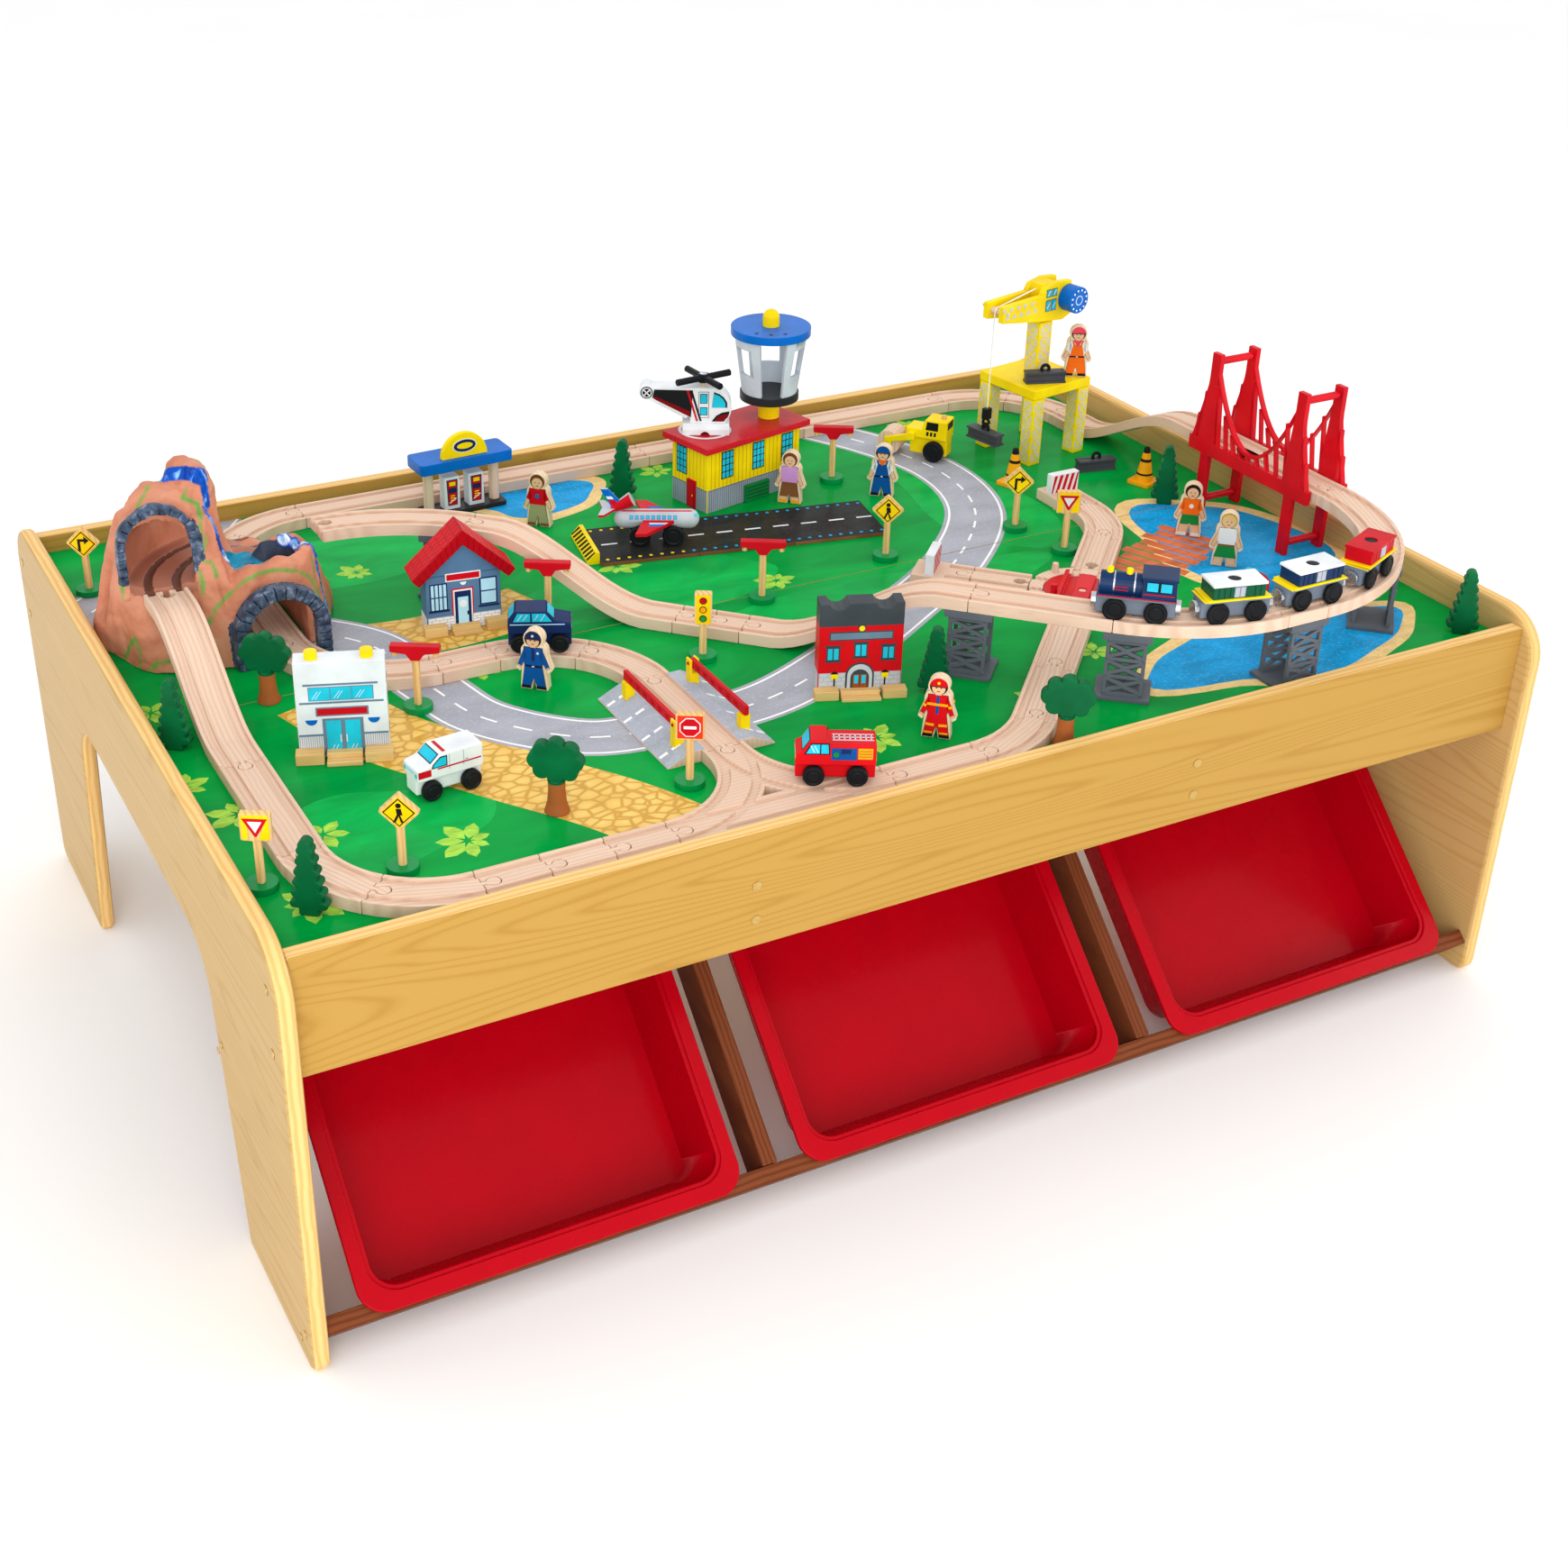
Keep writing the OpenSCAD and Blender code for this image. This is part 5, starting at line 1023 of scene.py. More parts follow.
def arch_stones(name, x, depth, base, size, count, right=True):
    """Worn blocks up the jambs and round the head of an arch that faces -Y, over a near-black backing of
    painted shade in the seams between the blocks.
    """
    width, height, thick = size
    inner, spring = width / 2, height - width / 2
    outer = inner + thick
    ring = Piece(name, Matrix.Translation((x, 0, base)))
    jamb = max(1, round(spring / STONE_H))
    rows = [(spring * i / jamb, spring * (i + 1) / jamb) for i in range(jamb)]
    for s in (-1, 1) if right else (-1,):
        for low, high in rows:
            stone_block(ring, jamb_face(s, inner, outer, low, high), depth)
        post = jamb_face(s, inner + 1, outer - 1, 0, spring)
        # Painted shade in the seams of the jamb
        ring.prism(arch_seam_shade, post, depth[0] + SEAM_SHADE_IN, depth[1])
    for i in range(count):
        turn = [180 * (1 - (i + k) / count) for k in (0, 1)]
        block = arc(0, spring, inner, *turn, 2) + arc(0, spring, outer, *reversed(turn), 2)
        stone_block(ring, block, depth)
    band = arc(0, spring, inner + 1, 180, 0, 24) + arc(0, spring, outer - 1, 0, 180, 24)
    # Painted shade in the seams round the head
    ring.prism(arch_seam_shade, band, depth[0] + SEAM_SHADE_IN, depth[1])
    ring.done()


# Printed toys: frames of faces, windows, bricks and lattice
POLICE = (-280, 55, -8)
HOSPITAL = (-462, -128, -20)
FIRE_STATION = (-12, -224, -21)
GAS_STATION = (-174, 328, 3)
TERMINAL = (112, 242, 13)
HELICOPTER = (74, 244, -27)
AIRPLANE = (-29, 152, -26)
RUNWAY = (56, 139, -11)
ROOF_UP = 77
TILE_T = 4
OVAL_Z = 76
SIDES = {"front": ((1, 0, 0), (0, -1, 0)), "back": ((-1, 0, 0), (0, 1, 0)), "right": ((0, 1, 0), (1, 0, 0)),
         "left": ((0, -1, 0), (-1, 0, 0)), "top": ((1, 0, 0), (0, 0, 1))}


def face_frame(origin, along, normal):
    """The frame of a face: one axis along it, its outside towards local -Y."""
    u, n = Vector(along).normalized(), Vector(normal).normalized()
    return Matrix.Translation(origin) @ Matrix((u, -n, u.cross(-n))).transposed().to_4x4()


def side(name, out, origin=(0, 0, 0)):
    along, normal = SIDES[name]
    return face_frame(Vector(origin) + Vector(normal) * out, along, normal)


def walls(half, depth):
    """The four faces of a block behind its front line, each with half of its width."""
    middle = (0, depth / 2, 0)
    ends = [(side(name, half, middle), depth / 2) for name in ("left", "right")]
    return [(side("front", 0), half), *ends, (side("back", depth), half)]


def level(z, levels):
    """The material of the first level that a height is above."""
    return next(material for low, material in levels if z > low)


def disc(x, z, r, steps=20):
    return arc(x, z, r, 0, 360, steps)[:-1]


def hoop(x, z, inner, outer, start, end, steps=16):
    return arc(x, z, outer, start, end, steps) + arc(x, z, inner, end, start, steps)


def bar(a, b, width):
    """A straight band between two points."""
    a, b = Vector(a), Vector(b)
    n = (b - a).orthogonal().normalized() * width / 2
    return [tuple(p) for p in (a + n, a - n, b - n, b + n)]


def both(piece, material, outline, out, layer=1):
    """The same print on the front and the back of a cut-out, each so far from its middle."""
    piece.ink(material, outline, layer, side("front", out))
    piece.ink(material, flipped(outline), layer, side("back", out))


def pane(piece, x, z, w, h, glass, rim, columns=1, rows=1, line=1.3, place=None):
    """A framed window with its bars."""
    piece.ink(rim, rect(x, z, w, h), 1, place)
    across, up = (w - line) / columns, (h - line) / rows
    for i in range(columns):
        for j in range(rows):
            centre = (x - w / 2 + line / 2 + across * (i + 0.5), z - h / 2 + line / 2 + up * (j + 0.5))
            piece.ink(glass, rect(*centre, across - line, up - line), 2, place)


def courses(piece, material, low, high, rows, length, layer=1, place=None, joint=0.6):
    """Rows of bricks or tiles, half of one out of step."""
    height = (high[1] - low[1]) / rows
    for j in range(rows):
        x = low[0] - (j % 2) * length / 2
        while x < high[0]:
            a, b = max(x, low[0]), min(x + length, high[0])
            if b - a > 2 * joint:
                z = low[1] + (j + 0.5) * height
                piece.ink(material, rect((a + b) / 2, z, b - a - joint, height - joint), layer, place)
            x += length


def truss(piece, material, low, high, cells, place, edge=1.6):
    """The triangles between crossed bars, printed cell by cell up a face."""
    step = (high[1] - low[1]) / cells
    for k in range(cells):
        x0, x1 = low[0] + edge, high[0] - edge
        z0, z1 = low[1] + k * step + edge / 2, low[1] + (k + 1) * step - edge / 2
        cx, cz, g = (x0 + x1) / 2, (z0 + z1) / 2, edge * 0.8
        for corners in ([(x0 + g, z0), (x1 - g, z0), (cx, cz - g)],
                        [(x0 + g, z1), (x1 - g, z1), (cx, cz + g)],
                        [(x0, z0 + g), (x0, z1 - g), (cx - g, cz)],
                        [(x1, z0 + g), (x1, z1 - g), (cx + g, cz)]):
            piece.ink(material, corners, 1, place)


sky = paint("pale_glass", (176, 220, 242), 0.22, 0.12)
police_blue = paint("police_blue", (84, 118, 154))
roof_red = paint("roof_red", (168, 6, 20))
tile_red = paint("tile_red", (204, 14, 30), 0.4)
dark_red = paint("dark_red", (128, 10, 22))
step_tan = plain_wood("step_wood", (226, 190, 126), (214, 172, 106), (184, 140, 84))
brick_white = paint("brick_white", (232, 234, 238), 0.4)
joint_grey = paint("joint_grey", (172, 178, 188), 0.4)
slate_grey = paint("slate_grey", (104, 126, 146), 0.36)
wall_white = paint("wall_white", (220, 226, 231), 0.3)
glass_teal = paint("glass_teal", (36, 190, 218), 0.18, 0.15, 0.1)
fire_red = paint("fire_red", (206, 16, 26))
fire_grey = paint("fire_grey", (62, 68, 74), 0.34)
door_brown = paint("door_brown", (150, 74, 36), 0.4)
stone_grey = paint("stone_grey", (190, 194, 200), 0.42)
gas_blue = paint("gas_blue", (6, 100, 190), 0.26, 0.12)
base_black = paint("base_black", (40, 40, 42), 0.3, 0.12)
siding_line = paint("siding_line", (206, 166, 6))
corrugated = paint("corrugated", (150, 160, 172), 0.34)
rib_grey = paint("rib_grey", (108, 118, 130))
bench_green = paint("bench_green", (10, 128, 60))
roof_pink = paint("terminal_red", (198, 28, 40), 0.28, 0.15)
tower_grey = paint("tower_grey", (196, 205, 213), 0.34)
runway_black = printed("runway_black", (44, 45, 44), 0.1, 40.0, 0.22, (66, 66, 62))
tile_edge = plain_wood("tile_edge", (136, 92, 58), (112, 74, 44), (80, 50, 30))


def police():
    pose = stand(POLICE, BOARD_Z)

    def rule(c, n):
        if c.z > 50 and (n.z > 0.3 or c.y < -5 or c.y > 29 or abs(c.x) > 36.5):
            return roof_red
        return step_tan if c.y < -0.1 else police_blue
    dress("police_station", local_rule(pose, rule), 0.7)
    p = Piece("police_print", pose)
    for wall, half in walls(36, 24):
        p.ink(joint_grey, rect(0, 8, 2 * half - 1.6, 15), 1, wall)
        courses(p, brick_white, (-half + 1, 1), (half - 1, 15), 5, 7.2, 2, wall)
    pane(p, -24, 36, 17, 28, sky, navy, 4, 1, 1.2)
    p.ink(navy, rect(-24, 36, 15, 1.0), 3)
    pane(p, 24, 37, 17, 28, sky, navy, 1, 2, 1.4)
    for x in (-24, 24):
        p.ink(navy, rect(x, 21.5, 20, 1.8), 2)
    door = ((red, 21, 40), (white, 18.4, 38.6), (navy, 15.6, 37), (sky, 10, 31))
    for k, (material, w, h) in enumerate(door):
        p.ink(material, rect(-1, h / 2 + 3, w, h), k + 1)
    p.ink(white, disc(-1, 27, 3.6), 5)
    p.ink(black, rect(3.4, 17, 1.4, 4), 5)
    p.ink(white, [(-3, 49)] + arc(0, 49, 3, 180, 360, 8), 2)
    p.ink(white, rect(0, 55, 34, 8.4), 1)
    p.ink(red, rect(0, 55, 31.6, 6), 2)
    for s in (-1, 1):
        p.ink(slate_grey, bar((s * 34, 59), (s * 1, 86), 1.4), 1)
        slope = face_frame((s * 50, 12 - s * 18, 58), (0, s, 0), (s * 46, 0, 50))
        courses(p, tile_red, (0.8, 0.8), (35.2, 67), 8, 7.4, 1, slope, 0.7)
        for k in range(1, 9):
            t = k / 9
            a, b = (s * 50 * (1 - t), 58 + 46 * t), (s * 43 * (1 - t), 51 + 38 * t)
            p.ink(dark_red, bar(a, b, 0.6), 1, side("front", 6))
    p.done()


def hospital():
    pose = stand(HOSPITAL, BOARD_Z)

    def rule(c, n):
        if c.z > 90.2:
            return yellow
        return step_tan if c.y < -0.1 else wall_white
    dress("hospital", local_rule(pose, rule), 0.7)
    p = Piece("hospital_print", pose)
    for z, w in ((69, 62), (52, 70), (21.5, 74.6)):
        p.ink(slate_grey, rect(0, z, w, 1.8), 1)
    pane(p, 0, 60.5, 54, 13, glass_teal, slate_grey, 3, 1, 0.7)
    for x in (-18, 0, 18):
        for d in (0, 2.6):
            p.ink(sky, bar((x - 6 + d, 56), (x - 1 + d, 63), 0.7), 3)
    p.ink(slate_grey, rect(0, 43.5, 44, 8.4), 1)
    p.ink(red, rect(0, 43.5, 41.4, 6), 2)
    for k in range(12):
        for s in (-1, 1):
            p.ink(joint_grey, rect(s * (17 + k * 1.8), 12, 0.9, 17), 1)
    p.ink(slate_grey, rect(0, 19.5, 34, 35), 2)
    for s in (-1, 1):
        p.ink(glass_teal, rect(s * 8, 19.5, 12.4, 31), 3)
        p.ink(wall_white, rect(s * 2.4, 18, 0.9, 7), 4)
        for d in (0, 3):
            p.ink(sky, bar((s * 8 - 3 + d, 6), (s * 8 + d, 12), 0.8), 4)
        p.ink(gas_blue, [(s * 26 - 5, 36)] + arc(s * 26, 36, 5, 180, 360, 10), 1)
    for wall, half in walls(38, 20)[1:]:
        for z in (69, 52, 21.5):
            p.ink(slate_grey, rect(0, z, 2 * half - 1.6, 1.8), 1, wall)
    p.done()


PARAPET_Z = 68


def fire_station():
    pose = stand(FIRE_STATION, BOARD_Z)

    def rule(c, n):
        if c.z > PARAPET_Z:
            return fire_grey
        return step_tan if c.y < -0.1 else fire_red
    dress("fire_station", local_rule(pose, rule), 0.7, cuts=(BOARD_Z + PARAPET_Z,))
    p = Piece("fire_print", pose)
    for wall, half in walls(38, 20):
        p.ink(joint_grey, rect(0, 11.5, 2 * half - 1.6, 21), 1, wall)
        courses(p, stone_grey, (-half + 1, 1), (half - 1, 22), 5, 8, 2, wall, 0.8)
    p.ink(fire_grey, rect(0, 58.5, 58, 8.6), 1)
    p.ink(slate_grey, rect(0, 58.5, 55.6, 6.4), 2)
    for x, z in ((-25, 41), (0, 44), (25, 41)):
        p.ink(fire_grey, rect(x, z + 7.6, 15, 1.8), 1)
        p.ink(fire_grey, rect(x, z - 7.4, 15, 1.8), 1)
        pane(p, x, z, 12, 13.4, glass_teal, fire_grey, 2, 1, 1.2)
    arch = [(-13, 2), (13, 2)] + arc(0, 19, 13, 0, 180, 14)
    p.ink(fire_grey, arch, 3)
    p.ink(stone_grey, [(-11.4, 2), (11.4, 2)] + arc(0, 19, 11.4, 0, 180, 14), 4)
    p.ink(fire_grey, [(-8.4, 2), (8.4, 2)] + arc(0, 17, 8.4, 0, 180, 12), 5)
    for s in (-1, 1):
        p.ink(door_brown, rect(s * 3.4, 11.5, 6.0, 18), 6)
        p.ink(glass_teal, rect(s * 3.4, 15.6, 3.6, 8), 7)
        p.ink(black, rect(s * 23, 13, 1.4, 8), 3)
        p.ink(yellow, [(s * 23 - 2.6, 16), (s * 23 + 2.6, 16), (s * 23 + 3.4, 21), (s * 23 - 3.4, 21)], 3)
        p.ink(black, [(s * 23 - 4, 21), (s * 23 + 4, 21), (s * 23, 24)], 3)
    p.ink(fire_grey, disc(0, 66, 3.4), 3)
    p.ink(yellow, disc(0, 66, 2.6), 4)
    p.done()


CANOPY_LEVELS = ((64.2, yellow), (51.8, gas_blue))
KERB_TOP = 5.2


def gas_station():
    pose = stand(GAS_STATION, BOARD_Z)

    def rule(c, n):
        if c.z < KERB_TOP:
            return base_black
        if c.z > CANOPY_LEVELS[-1][0]:
            return level(c.z, CANOPY_LEVELS)
        return wall_white if abs(c.x) < 24 else beech
    dress("gas_station", local_rule(pose, rule), 1.0)
    p = Piece("gas_print", pose)
    sign = side("front", 13.5)
    oval = [(1.9 * x, z) for x, z in disc(0, 0, 6.6, 24)]
    ovals = ((white, 1.1, 1.14), (navy, 1, 1), (yellow, 0.72, 0.5))
    for layer, (material, wide, tall) in enumerate(ovals):
        p.ink(material, [(x * wide, z * tall + OVAL_Z) for x, z in oval], layer + 1, sign)
    for pump in (-14, 14):
        for name, out, s in (("front", 8, 1), ("back", 6, -1)):
            face, x = side(name, out), s * pump
            p.ink(navy, [(x - 5.4, 9), (x + 5.4, 9), (x + 6.4, 38), (x - 6.4, 38)], 1, face)
            p.ink(red, [(x - 4.4, 9.6), (x + 4.4, 9.6), (x + 5.4, 37), (x - 5.4, 37)], 2, face)
            p.ink(yellow, rect(x, 33.4, 7, 4.2), 3, face)
            p.ink(navy, rect(x, 26, 9, 5.6), 3, face)
            for k in range(3):
                p.ink(yellow, rect(x, 20 - 2.6 * k, 5, 1.1), 3, face)
            p.ink(white, bar((x - 4, 12), (x + 4, 17), 1.0), 4, face)
    p.done()


TERMINAL_LEVELS = ((179.5, yellow), (169.5, gas_blue), (107.5, tower_grey), (97.5, base_black),
                   (77.5, yellow), (69.5, roof_pink))
TOWER = (45, -1)
HELIPAD = (-36.6, 10.5)


def terminal():
    pose = stand(TERMINAL, BOARD_Z)

    def rule(c, n):
        if c.z > TERMINAL_LEVELS[-1][0]:
            return level(c.z, TERMINAL_LEVELS)
        if c.x < -66.2:
            return red
        return bench_green if c.y < -29.3 else yellow
    dress("airport_terminal", local_rule(pose, rule), 0.7)
    p = Piece("terminal_print", pose)
    sides = (("front", 29, 66, (-38, 6, 48)), ("back", 29, 66, (-42, 0, 42)), ("left", 66, 29, (-13,)),
             ("right", 66, 29, (0,)))
    for name, out, half, windows in sides:
        wall = side(name, out)
        boards = int(half * 2 / 5.5)
        for i in range(1, boards):
            p.ink(siding_line, rect(-half + i * 2 * half / boards, 48, 0.7, 43), 1, wall)
        p.ink(corrugated, rect(0, 13, 2 * half - 1.6, 25), 1, wall)
        ribs = int(half * 2 / 3)
        for i in range(1, ribs):
            p.ink(rib_grey, rect(-half + i * 2 * half / ribs, 13, 0.6, 24), 2, wall)
        p.ink(rib_grey, rect(0, 25.4, 2 * half - 1.6, 1.0), 2, wall)
        for x in windows:
            pane(p, x, 50, 17, 31, glass_teal, black, 3, 4, 1.2, wall)
    door = side("left", 68)
    p.ink(dark_red, rect(4, 15.5, 11.6, 29), 1, door)
    p.ink(red, rect(4, 15.5, 10.2, 27.6), 2, door)
    p.ink(yellow, disc(7.4, 15, 1.0, 10), 3, door)
    for z in (5, 9, 13, 17):
        p.ink(base_black, rect(3, z, 32.6, 0.8), 1, side("front", 33))
    top = side("top", ROOF_UP)
    for start in (0, 180):
        p.ink(white, hoop(*HELIPAD, 25, 28.5, start, start + 180), 1, top)
    for a in (200, 228, 256):
        x, y = TOWER[0] + 32 * math.cos(math.radians(a)), TOWER[1] + 32 * math.sin(math.radians(a))
        p.ink(navy, disc(x, y, 2.2, 12), 1, side("top", 179))
    p.done()


HELI_UP = 12
HELI_HALF = 11
MAST_UP = 62.9
TAIL_HUB = Vector((-62, 33))


def helicopter():
    pose = stand(HELICOPTER, BOARD_Z + ROOF_UP)

    def rule(c, n):
        return step_tan if c.z > 50.3 and abs(c.x + 2) < 3 else white
    dress("helicopter", local_rule(pose, rule), 0.8)
    p = Piece("helicopter_print", pose)

    def draw(material, outline, layer=1):
        both(p, material, raised(outline, HELI_UP), HELI_HALF, layer)
    draw(black, [(-15, 6), (-52, 25.5), (-56, 27.5), (-54, 36.5), (-13, 36)])
    draw(dark_red, [(-15, 6), (-54, 26), (-54.6, 29.6), (-17, 13)], 2)
    for x, material in ((-16.5, red), (-12.6, black)):
        draw(material, [(x + 7, 2), (x + 9, 2), (x - 1, 36), (x - 3.4, 36)], 3)
    for layer, (material, r) in enumerate(((black, 6.6), (white, 5.4), (black, 4.4))):
        draw(material, disc(*TAIL_HUB, r), layer + 1)
    for a in (math.radians(45), math.radians(135)):
        blade = Vector((math.cos(a), math.sin(a))) * 4.6
        draw(white, bar(TAIL_HUB - blade, TAIL_HUB + blade, 1.2), 4)
    draw(black, rect(-1.5, 20, 11, 29))
    draw(white, rect(-1.5, 20, 10, 28), 2)
    for z, h in ((27, 11), (13, 9)):
        draw(black, rect(-1.5, z, 8, h), 3)
        draw(glass_teal, rect(-1.5, z, 6.6, h - 1.4), 4)
    brow = [(6 + 18.5 * math.cos(a), 16 + 18.5 * math.sin(a)) for a in (0.35, 0.7, 1.05, 1.4)]
    nose = [(7, 17), (23.5, 17)] + brow
    draw(black, nose)
    draw(glass_teal, [(8.4 + (x - 8.4) * 0.88, 18.4 + (z - 18.4) * 0.88) for x, z in nose], 2)
    draw(black, [(7, 1.5), (12, 8), (18, 11.5), (26, 13), (25, 8), (20, 1.5)])
    draw(dark_red, [(9.6, 1.5), (14, 7), (20, 9.4), (25.4, 10), (24, 6), (18, 1.5)], 2)
    p.done()
    dress("helicopter_rotor", black, 0.4)
    x, y, _ = ahead(HELICOPTER, -2)
    cap = Piece("rotor_cap", stand((x, y, 0), BOARD_Z + ROOF_UP + MAST_UP))
    cap.lathe(steel, [(4.2, -0.4), (4.2, 0.3), (3.4, 0.9), (1.2, 1.1), (0, 0.7)])
    cap.done("helicopter_rotor")


plane_silver = paint("plane_silver", (182, 186, 193), 0.26, 0.08)


def airplane():
    pose = stand(AIRPLANE, BOARD_Z + TILE_T)

    def rule(c, n):
        if abs(c.y) > 10.4 or (c.z > 34 and abs(c.y) > 2.2):
            return red
        return gas_blue if c.z > 38 and abs(n.z) < 0.9 and c.x < -36 else plane_silver
    dress("airplane", local_rule(pose, rule), 0.6)
    p = Piece("airplane_print", pose)
    tilt = math.radians(28)
    for s in (-1, 1):
        normal = Vector((0, s * math.cos(tilt), math.sin(tilt)))
        for k in range(9):
            at = Vector((-26 + 5.6 * k, 0, 25)) + normal * 10
            p.ink(gas_blue, rect(0, 0, 3.6, 4.0), 1, face_frame(at, (-s, 0, 0), normal))
            p.ink(glass_teal, rect(0, 0, 2.6, 3.0), 2, face_frame(at, (-s, 0, 0), normal))
        look = Vector((0.62, s * 0.55, 0.56)).normalized()
        p.ink(glass_teal, [(-2.4, -1.6), (2.2, -1.6), (1.6, 1.8), (-2.0, 1.8)], 1,
              face_frame(Vector((34, 0, 25)) + look * 10, look.cross((0, 0, 1)), look))
        for material, outline in ((silver, [(11.5, 17), (8.5, 20.6), (-7, 20.6), (-8, 17)]),
                                  (gas_blue, [(8.2, 21), (4.2, 26), (-8.6, 26), (-7.2, 21)])):
            p.ink(material, [(x, s * y) for x, y in outline], 1, side("top", 27))
    both(p, red, [(-46, 40), (-49.6, 46), (-43, 46), (-37, 40)], 2)
    both(p, white, [(-50.2, 47), (-51.8, 50), (-46, 50), (-43.8, 47)], 2)
    p.done()
    axles("airplane")


def runway():
    pose = stand(RUNWAY, BOARD_Z)
    start = -154.5

    def rule(c, n):
        if c.x < start - 0.1:
            return yellow
        return runway_black if n.z > 0.5 else tile_edge
    dress("runway", local_rule(pose, rule), 0.5)
    p = Piece("runway_print", pose)
    top = side("top", TILE_T)
    for k in range(10):
        p.ink(white, rect(start + 19 + 31 * k, 0, 17, 2.6), 1, top)
    for k in range(27):
        x = start + 8 + 11.4 * k
        ink = yellow if x < start + 98 else pond_blue
        for y in (-37, 37):
            p.ink(ink, disc(x, y, 1.9, 12), 1, top)
    slope = face_frame((start - 13, 0, 3), (0, -1, 0), (-10, 0, 9))
    for k in range(-4, 5):
        x = 8.4 * k
        stripe = [(max(-36, x - 4), 0.8), (min(36, x), 0.8), (min(36, x + 4), 12.6), (max(-36, x), 12.6)]
        p.ink(black, stripe, 1, slope)
    p.done()


# Crane
CRANE = (480, 211)
CRANE_TURN = 9.5
JIB_TURN = 191.5
CORD_X = 75.1
CORD_LOW = 64.3
CORD_HIGH = 176.3
CORD_R = 0.8
truss_grey = paint("truss_grey", (206, 204, 178), 0.3)
cord_white = printed("cord_white", (238, 238, 232), 0.06, 900.0, 0.6)
girder_grey = paint("girder_grey", (70, 72, 78), 0.3)


def crane():
    stand_pose = stand((*CRANE, CRANE_TURN), BOARD_Z)
    dress("crane_stand", yellow, 0.9)
    p = Piece("crane_stand_print", stand_pose)
    for name in ("front", "left", "right", "back"):
        for x in (-35, 35):
            for y in (-35, 35):
                leg = side(name, 8.5, (x, y, 0))
                truss(p, truss_grey, (-8, 3), (8, 76), 5, leg)
        truss(p, truss_grey, (-9.4, 92), (9.4, 150), 4, side(name, 10))
    p.done()
    head_pose = stand((*CRANE, JIB_TURN), BOARD_Z)

    def head_rule(c, n):
        return beech if c.x > 64 and abs(c.y) < 8.2 and abs(n.y) < 0.9 and c.x < 75 else yellow
    dress("crane_head", local_rule(head_pose, head_rule), 0.7)
    p = Piece("crane_head_print", head_pose)
    for name, s in (("front", 1), ("back", -1)):
        face = side(name, 15)
        for k in range(5):
            x = 22 + 11 * k
            for corners in ([(x, 169), (x + 9, 169), (x + 4.5, 175)],
                            [(x + 5.5, 182), (x + 14, 182), (x + 10, 176)]):
                p.ink(truss_grey, [(s * u, v) for u, v in corners], 1, face)
        for x in (-3, 6):
            for z, h in ((187, 9), (173, 13)):
                p.ink(navy, rect(s * x, z, 8, h), 1, face)
                p.ink(glass_teal, rect(s * x, z, 6.6, h - 1.4), 2, face)
                p.ink(white, bar((s * x - 2, z - 3), (s * x + 2, z + 3), 0.8), 3, face)
        p.ink(steel, disc(s * 70, 175, 2.4, 14), 1, face)
    p.done("crane_head")
    dress("crane_winch", gas_blue, 0.9)
    p = Piece("winch_dots", head_pose)
    knob = side("back", 33.3)
    for k in range(12):
        a = math.radians(30 * k + 15)
        p.ink(white, disc(24 + 11.5 * math.cos(a), 178 + 11.5 * math.sin(a), 1.2, 10), 1, knob)
    for start in (0, 180):
        p.ink(white, hoop(24, 178, 4.6, 5.4, start, start + 180), 1, knob)
    p.done("crane_winch")

    def hook_rule(c, n):
        return girder_grey if c.z < 38.6 else black
    dress("crane_hook", local_rule(head_pose, hook_rule), 0.35)
    crane_cord(head_pose)
    cord_lead(head_pose)


LEAD_START = (12.2, 190)
ROD_AT = (70, 175)
ROD_REACH = 4.95


def cord_lead(pose):
    """The cord from the cab's front down to the rod at the jib's end, and round it."""
    bend = arc(*ROD_AT, ROD_REACH, 100, 14, 10)
    run = [tuple(Vector(LEAD_START).lerp(Vector(bend[0]), i / 10)) for i in range(10)] + bend
    data = bpy.data.curves.new("crane_cord_lead", "CURVE")
    data.dimensions = "3D"
    data.bevel_depth = CORD_R * MM
    data.bevel_resolution = 3
    data.use_fill_caps = True
    poly = data.splines.new("POLY")
    poly.points.add(len(run) - 1)
    for point, (x, z) in zip(poly.points, run):
        point.co = (*(pose @ Vector((x, 0, z)) * MM), 1)
    data.materials.append(cord_white)
    lead = link(bpy.data.objects.new("crane_cord_lead", data))
    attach(lead, "crane_head")


def crane_cord(pose):
    """Two strands laid round each other, drawn up with the hook."""
    bm = bmesh.new()
    steps, turns, strand, lay = 300, 26, 0.42, 0.38
    for phase in (0.0, math.pi):
        rings = []
        for i in range(steps + 1):
            t = i / steps
            a = phase + 2 * math.pi * turns * t
            ring = arc(CORD_X + lay * math.cos(a), lay * math.sin(a), strand, 0, 300, 5)
            height = CORD_LOW + (CORD_HIGH - CORD_LOW) * t
            rings.append([bm.verts.new((*q, height)) for q in ring])
        for low, high in zip(rings, rings[1:]):
            for k in range(6):
                bm.faces.new([low[k], low[(k + 1) % 6], high[(k + 1) % 6], high[k]])
        bm.faces.new(rings[0][::-1])
        bm.faces.new(rings[-1])
    bmesh.ops.transform(bm, matrix=Matrix.Scale(MM, 4) @ pose, verts=bm.verts)
    set_grain(bm)
    cord = mount("crane_cord.laid", bm, [cord_white], "crane_head", ["crane_cord"])
    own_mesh(cord)


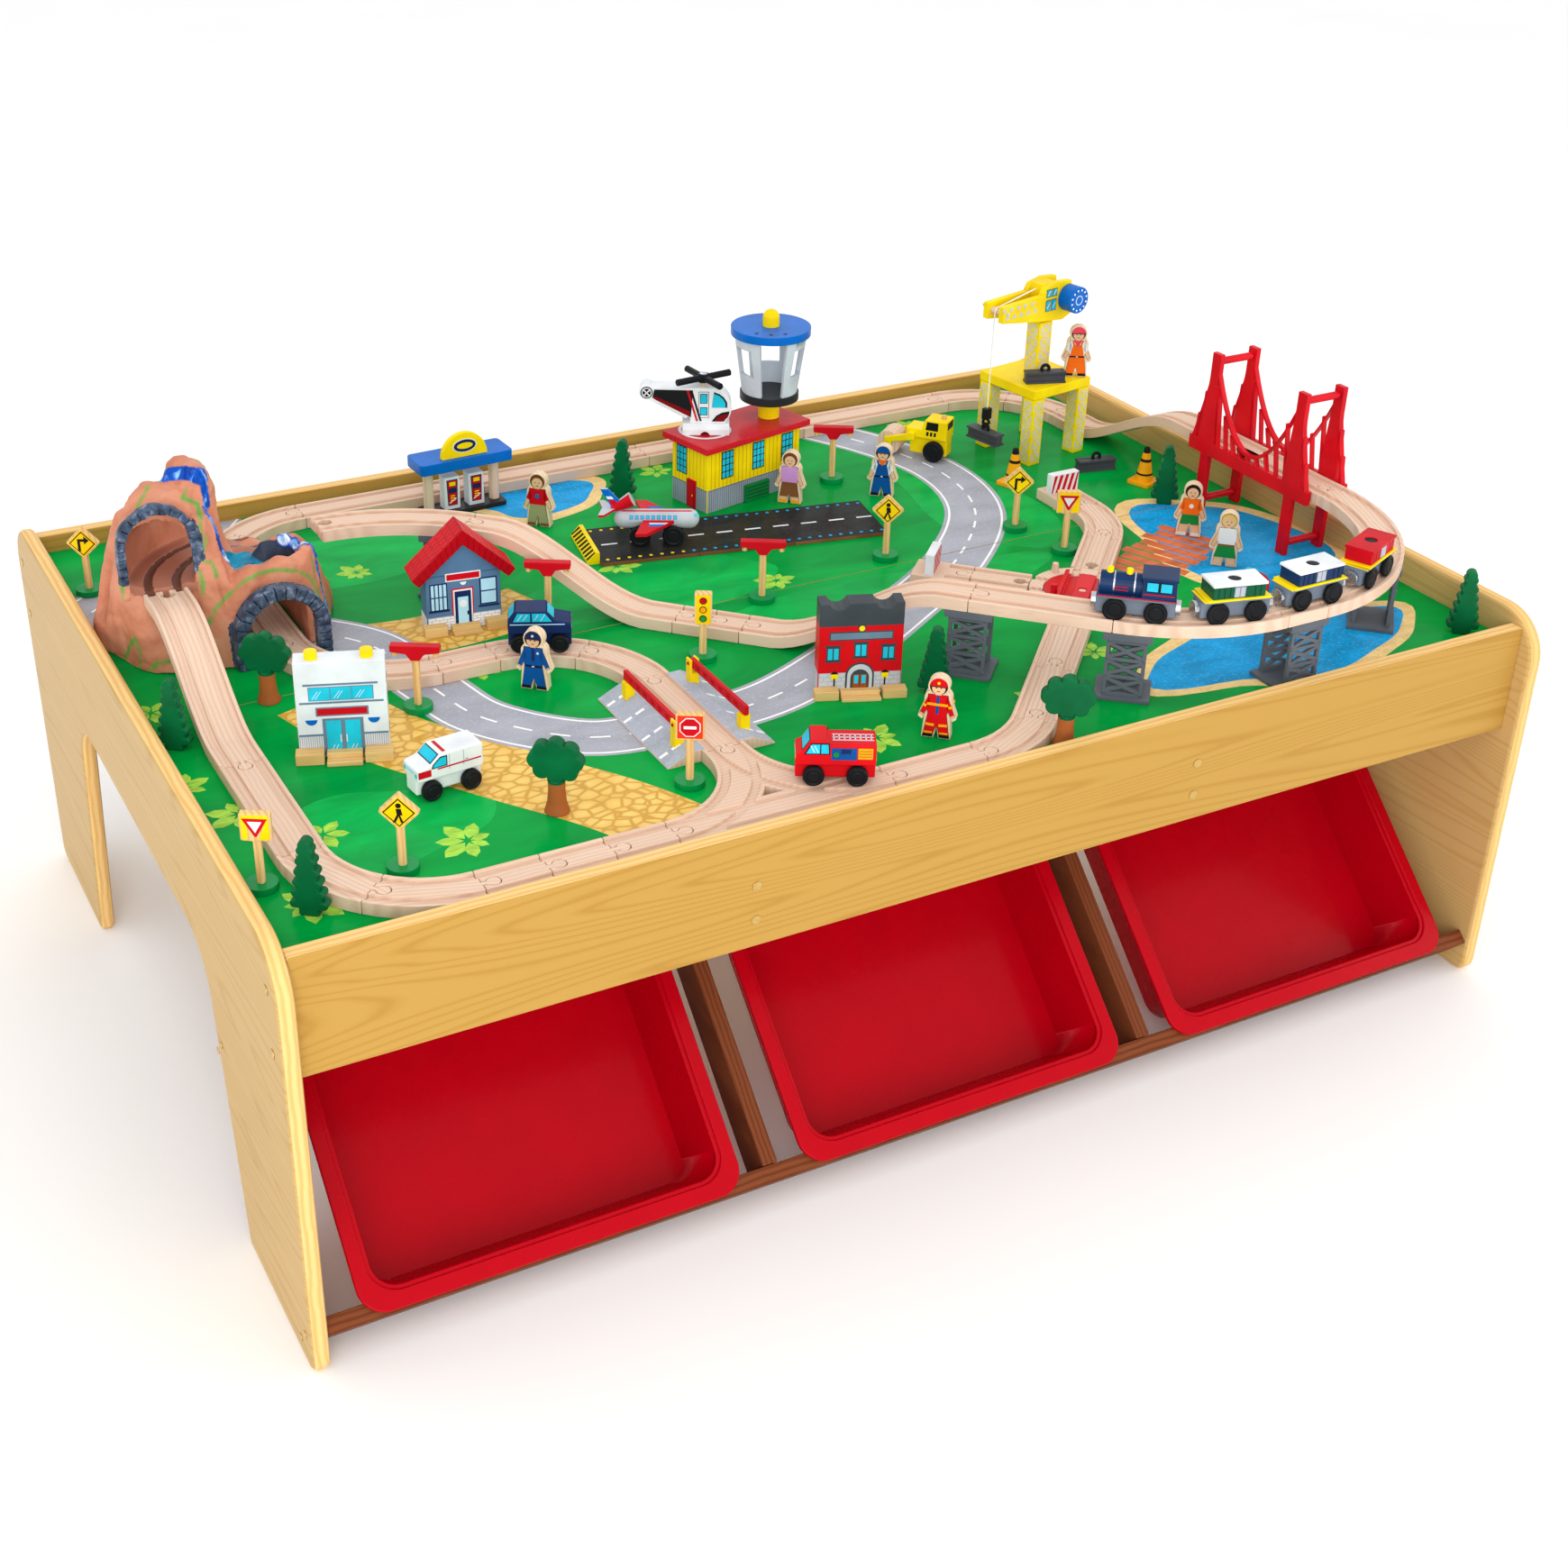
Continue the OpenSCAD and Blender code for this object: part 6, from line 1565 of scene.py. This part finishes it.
# Trees, signs, people and props
ROUND_TREES = [(-490, -4), (-338, -290), (98, -384)]
DIAMONDS = [(-579, 289), (-481, -318), (329, 22), (166, 18)]
SQUARES = [(-586, -294), (-222, -300), (341, -49)]
TRAFFIC = (-106, -100)
LAMPS = [(-377, -77), (-203, 33), (4, -14), (222, 222)]
SIGN_TURN = -30
SIGN_OUT = 3
DIAMOND_Z = 54
SQUARE_Z = 56
ARROW = [(-4.4, -8), (-1.8, -8), (-1.8, 2.2), (2, 2.2), (2, -0.6), (7, 3.6), (2, 7.6), (2, 4.8),
         (-4.4, 4.8)]
WALKER = [(-2, 3.6), (2, 3.6), (3, -2), (1, -2), (3.6, -8.6), (1.4, -8.6), (0, -3), (-2.6, -8.6),
          (-4.8, -8.6), (-1.4, -1.6)]
sign_yellow = paint("sign_yellow", (252, 206, 8), 0.3)
stop_red = paint("stop_red", (226, 56, 34), 0.3)
lamp_green = paint("lamp_green", (28, 150, 74), 0.3)
tree_dark = paint("tree_dark", (6, 96, 54), 0.4, 0.06, 0.14)


def near(c, places, reach=26):
    return any((c.xy - Vector(p)).length < reach for p in places)


def trees():
    def rule(c, n):
        return brown if near(c, ROUND_TREES) and c.z < BOARD_Z + 28.5 else tree_dark
    dress("trees", rule, 1.6, 3)


def signs():
    def rule(c, n):
        up = c.z - BOARD_Z
        if up < 6.05:
            return disc_green
        if near(c, LAMPS) and up > 49.5:
            spot = min(LAMPS, key=lambda p: (c.xy - Vector(p)).length)
            return post_wood if up < 58.1 and (c.xy - Vector(spot)).length > 14 else red
        return post_wood
    dress("road_signs", rule, 0.6)
    for k, (x, y) in enumerate(DIAMONDS):
        p = Piece(f"diamond_print.{k}", stand((x, y, SIGN_TURN), BOARD_Z))
        for layer, (material, r) in enumerate(((sign_yellow, 14), (black, 12.6), (sign_yellow, 11.2))):
            both(p, material, disc(0, DIAMOND_Z, r, 4), SIGN_OUT, layer + 1)
        for outline in ([disc(0, 6.4, 2.2, 14), WALKER] if k % 2 else [ARROW]):
            both(p, black, raised(outline, DIAMOND_Z), SIGN_OUT, 4)
        p.done()
    for k, (x, y) in enumerate(SQUARES):
        p = Piece(f"square_print.{k}", stand((x, y, SIGN_TURN), BOARD_Z))
        if k == 1:
            both(p, stop_red, rect(0, SQUARE_Z, 21, 21), SIGN_OUT)
            for layer, (material, r) in enumerate(((white, 9.4), (red, 8.4))):
                both(p, material, arc(0, SQUARE_Z, r, 22.5, 382.5, 8)[:-1], SIGN_OUT, layer + 2)
            both(p, white, rect(0, SQUARE_Z, 10.5, 2.6), SIGN_OUT, 4)
        else:
            both(p, sign_yellow, rect(0, SQUARE_Z, 21, 21), SIGN_OUT)
            for layer, (material, r) in enumerate(((red, 11.4), (white, 6.4))):
                both(p, material, arc(0, SQUARE_Z + 2, r, -90, 270, 3)[:-1], SIGN_OUT, layer + 2)
        p.done()
    p = Piece("traffic_print", stand((*TRAFFIC, SIGN_TURN), BOARD_Z))
    both(p, sign_yellow, rect(0, 52, 13, 29), 4)
    for z, material in ((61, red), (52, orange), (43, lamp_green)):
        both(p, black, disc(0, z, 3.5, 16), 4, 2)
        both(p, material, disc(0, z, 2.7, 16), 4, 3)
    p.done()


# Cut-out people: outlines of the clothes on a figure that faces -Y, in millimetres
cut_wood = plain_wood("cut_wood", (234, 212, 180), (224, 198, 164), (200, 166, 130))
contour = paint("contour_brown", (70, 44, 30), 0.45)
skin = paint("skin", (228, 184, 144), 0.42)
hair_brown = paint("hair_brown", (112, 66, 36), 0.42)
hair_black = paint("hair_black", (34, 28, 28), 0.42)
hair_fair = paint("hair_fair", (226, 190, 92), 0.42)
work_orange = paint("work_orange", (238, 106, 24), 0.4)
denim = paint("denim", (12, 78, 150), 0.4)
lilac = paint("lilac_top", (206, 150, 212), 0.4)
khaki = paint("khaki", (132, 84, 50), 0.4)
olive = paint("olive", (154, 154, 112), 0.4)
leaf_green = paint("leaf_green", (24, 136, 62), 0.4)
scarf_rose = paint("scarf_rose", (224, 70, 92), 0.4)
HAIR = (50.6, 7.4)
FACE = (49.0, 5.8)
TORSO = [(-8.6, 42.5), (-9.2, 30), (-8, 23.6), (8, 23.6), (9.2, 30), (8.6, 42.5)]
ARM = [(8, 42.3), (15, 23.4), (12, 21.4), (6.6, 33)]
SLEEVE = {"none": None, "short": [(8, 42.4), (12.4, 31.6), (8.7, 29.6), (6.6, 33)],
          "long": [(8, 42.4), (14.6, 24.8), (11.6, 22.9), (6.6, 33)]}
LEGS = [(-8, 24.4), (8, 24.4), (11, 4), (3, 4), (0, 13), (-3, 4), (-11, 4)]
LOWER = {"long": LEGS,
         "crop": [(-8, 24.4), (8, 24.4), (10.4, 8.6), (1.6, 8.6), (0, 13), (-1.6, 8.6), (-10.4, 8.6)],
         "short": [(-8, 24.4), (8, 24.4), (9.6, 14), (1, 14), (0, 16), (-1, 14), (-9.6, 14)],
         "skirt": [(-7.6, 24.6), (7.6, 24.6), (10.8, 10.5), (-10.8, 10.5)]}
SHOE = [(2.6, 4.8), (11, 4.8), (12, 1.6), (2.6, 1.6)]
BIB = [(-4.8, 38), (4.8, 38), (6.6, 31), (8, 24), (-8, 24), (-6.6, 31)]
CAP = arc(0, 51, 7.6, 0, 180, 10)
SCARF = [(-5, 42.6), (5, 42.6), (2.2, 39), (0, 36.4), (-2.2, 39)]
CONTOUR_W = 0.5
FIGURE_OUT = 5.5
FIGURE_TURN = -42
DECK_UP = 89


def grown(outline, by):
    """An outline whose corners are all moved outwards."""
    points = [Vector(q) for q in outline]
    turn = sum(q.x * r.y - q.y * r.x for q, r in zip(points, points[1:] + points[:1]))
    out = 1 if turn > 0 else -1
    made = []
    for i, q in enumerate(points):
        before, after = (q - points[i - 1]).normalized(), (points[(i + 1) % len(points)] - q).normalized()
        way = Vector((before.y + after.y, -before.x - after.x)) * out
        made.append(tuple(q + way.normalized() * by if way.length > 1e-6 else q))
    return made


def print_body(draw, top, sleeve, lower, cut, shoes):
    """Head, limbs and clothes of one figure, each over a thin dark contour."""
    draw(contour, disc(0, HAIR[0], HAIR[1] + CONTOUR_W), 1)
    draw(skin, rect(0, 43, 5, 4), 2)
    for turn in (list, flipped):
        draw(contour, grown(turn(ARM), CONTOUR_W), 1)
        draw(skin, turn(ARM), 2)
        if SLEEVE[sleeve]:
            draw(top, turn(SLEEVE[sleeve]), 3)
        draw(shoes, turn(SHOE), 4)
    for outline in (TORSO, LEGS, LOWER[cut]):
        draw(contour, grown(outline, CONTOUR_W), 1)
    draw(skin, LEGS, 2)
    draw(top, TORSO, 3)
    draw(lower, LOWER[cut], 4)


def print_face(draw, hair):
    """Hair round a plain face with two eyes and a mouth."""
    draw(hair, disc(0, *HAIR), 2)
    draw(skin, disc(0, *FACE), 3)
    for x in (-2.1, 2.1):
        draw(hair_black, disc(x, 49.6, 0.6, 8), 4)
    draw(contour, rect(0, 46.2, 2.6, 0.6), 4)


def print_bib(draw, colour):
    draw(colour, BIB, 5)
    for x in (-1, 1):
        draw(colour, bar((x * 4, 37.6), (x * 5.6, 42.4), 1.8), 5)


def print_bands(draw, colour):
    """Bright strips across a coat and its trousers."""
    draw(denim, rect(0, 33, 2.6, 17), 5)
    draw(colour, rect(0, 33.6, 18, 2.2), 6)
    for x in (-1, 1):
        draw(colour, bar((x * 9.6, 31.6), (x * 13, 32.6), 2.2), 6)
        draw(colour, bar((x * 2, 13.4), (x * 9.4, 14), 2.2), 6)
        draw(colour, bar((x * 3.2, 6), (x * 10.4, 6), 1.6), 6)


def print_cap(draw, colour, trim):
    draw(colour, CAP, 5)
    draw(contour, rect(0, 51, 15.4, 0.9), 6)
    draw(trim, disc(0, 54.4, 1.3, 10), 6)


def print_scarf(draw, colour):
    draw(colour, SCARF, 6)


def print_belt(draw, colour, buckle):
    draw(colour, rect(0, 24.2, 16, 1.6), 6)
    draw(buckle, rect(0, 24.2, 2.2, 1.2), 7)


def print_spot(draw, colour):
    draw(colour, disc(0, 34.6, 2.4, 14), 5)


def print_tie(draw, colour, badge):
    draw(colour, [(-1, 42), (1, 42), (1.3, 31), (0, 29), (-1.3, 31)], 5)
    draw(badge, disc(4.4, 37.6, 1.2, 10), 5)


def person_print(name, pose, hair, clothes, extras):
    """Simple clothes and a plain face on both sides of one cut-out."""
    p = Piece(name, pose)

    def draw(material, outline, layer):
        both(p, material, outline, FIGURE_OUT, layer)
    print_body(draw, *clothes)
    print_face(draw, hair)
    for extra, *colours in extras:
        extra(draw, *colours)
    p.done()


PEOPLE = [
    ((251, 163), hair_black, (white, "short", denim, "long", black),
     [(print_bib, denim), (print_cap, denim, denim), (print_scarf, work_orange),
      (print_belt, black, silver)]),
    ((-117, 251), hair_brown, (red, "short", olive, "long", khaki),
     [(print_spot, blue), (print_belt, olive, olive)]),
    ((151, 190), hair_brown, (lilac, "none", khaki, "crop", orange), [(print_belt, khaki, khaki)]),
    ((-267, -84), hair_black, (denim, "long", denim, "long", black),
     [(print_cap, navy, silver), (print_tie, navy, silver), (print_belt, black, silver)]),
    ((9, -320), hair_black, (fire_red, "long", fire_red, "long", black),
     [(print_cap, fire_red, yellow), (print_bands, orange)]),
    ((486, -70), hair_black, (work_orange, "short", leaf_green, "short", white),
     [(print_spot, white), (print_belt, leaf_green, leaf_green)]),
    ((470, -147), hair_fair, (white, "none", leaf_green, "skirt", skin), [(print_belt, khaki, khaki)])]
DECK_WORKER = (hair_brown, (white, "short", work_orange, "long", black),
               [(print_bib, work_orange), (print_cap, scarf_rose, scarf_rose), (print_scarf, scarf_rose),
                (print_belt, black, silver)])


def figures():
    dress("figures", cut_wood, 0.9)
    for k, ((x, y), *kit) in enumerate(PEOPLE):
        person_print(f"person_print.{k}", stand((x, y, FIGURE_TURN), BOARD_Z), *kit)
    deck = stand((*CRANE, CRANE_TURN), BOARD_Z + DECK_UP) @ stand((32, -30, FIGURE_TURN), 0)
    person_print("person_print.deck", deck, *DECK_WORKER)


CONES = [(399, 126), (533, 66)]
BOAT = (452, -205)


def cone_r(z):
    return 10 - 6 * (z - 4) / 32


def props():
    barriers = [ahead(block_pose, 40), ahead(stub_end, 40)]

    def rule(c, n):
        if near(c, CONES, 24):
            return black if c.z > BOARD_Z + 36 else orange
        if near(c, [p[:2] for p in barriers], 24):
            return white
        if near(c, [BOAT], 40):
            return teal if c.z > BOARD_Z + 8.2 else red
        return girder_grey if c.z < BOARD_Z + 13.1 or BOARD_Z + 60 < c.z < BOARD_Z + 102.1 else black
    dress("site_props", rule, 0.5)
    for k, p in enumerate(CONES):
        bands = Piece(f"cone_bands.{k}", stand((*p, 20), BOARD_Z))
        for low, high in ((11, 13), (26, 29)):
            corners = ((low, -0.4), (low, 0.3), (high, 0.3), (high, -0.4))
            ring = [(cone_r(z) + out, z) for z, out in corners]
            bands.lathe(black, ring + ring[:1])
        bands.done()
    for k, p in enumerate(barriers):
        stripes = Piece(f"barrier_print.{k}", stand(p, GROUND_TOP))
        for name in ("left", "right"):
            face = side(name, 4.5)
            for i in range(-2, 3):
                x = 7.4 * i
                stripe = [(max(-17, x - 4.4), 1.2), (min(17, x - 0.6), 1.2),
                          (min(17, x + 4.4), 20.8), (max(-17, x + 0.6), 20.8)]
                stripes.ink(red, stripe, 1, face)
        stripes.done()


# Road toys and the train
AMBULANCE = (-406, -214, 186)
PATROL = turned(loop_out, CURVE_R, -24)
TRUCK = (-119, -361, 152)
ROLLER = (352, 244, 128)
REST = 0.3
HALF = 13.5


def vehicle_rule(c, n):
    """Which toy a face belongs to, by the nearest pose."""
    kinds = ((AMBULANCE, white), (PATROL, navy), (TRUCK, fire_red), (ROLLER, yellow))
    return min(kinds, key=lambda k: (c.xy - Vector(k[0][:2])).length)[1]


def slope_frame(a, b):
    """The frame of a face that runs across a toy from point a up to point b of its side view."""
    rise = Vector((b[0] - a[0], 0, b[1] - a[1]))
    return face_frame((a[0], 0, a[1]), (0, 1, 0), (rise.z, 0, -rise.x)), rise.length


def glazing(piece, a, b, half, margin=1.6):
    """A window across a sloping face."""
    face, length = slope_frame(a, b)
    piece.ink(black, rect(0, length / 2, 2 * half, length - margin), 1, face)
    piece.ink(glass_teal, rect(0, length / 2, 2 * half - 1.8, length - margin - 1.8), 2, face)


def ambulance():
    p = Piece("ambulance_print", stand(AMBULANCE, BOARD_Z + REST))
    both(p, black, [(3, 28.6), (17.4, 28.6), (16, 32.4), (9.4, 38), (3, 38)], HALF)
    both(p, glass_teal, [(4, 29.6), (16, 29.6), (15.2, 32), (9, 37), (4, 37)], HALF, 2)
    both(p, red, rect(-8, 27.4, 40, 1.3), HALF)
    for x in (-12, 1):
        both(p, joint_grey, rect(x, 31.5, 0.5, 14), HALF)
    both(p, joint_grey, rect(-14.6, 29.6, 2.6, 0.9), HALF, 2)
    both(p, red, rect(23.6, 25.4, 11.6, 6.2), HALF)
    glazing(p, (18, 32), (9, 40), 11.4)
    front = side("right", 30)
    p.ink(sky, rect(0, 25.4, 13, 3.0), 1, front)
    for s in (-1, 1):
        p.ink(glass_teal, rect(s * 10, 24, 3.6, 3.6), 1, front)
    p.ink(joint_grey, rect(0, 30, 0.5, 17), 1, side("left", 30))
    for s in (-1, 1):
        p.ink(glass_teal, rect(s * 6, 34, 8, 6), 1, side("left", 30))
    p.ink(red, rect(4, 0, 3, 20), 1, side("top", 40))
    p.done()


def patrol():
    p = Piece("patrol_print", stand(PATROL, GROUND_TOP + REST))
    both(p, glass_teal, [(-24, 31.2), (-8.4, 31.2), (-8.4, 39.4), (-20, 39.4)], HALF)
    both(p, glass_teal, [(-6.8, 31.2), (11.4, 31.2), (5.2, 39.4), (-6.8, 39.4)], HALF)
    for x in (-18, -13, -3, 3):
        both(p, sky, [(x - 2.4, 32.2), (x - 1.6, 32.2), (x + 2.4, 38.4), (x + 1.6, 38.4)], HALF, 2)
    both(p, sky, rect(-2, 28.4, 50, 0.9), HALF)
    glazing(p, (14, 32), (6, 41), 11)
    glazing(p, (-22, 41), (-29, 32), 11)
    front = side("right", 29)
    p.ink(joint_grey, rect(0, 25.4, 14, 4.4), 1, front)
    for k in range(4):
        p.ink(black, rect(-5.2 + 3.5 * k, 25.4, 1.6, 3.4), 2, front)
    for s in (-1, 1):
        p.ink(sky, disc(s * 10, 25.4, 2.2, 14), 1, front)
        p.ink(red, rect(s * 11, 26, 3, 4), 1, side("left", 29))
    p.done()


def truck():
    p = Piece("truck_print", stand(TRUCK, GROUND_TOP + REST))
    both(p, black, [(5.0, 29), (26.4, 29), (20.8, 39.4), (5.8, 39.4)], HALF)
    both(p, glass_teal, [(6.0, 30), (12.4, 30), (12.4, 38.4), (6.7, 38.4)], HALF, 2)
    both(p, glass_teal, [(13.4, 30), (24.6, 30), (20.1, 38.4), (13.4, 38.4)], HALF, 2)
    for x in (16, 19):
        both(p, sky, [(x - 1.8, 31), (x - 0.8, 31), (x + 2.4, 37.4), (x + 1.4, 37.4)], HALF, 3)
    both(p, denim, rect(-6.5, 29.5, 21, 11), HALF)
    both(p, leaf_green, disc(0, 29, 2.4, 14), HALF, 2)
    both(p, navy, rect(-8, 32, 8, 4), HALF, 2)
    both(p, orange, rect(-24, 30, 12, 10), HALF)
    for z in (27.5, 30, 32.5):
        both(p, door_brown, rect(-24, z, 11, 0.6), HALF, 2)
    glazing(p, (28, 31), (21, 42), 11)
    top = side("top", 38)
    for y in (-5, 0, 5):
        p.ink(silver, rect(-14, y, 34, 1.1), 1, top)
    for k in range(8):
        p.ink(silver, rect(-29 + 4.4 * k, 0, 1.0, 10), 1, top)
    front = side("right", 33)
    p.ink(silver, rect(0, 25, 12, 4), 1, front)
    for s in (-1, 1):
        p.ink(sign_yellow, disc(s * 9.6, 25, 2.2, 14), 1, front)
        p.ink(orange, rect(s * 10, 24.6, 3, 4), 1, side("left", 33))
    p.done()


def roller():
    p = Piece("roller_print", stand(ROLLER, BOARD_Z + REST))
    both(p, black, [(-24, 36.4), (-9.2, 36.4), (-10.6, 46), (-24, 46)], 13)
    for k in range(3):
        x = -21.6 + 4.4 * k
        both(p, black, [(x, 29.6), (x + 2.6, 29.6), (x + 2.2, 34.4), (x - 0.4, 34.4)], 13)
    p.ink(black, rect(0, 42, 18, 8), 1, side("left", 34))
    peg = [(3.0, 47.8), (3.0, 51), (2.2, 52.4), (0, 52.8)]
    p.lathe(post_wood, peg, Matrix.Translation((-26, 0, 0)), 18)
    p.done()


def road_toys():
    dress("toy_vehicles", vehicle_rule, 1.3, 3)
    ambulance()
    patrol()
    truck()
    roller()
    for toy in ("ambulance", "patrol", "truck"):
        axles(toy, 0.4)
    dress("roller_axle", black, 0.4)
    dress("roller_drum", beech, 0.9)


RAIL_Z = 445.3
CAR_IN = 18 * 18 / WIDE_R / 2
FIRST_ARC = WIDE_R * math.pi / 4
DECK = 23.2


def car_pose(place):
    if place < FIRST_ARC:
        p = turned(sweep_in, WIDE_R, math.degrees(place / WIDE_R))
    elif place < FIRST_ARC + sweep_l:
        p = ahead(sweep_low, place - FIRST_ARC)
    else:
        p = turned(sweep_mid, WIDE_R, math.degrees((place - FIRST_ARC - sweep_l) / WIDE_R))
    x, y, heading = aside(p, CAR_IN)
    return stand((x, y, heading + 180), RAIL_Z)


frame_grey = paint("frame_grey", (112, 122, 136), 0.32)
loco_navy = paint("loco_navy", (18, 46, 88), 0.24, 0.15)
WAGONS = (("green", 102, wagon_green, white, paint("green_line", (8, 56, 36))),
          ("blue", 187, loco_navy, white, paint("blue_line", (8, 26, 56))),
          ("red", 273, red, red, paint("red_line", (142, 10, 20))))
BOILER_Z = 30.7


def locomotive():
    pose = car_pose(16)

    def rule(c, n):
        if c.z < DECK - 0.1:
            return steel if abs(c.x) > 35.2 else frame_grey
        return yellow if c.z > 42 and abs(c.y) < 3.2 and c.x > 0 else loco_navy
    dress("locomotive", local_rule(pose, rule), 0.6)
    p = Piece("loco_print", pose)
    both(p, black, rect(-19, 36.4, 23, 9.6), 14)
    for x in (-25, -13):
        both(p, glass_teal, rect(x, 36.4, 9.6, 8), 14, 2)
    both(p, red, rect(0, 24.2, 68, 0.9), 15)
    both(p, red, rect(-19, 29, 27, 0.9), 14)
    for s in (-1, 1):
        face = face_frame((14, s * 11, BOILER_Z), (-s, 0, 0), (0, s, 0))
        for z in (1.4, -1.4):
            p.ink(red, rect(0, z, 12, 0.8), 1, face)
    for layer, (material, r) in enumerate(((yellow, 3.4), (white, 2.4))):
        p.ink(material, disc(0, BOILER_Z, r, 18), layer + 1, side("right", 33))
    for x in (2, 20):
        place = Matrix.Translation((x, 0, BOILER_Z)) @ Matrix.Rotation(math.radians(90), 4, "Y")
        ring = [(10.9, 0), (11.25, 0), (11.25, 1.2), (10.9, 1.2)]
        p.lathe(steel, ring + ring[:1], place, 40)
    p.done()
    axles("loco")


def wagons():
    poses = [(car_pose(place), body, top) for _, place, body, top, _ in WAGONS]

    def rule(c, n):
        pose, body, top = min(poses, key=lambda w: (c - w[0].translation).length)
        at = pose.inverted() @ c
        if at.z < DECK - 0.1:
            return steel if abs(at.x) > 33.2 else frame_grey
        if at.z < DECK + 2.05:
            return yellow
        return body if at.z < 36.75 else top
    dress("wagons", rule, 0.6)
    for colour, place, _, _, line in WAGONS:
        p = Piece(f"{colour}_wagon_print", car_pose(place))
        both(p, frame_grey, rect(0, 31, 11, 10.4), 13)
        for x in (-2.6, 2.6):
            both(p, joint_grey, rect(x, 31, 4.4, 9.2), 13, 2)
        for x in (-20, -14.5, 9, 14.5, 20):
            both(p, line, rect(x, 31, 0.7, 10.4), 13)
        p.ink(black, disc(0, 0, 6.4, 24), 1, side("top", 37.9))
        p.done()
        axles(colour)


# Stage, light and camera
PHOTO = 1740
FOCAL = 2357.9
CENTRE = (792.1, 797.6)
EYE = (-924.9, -1655.4, 1267.5)
RIGHT = (0.88536, -0.46469, 0.01399)
DOWN = (-0.21211, -0.43054, -0.87729)
SENSOR = 36.0
FLOOR_REACH = 30.0
FLOOR_DROP = 0.0005
SURROUND = 1.03
LIGHTS = (("key_lamp", (-1.6, -2.2, 3.0), (0, 0, 0.3), 1.6, 12),
          ("front_lamp", (-1.3, -3.0, 1.2), (0, 0, 0.45), 2.2, 42),
          ("side_lamp", (2.8, -1.4, 1.2), (0, 0, 0.45), 2.0, 14),
          ("back_lamp", (0.4, 2.6, 2.6), (0, 0, 0.4), 2.0, 8))


def set_camera():
    """The photograph's view, with its shifted middle."""
    data = bpy.data.cameras.new("camera")
    data.sensor_width = SENSOR
    data.lens = FOCAL / PHOTO * SENSOR
    data.shift_x = (PHOTO / 2 - CENTRE[0]) / PHOTO
    data.shift_y = (CENTRE[1] - PHOTO / 2) / PHOTO
    data.clip_start, data.clip_end = 0.05, 100
    camera = bpy.data.objects.new("camera", data)
    right, down = Vector(RIGHT), Vector(DOWN)
    turn = Matrix((right, -down, -right.cross(down))).transposed()
    camera.matrix_world = Matrix.Translation(Vector(EYE) * MM) @ turn.to_4x4()
    bpy.context.scene.camera = link(camera)


def area_light(name, place, aim, size, power):
    data = bpy.data.lights.new(name, "AREA")
    data.shape = "DISK"
    data.size = size
    data.energy = power
    lamp = bpy.data.objects.new(name, data)
    lamp.location = place
    lamp.rotation_mode = "QUATERNION"
    lamp.rotation_quaternion = (Vector(aim) - Vector(place)).to_track_quat("-Z", "Y")
    link(lamp)


def set_stage():
    """A pale floor, a bright surround and four soft lamps."""
    f = Finish("floor_white", 0.7)
    f.colour(f.ramp(f.noise(f.place(), 2, 2), (0.3, tone(249, 249, 249)), (0.7, tone(251, 251, 251))))
    mesh = bpy.data.meshes.new("floor")
    corners = rect(0, 0, 2 * FLOOR_REACH, 2 * FLOOR_REACH)
    mesh.from_pydata([(x, y, 0) for x, y in corners], [], [(0, 1, 2, 3)])
    mesh.materials.append(f.material)
    floor = link(bpy.data.objects.new("floor", mesh))
    floor.location.z = -FLOOR_DROP
    world = bpy.data.worlds.new("surround")
    world.use_nodes = True
    background = world.node_tree.nodes["Background"].inputs
    background["Color"].default_value = (1, 1, 1, 1)
    background["Strength"].default_value = SURROUND
    bpy.context.scene.world = world
    for light in LIGHTS:
        area_light(*light)
    bpy.context.scene.view_settings.view_transform = "Standard"
    bpy.context.scene.view_settings.look = "None"


dress_table()
print_boards()
dress_railway()
crossing_marks()
pier_rivets()
dress_hill()
police()
hospital()
fire_station()
gas_station()
terminal()
helicopter()
airplane()
runway()
crane()
trees()
signs()
figures()
props()
road_toys()
locomotive()
wagons()
set_camera()
set_stage()
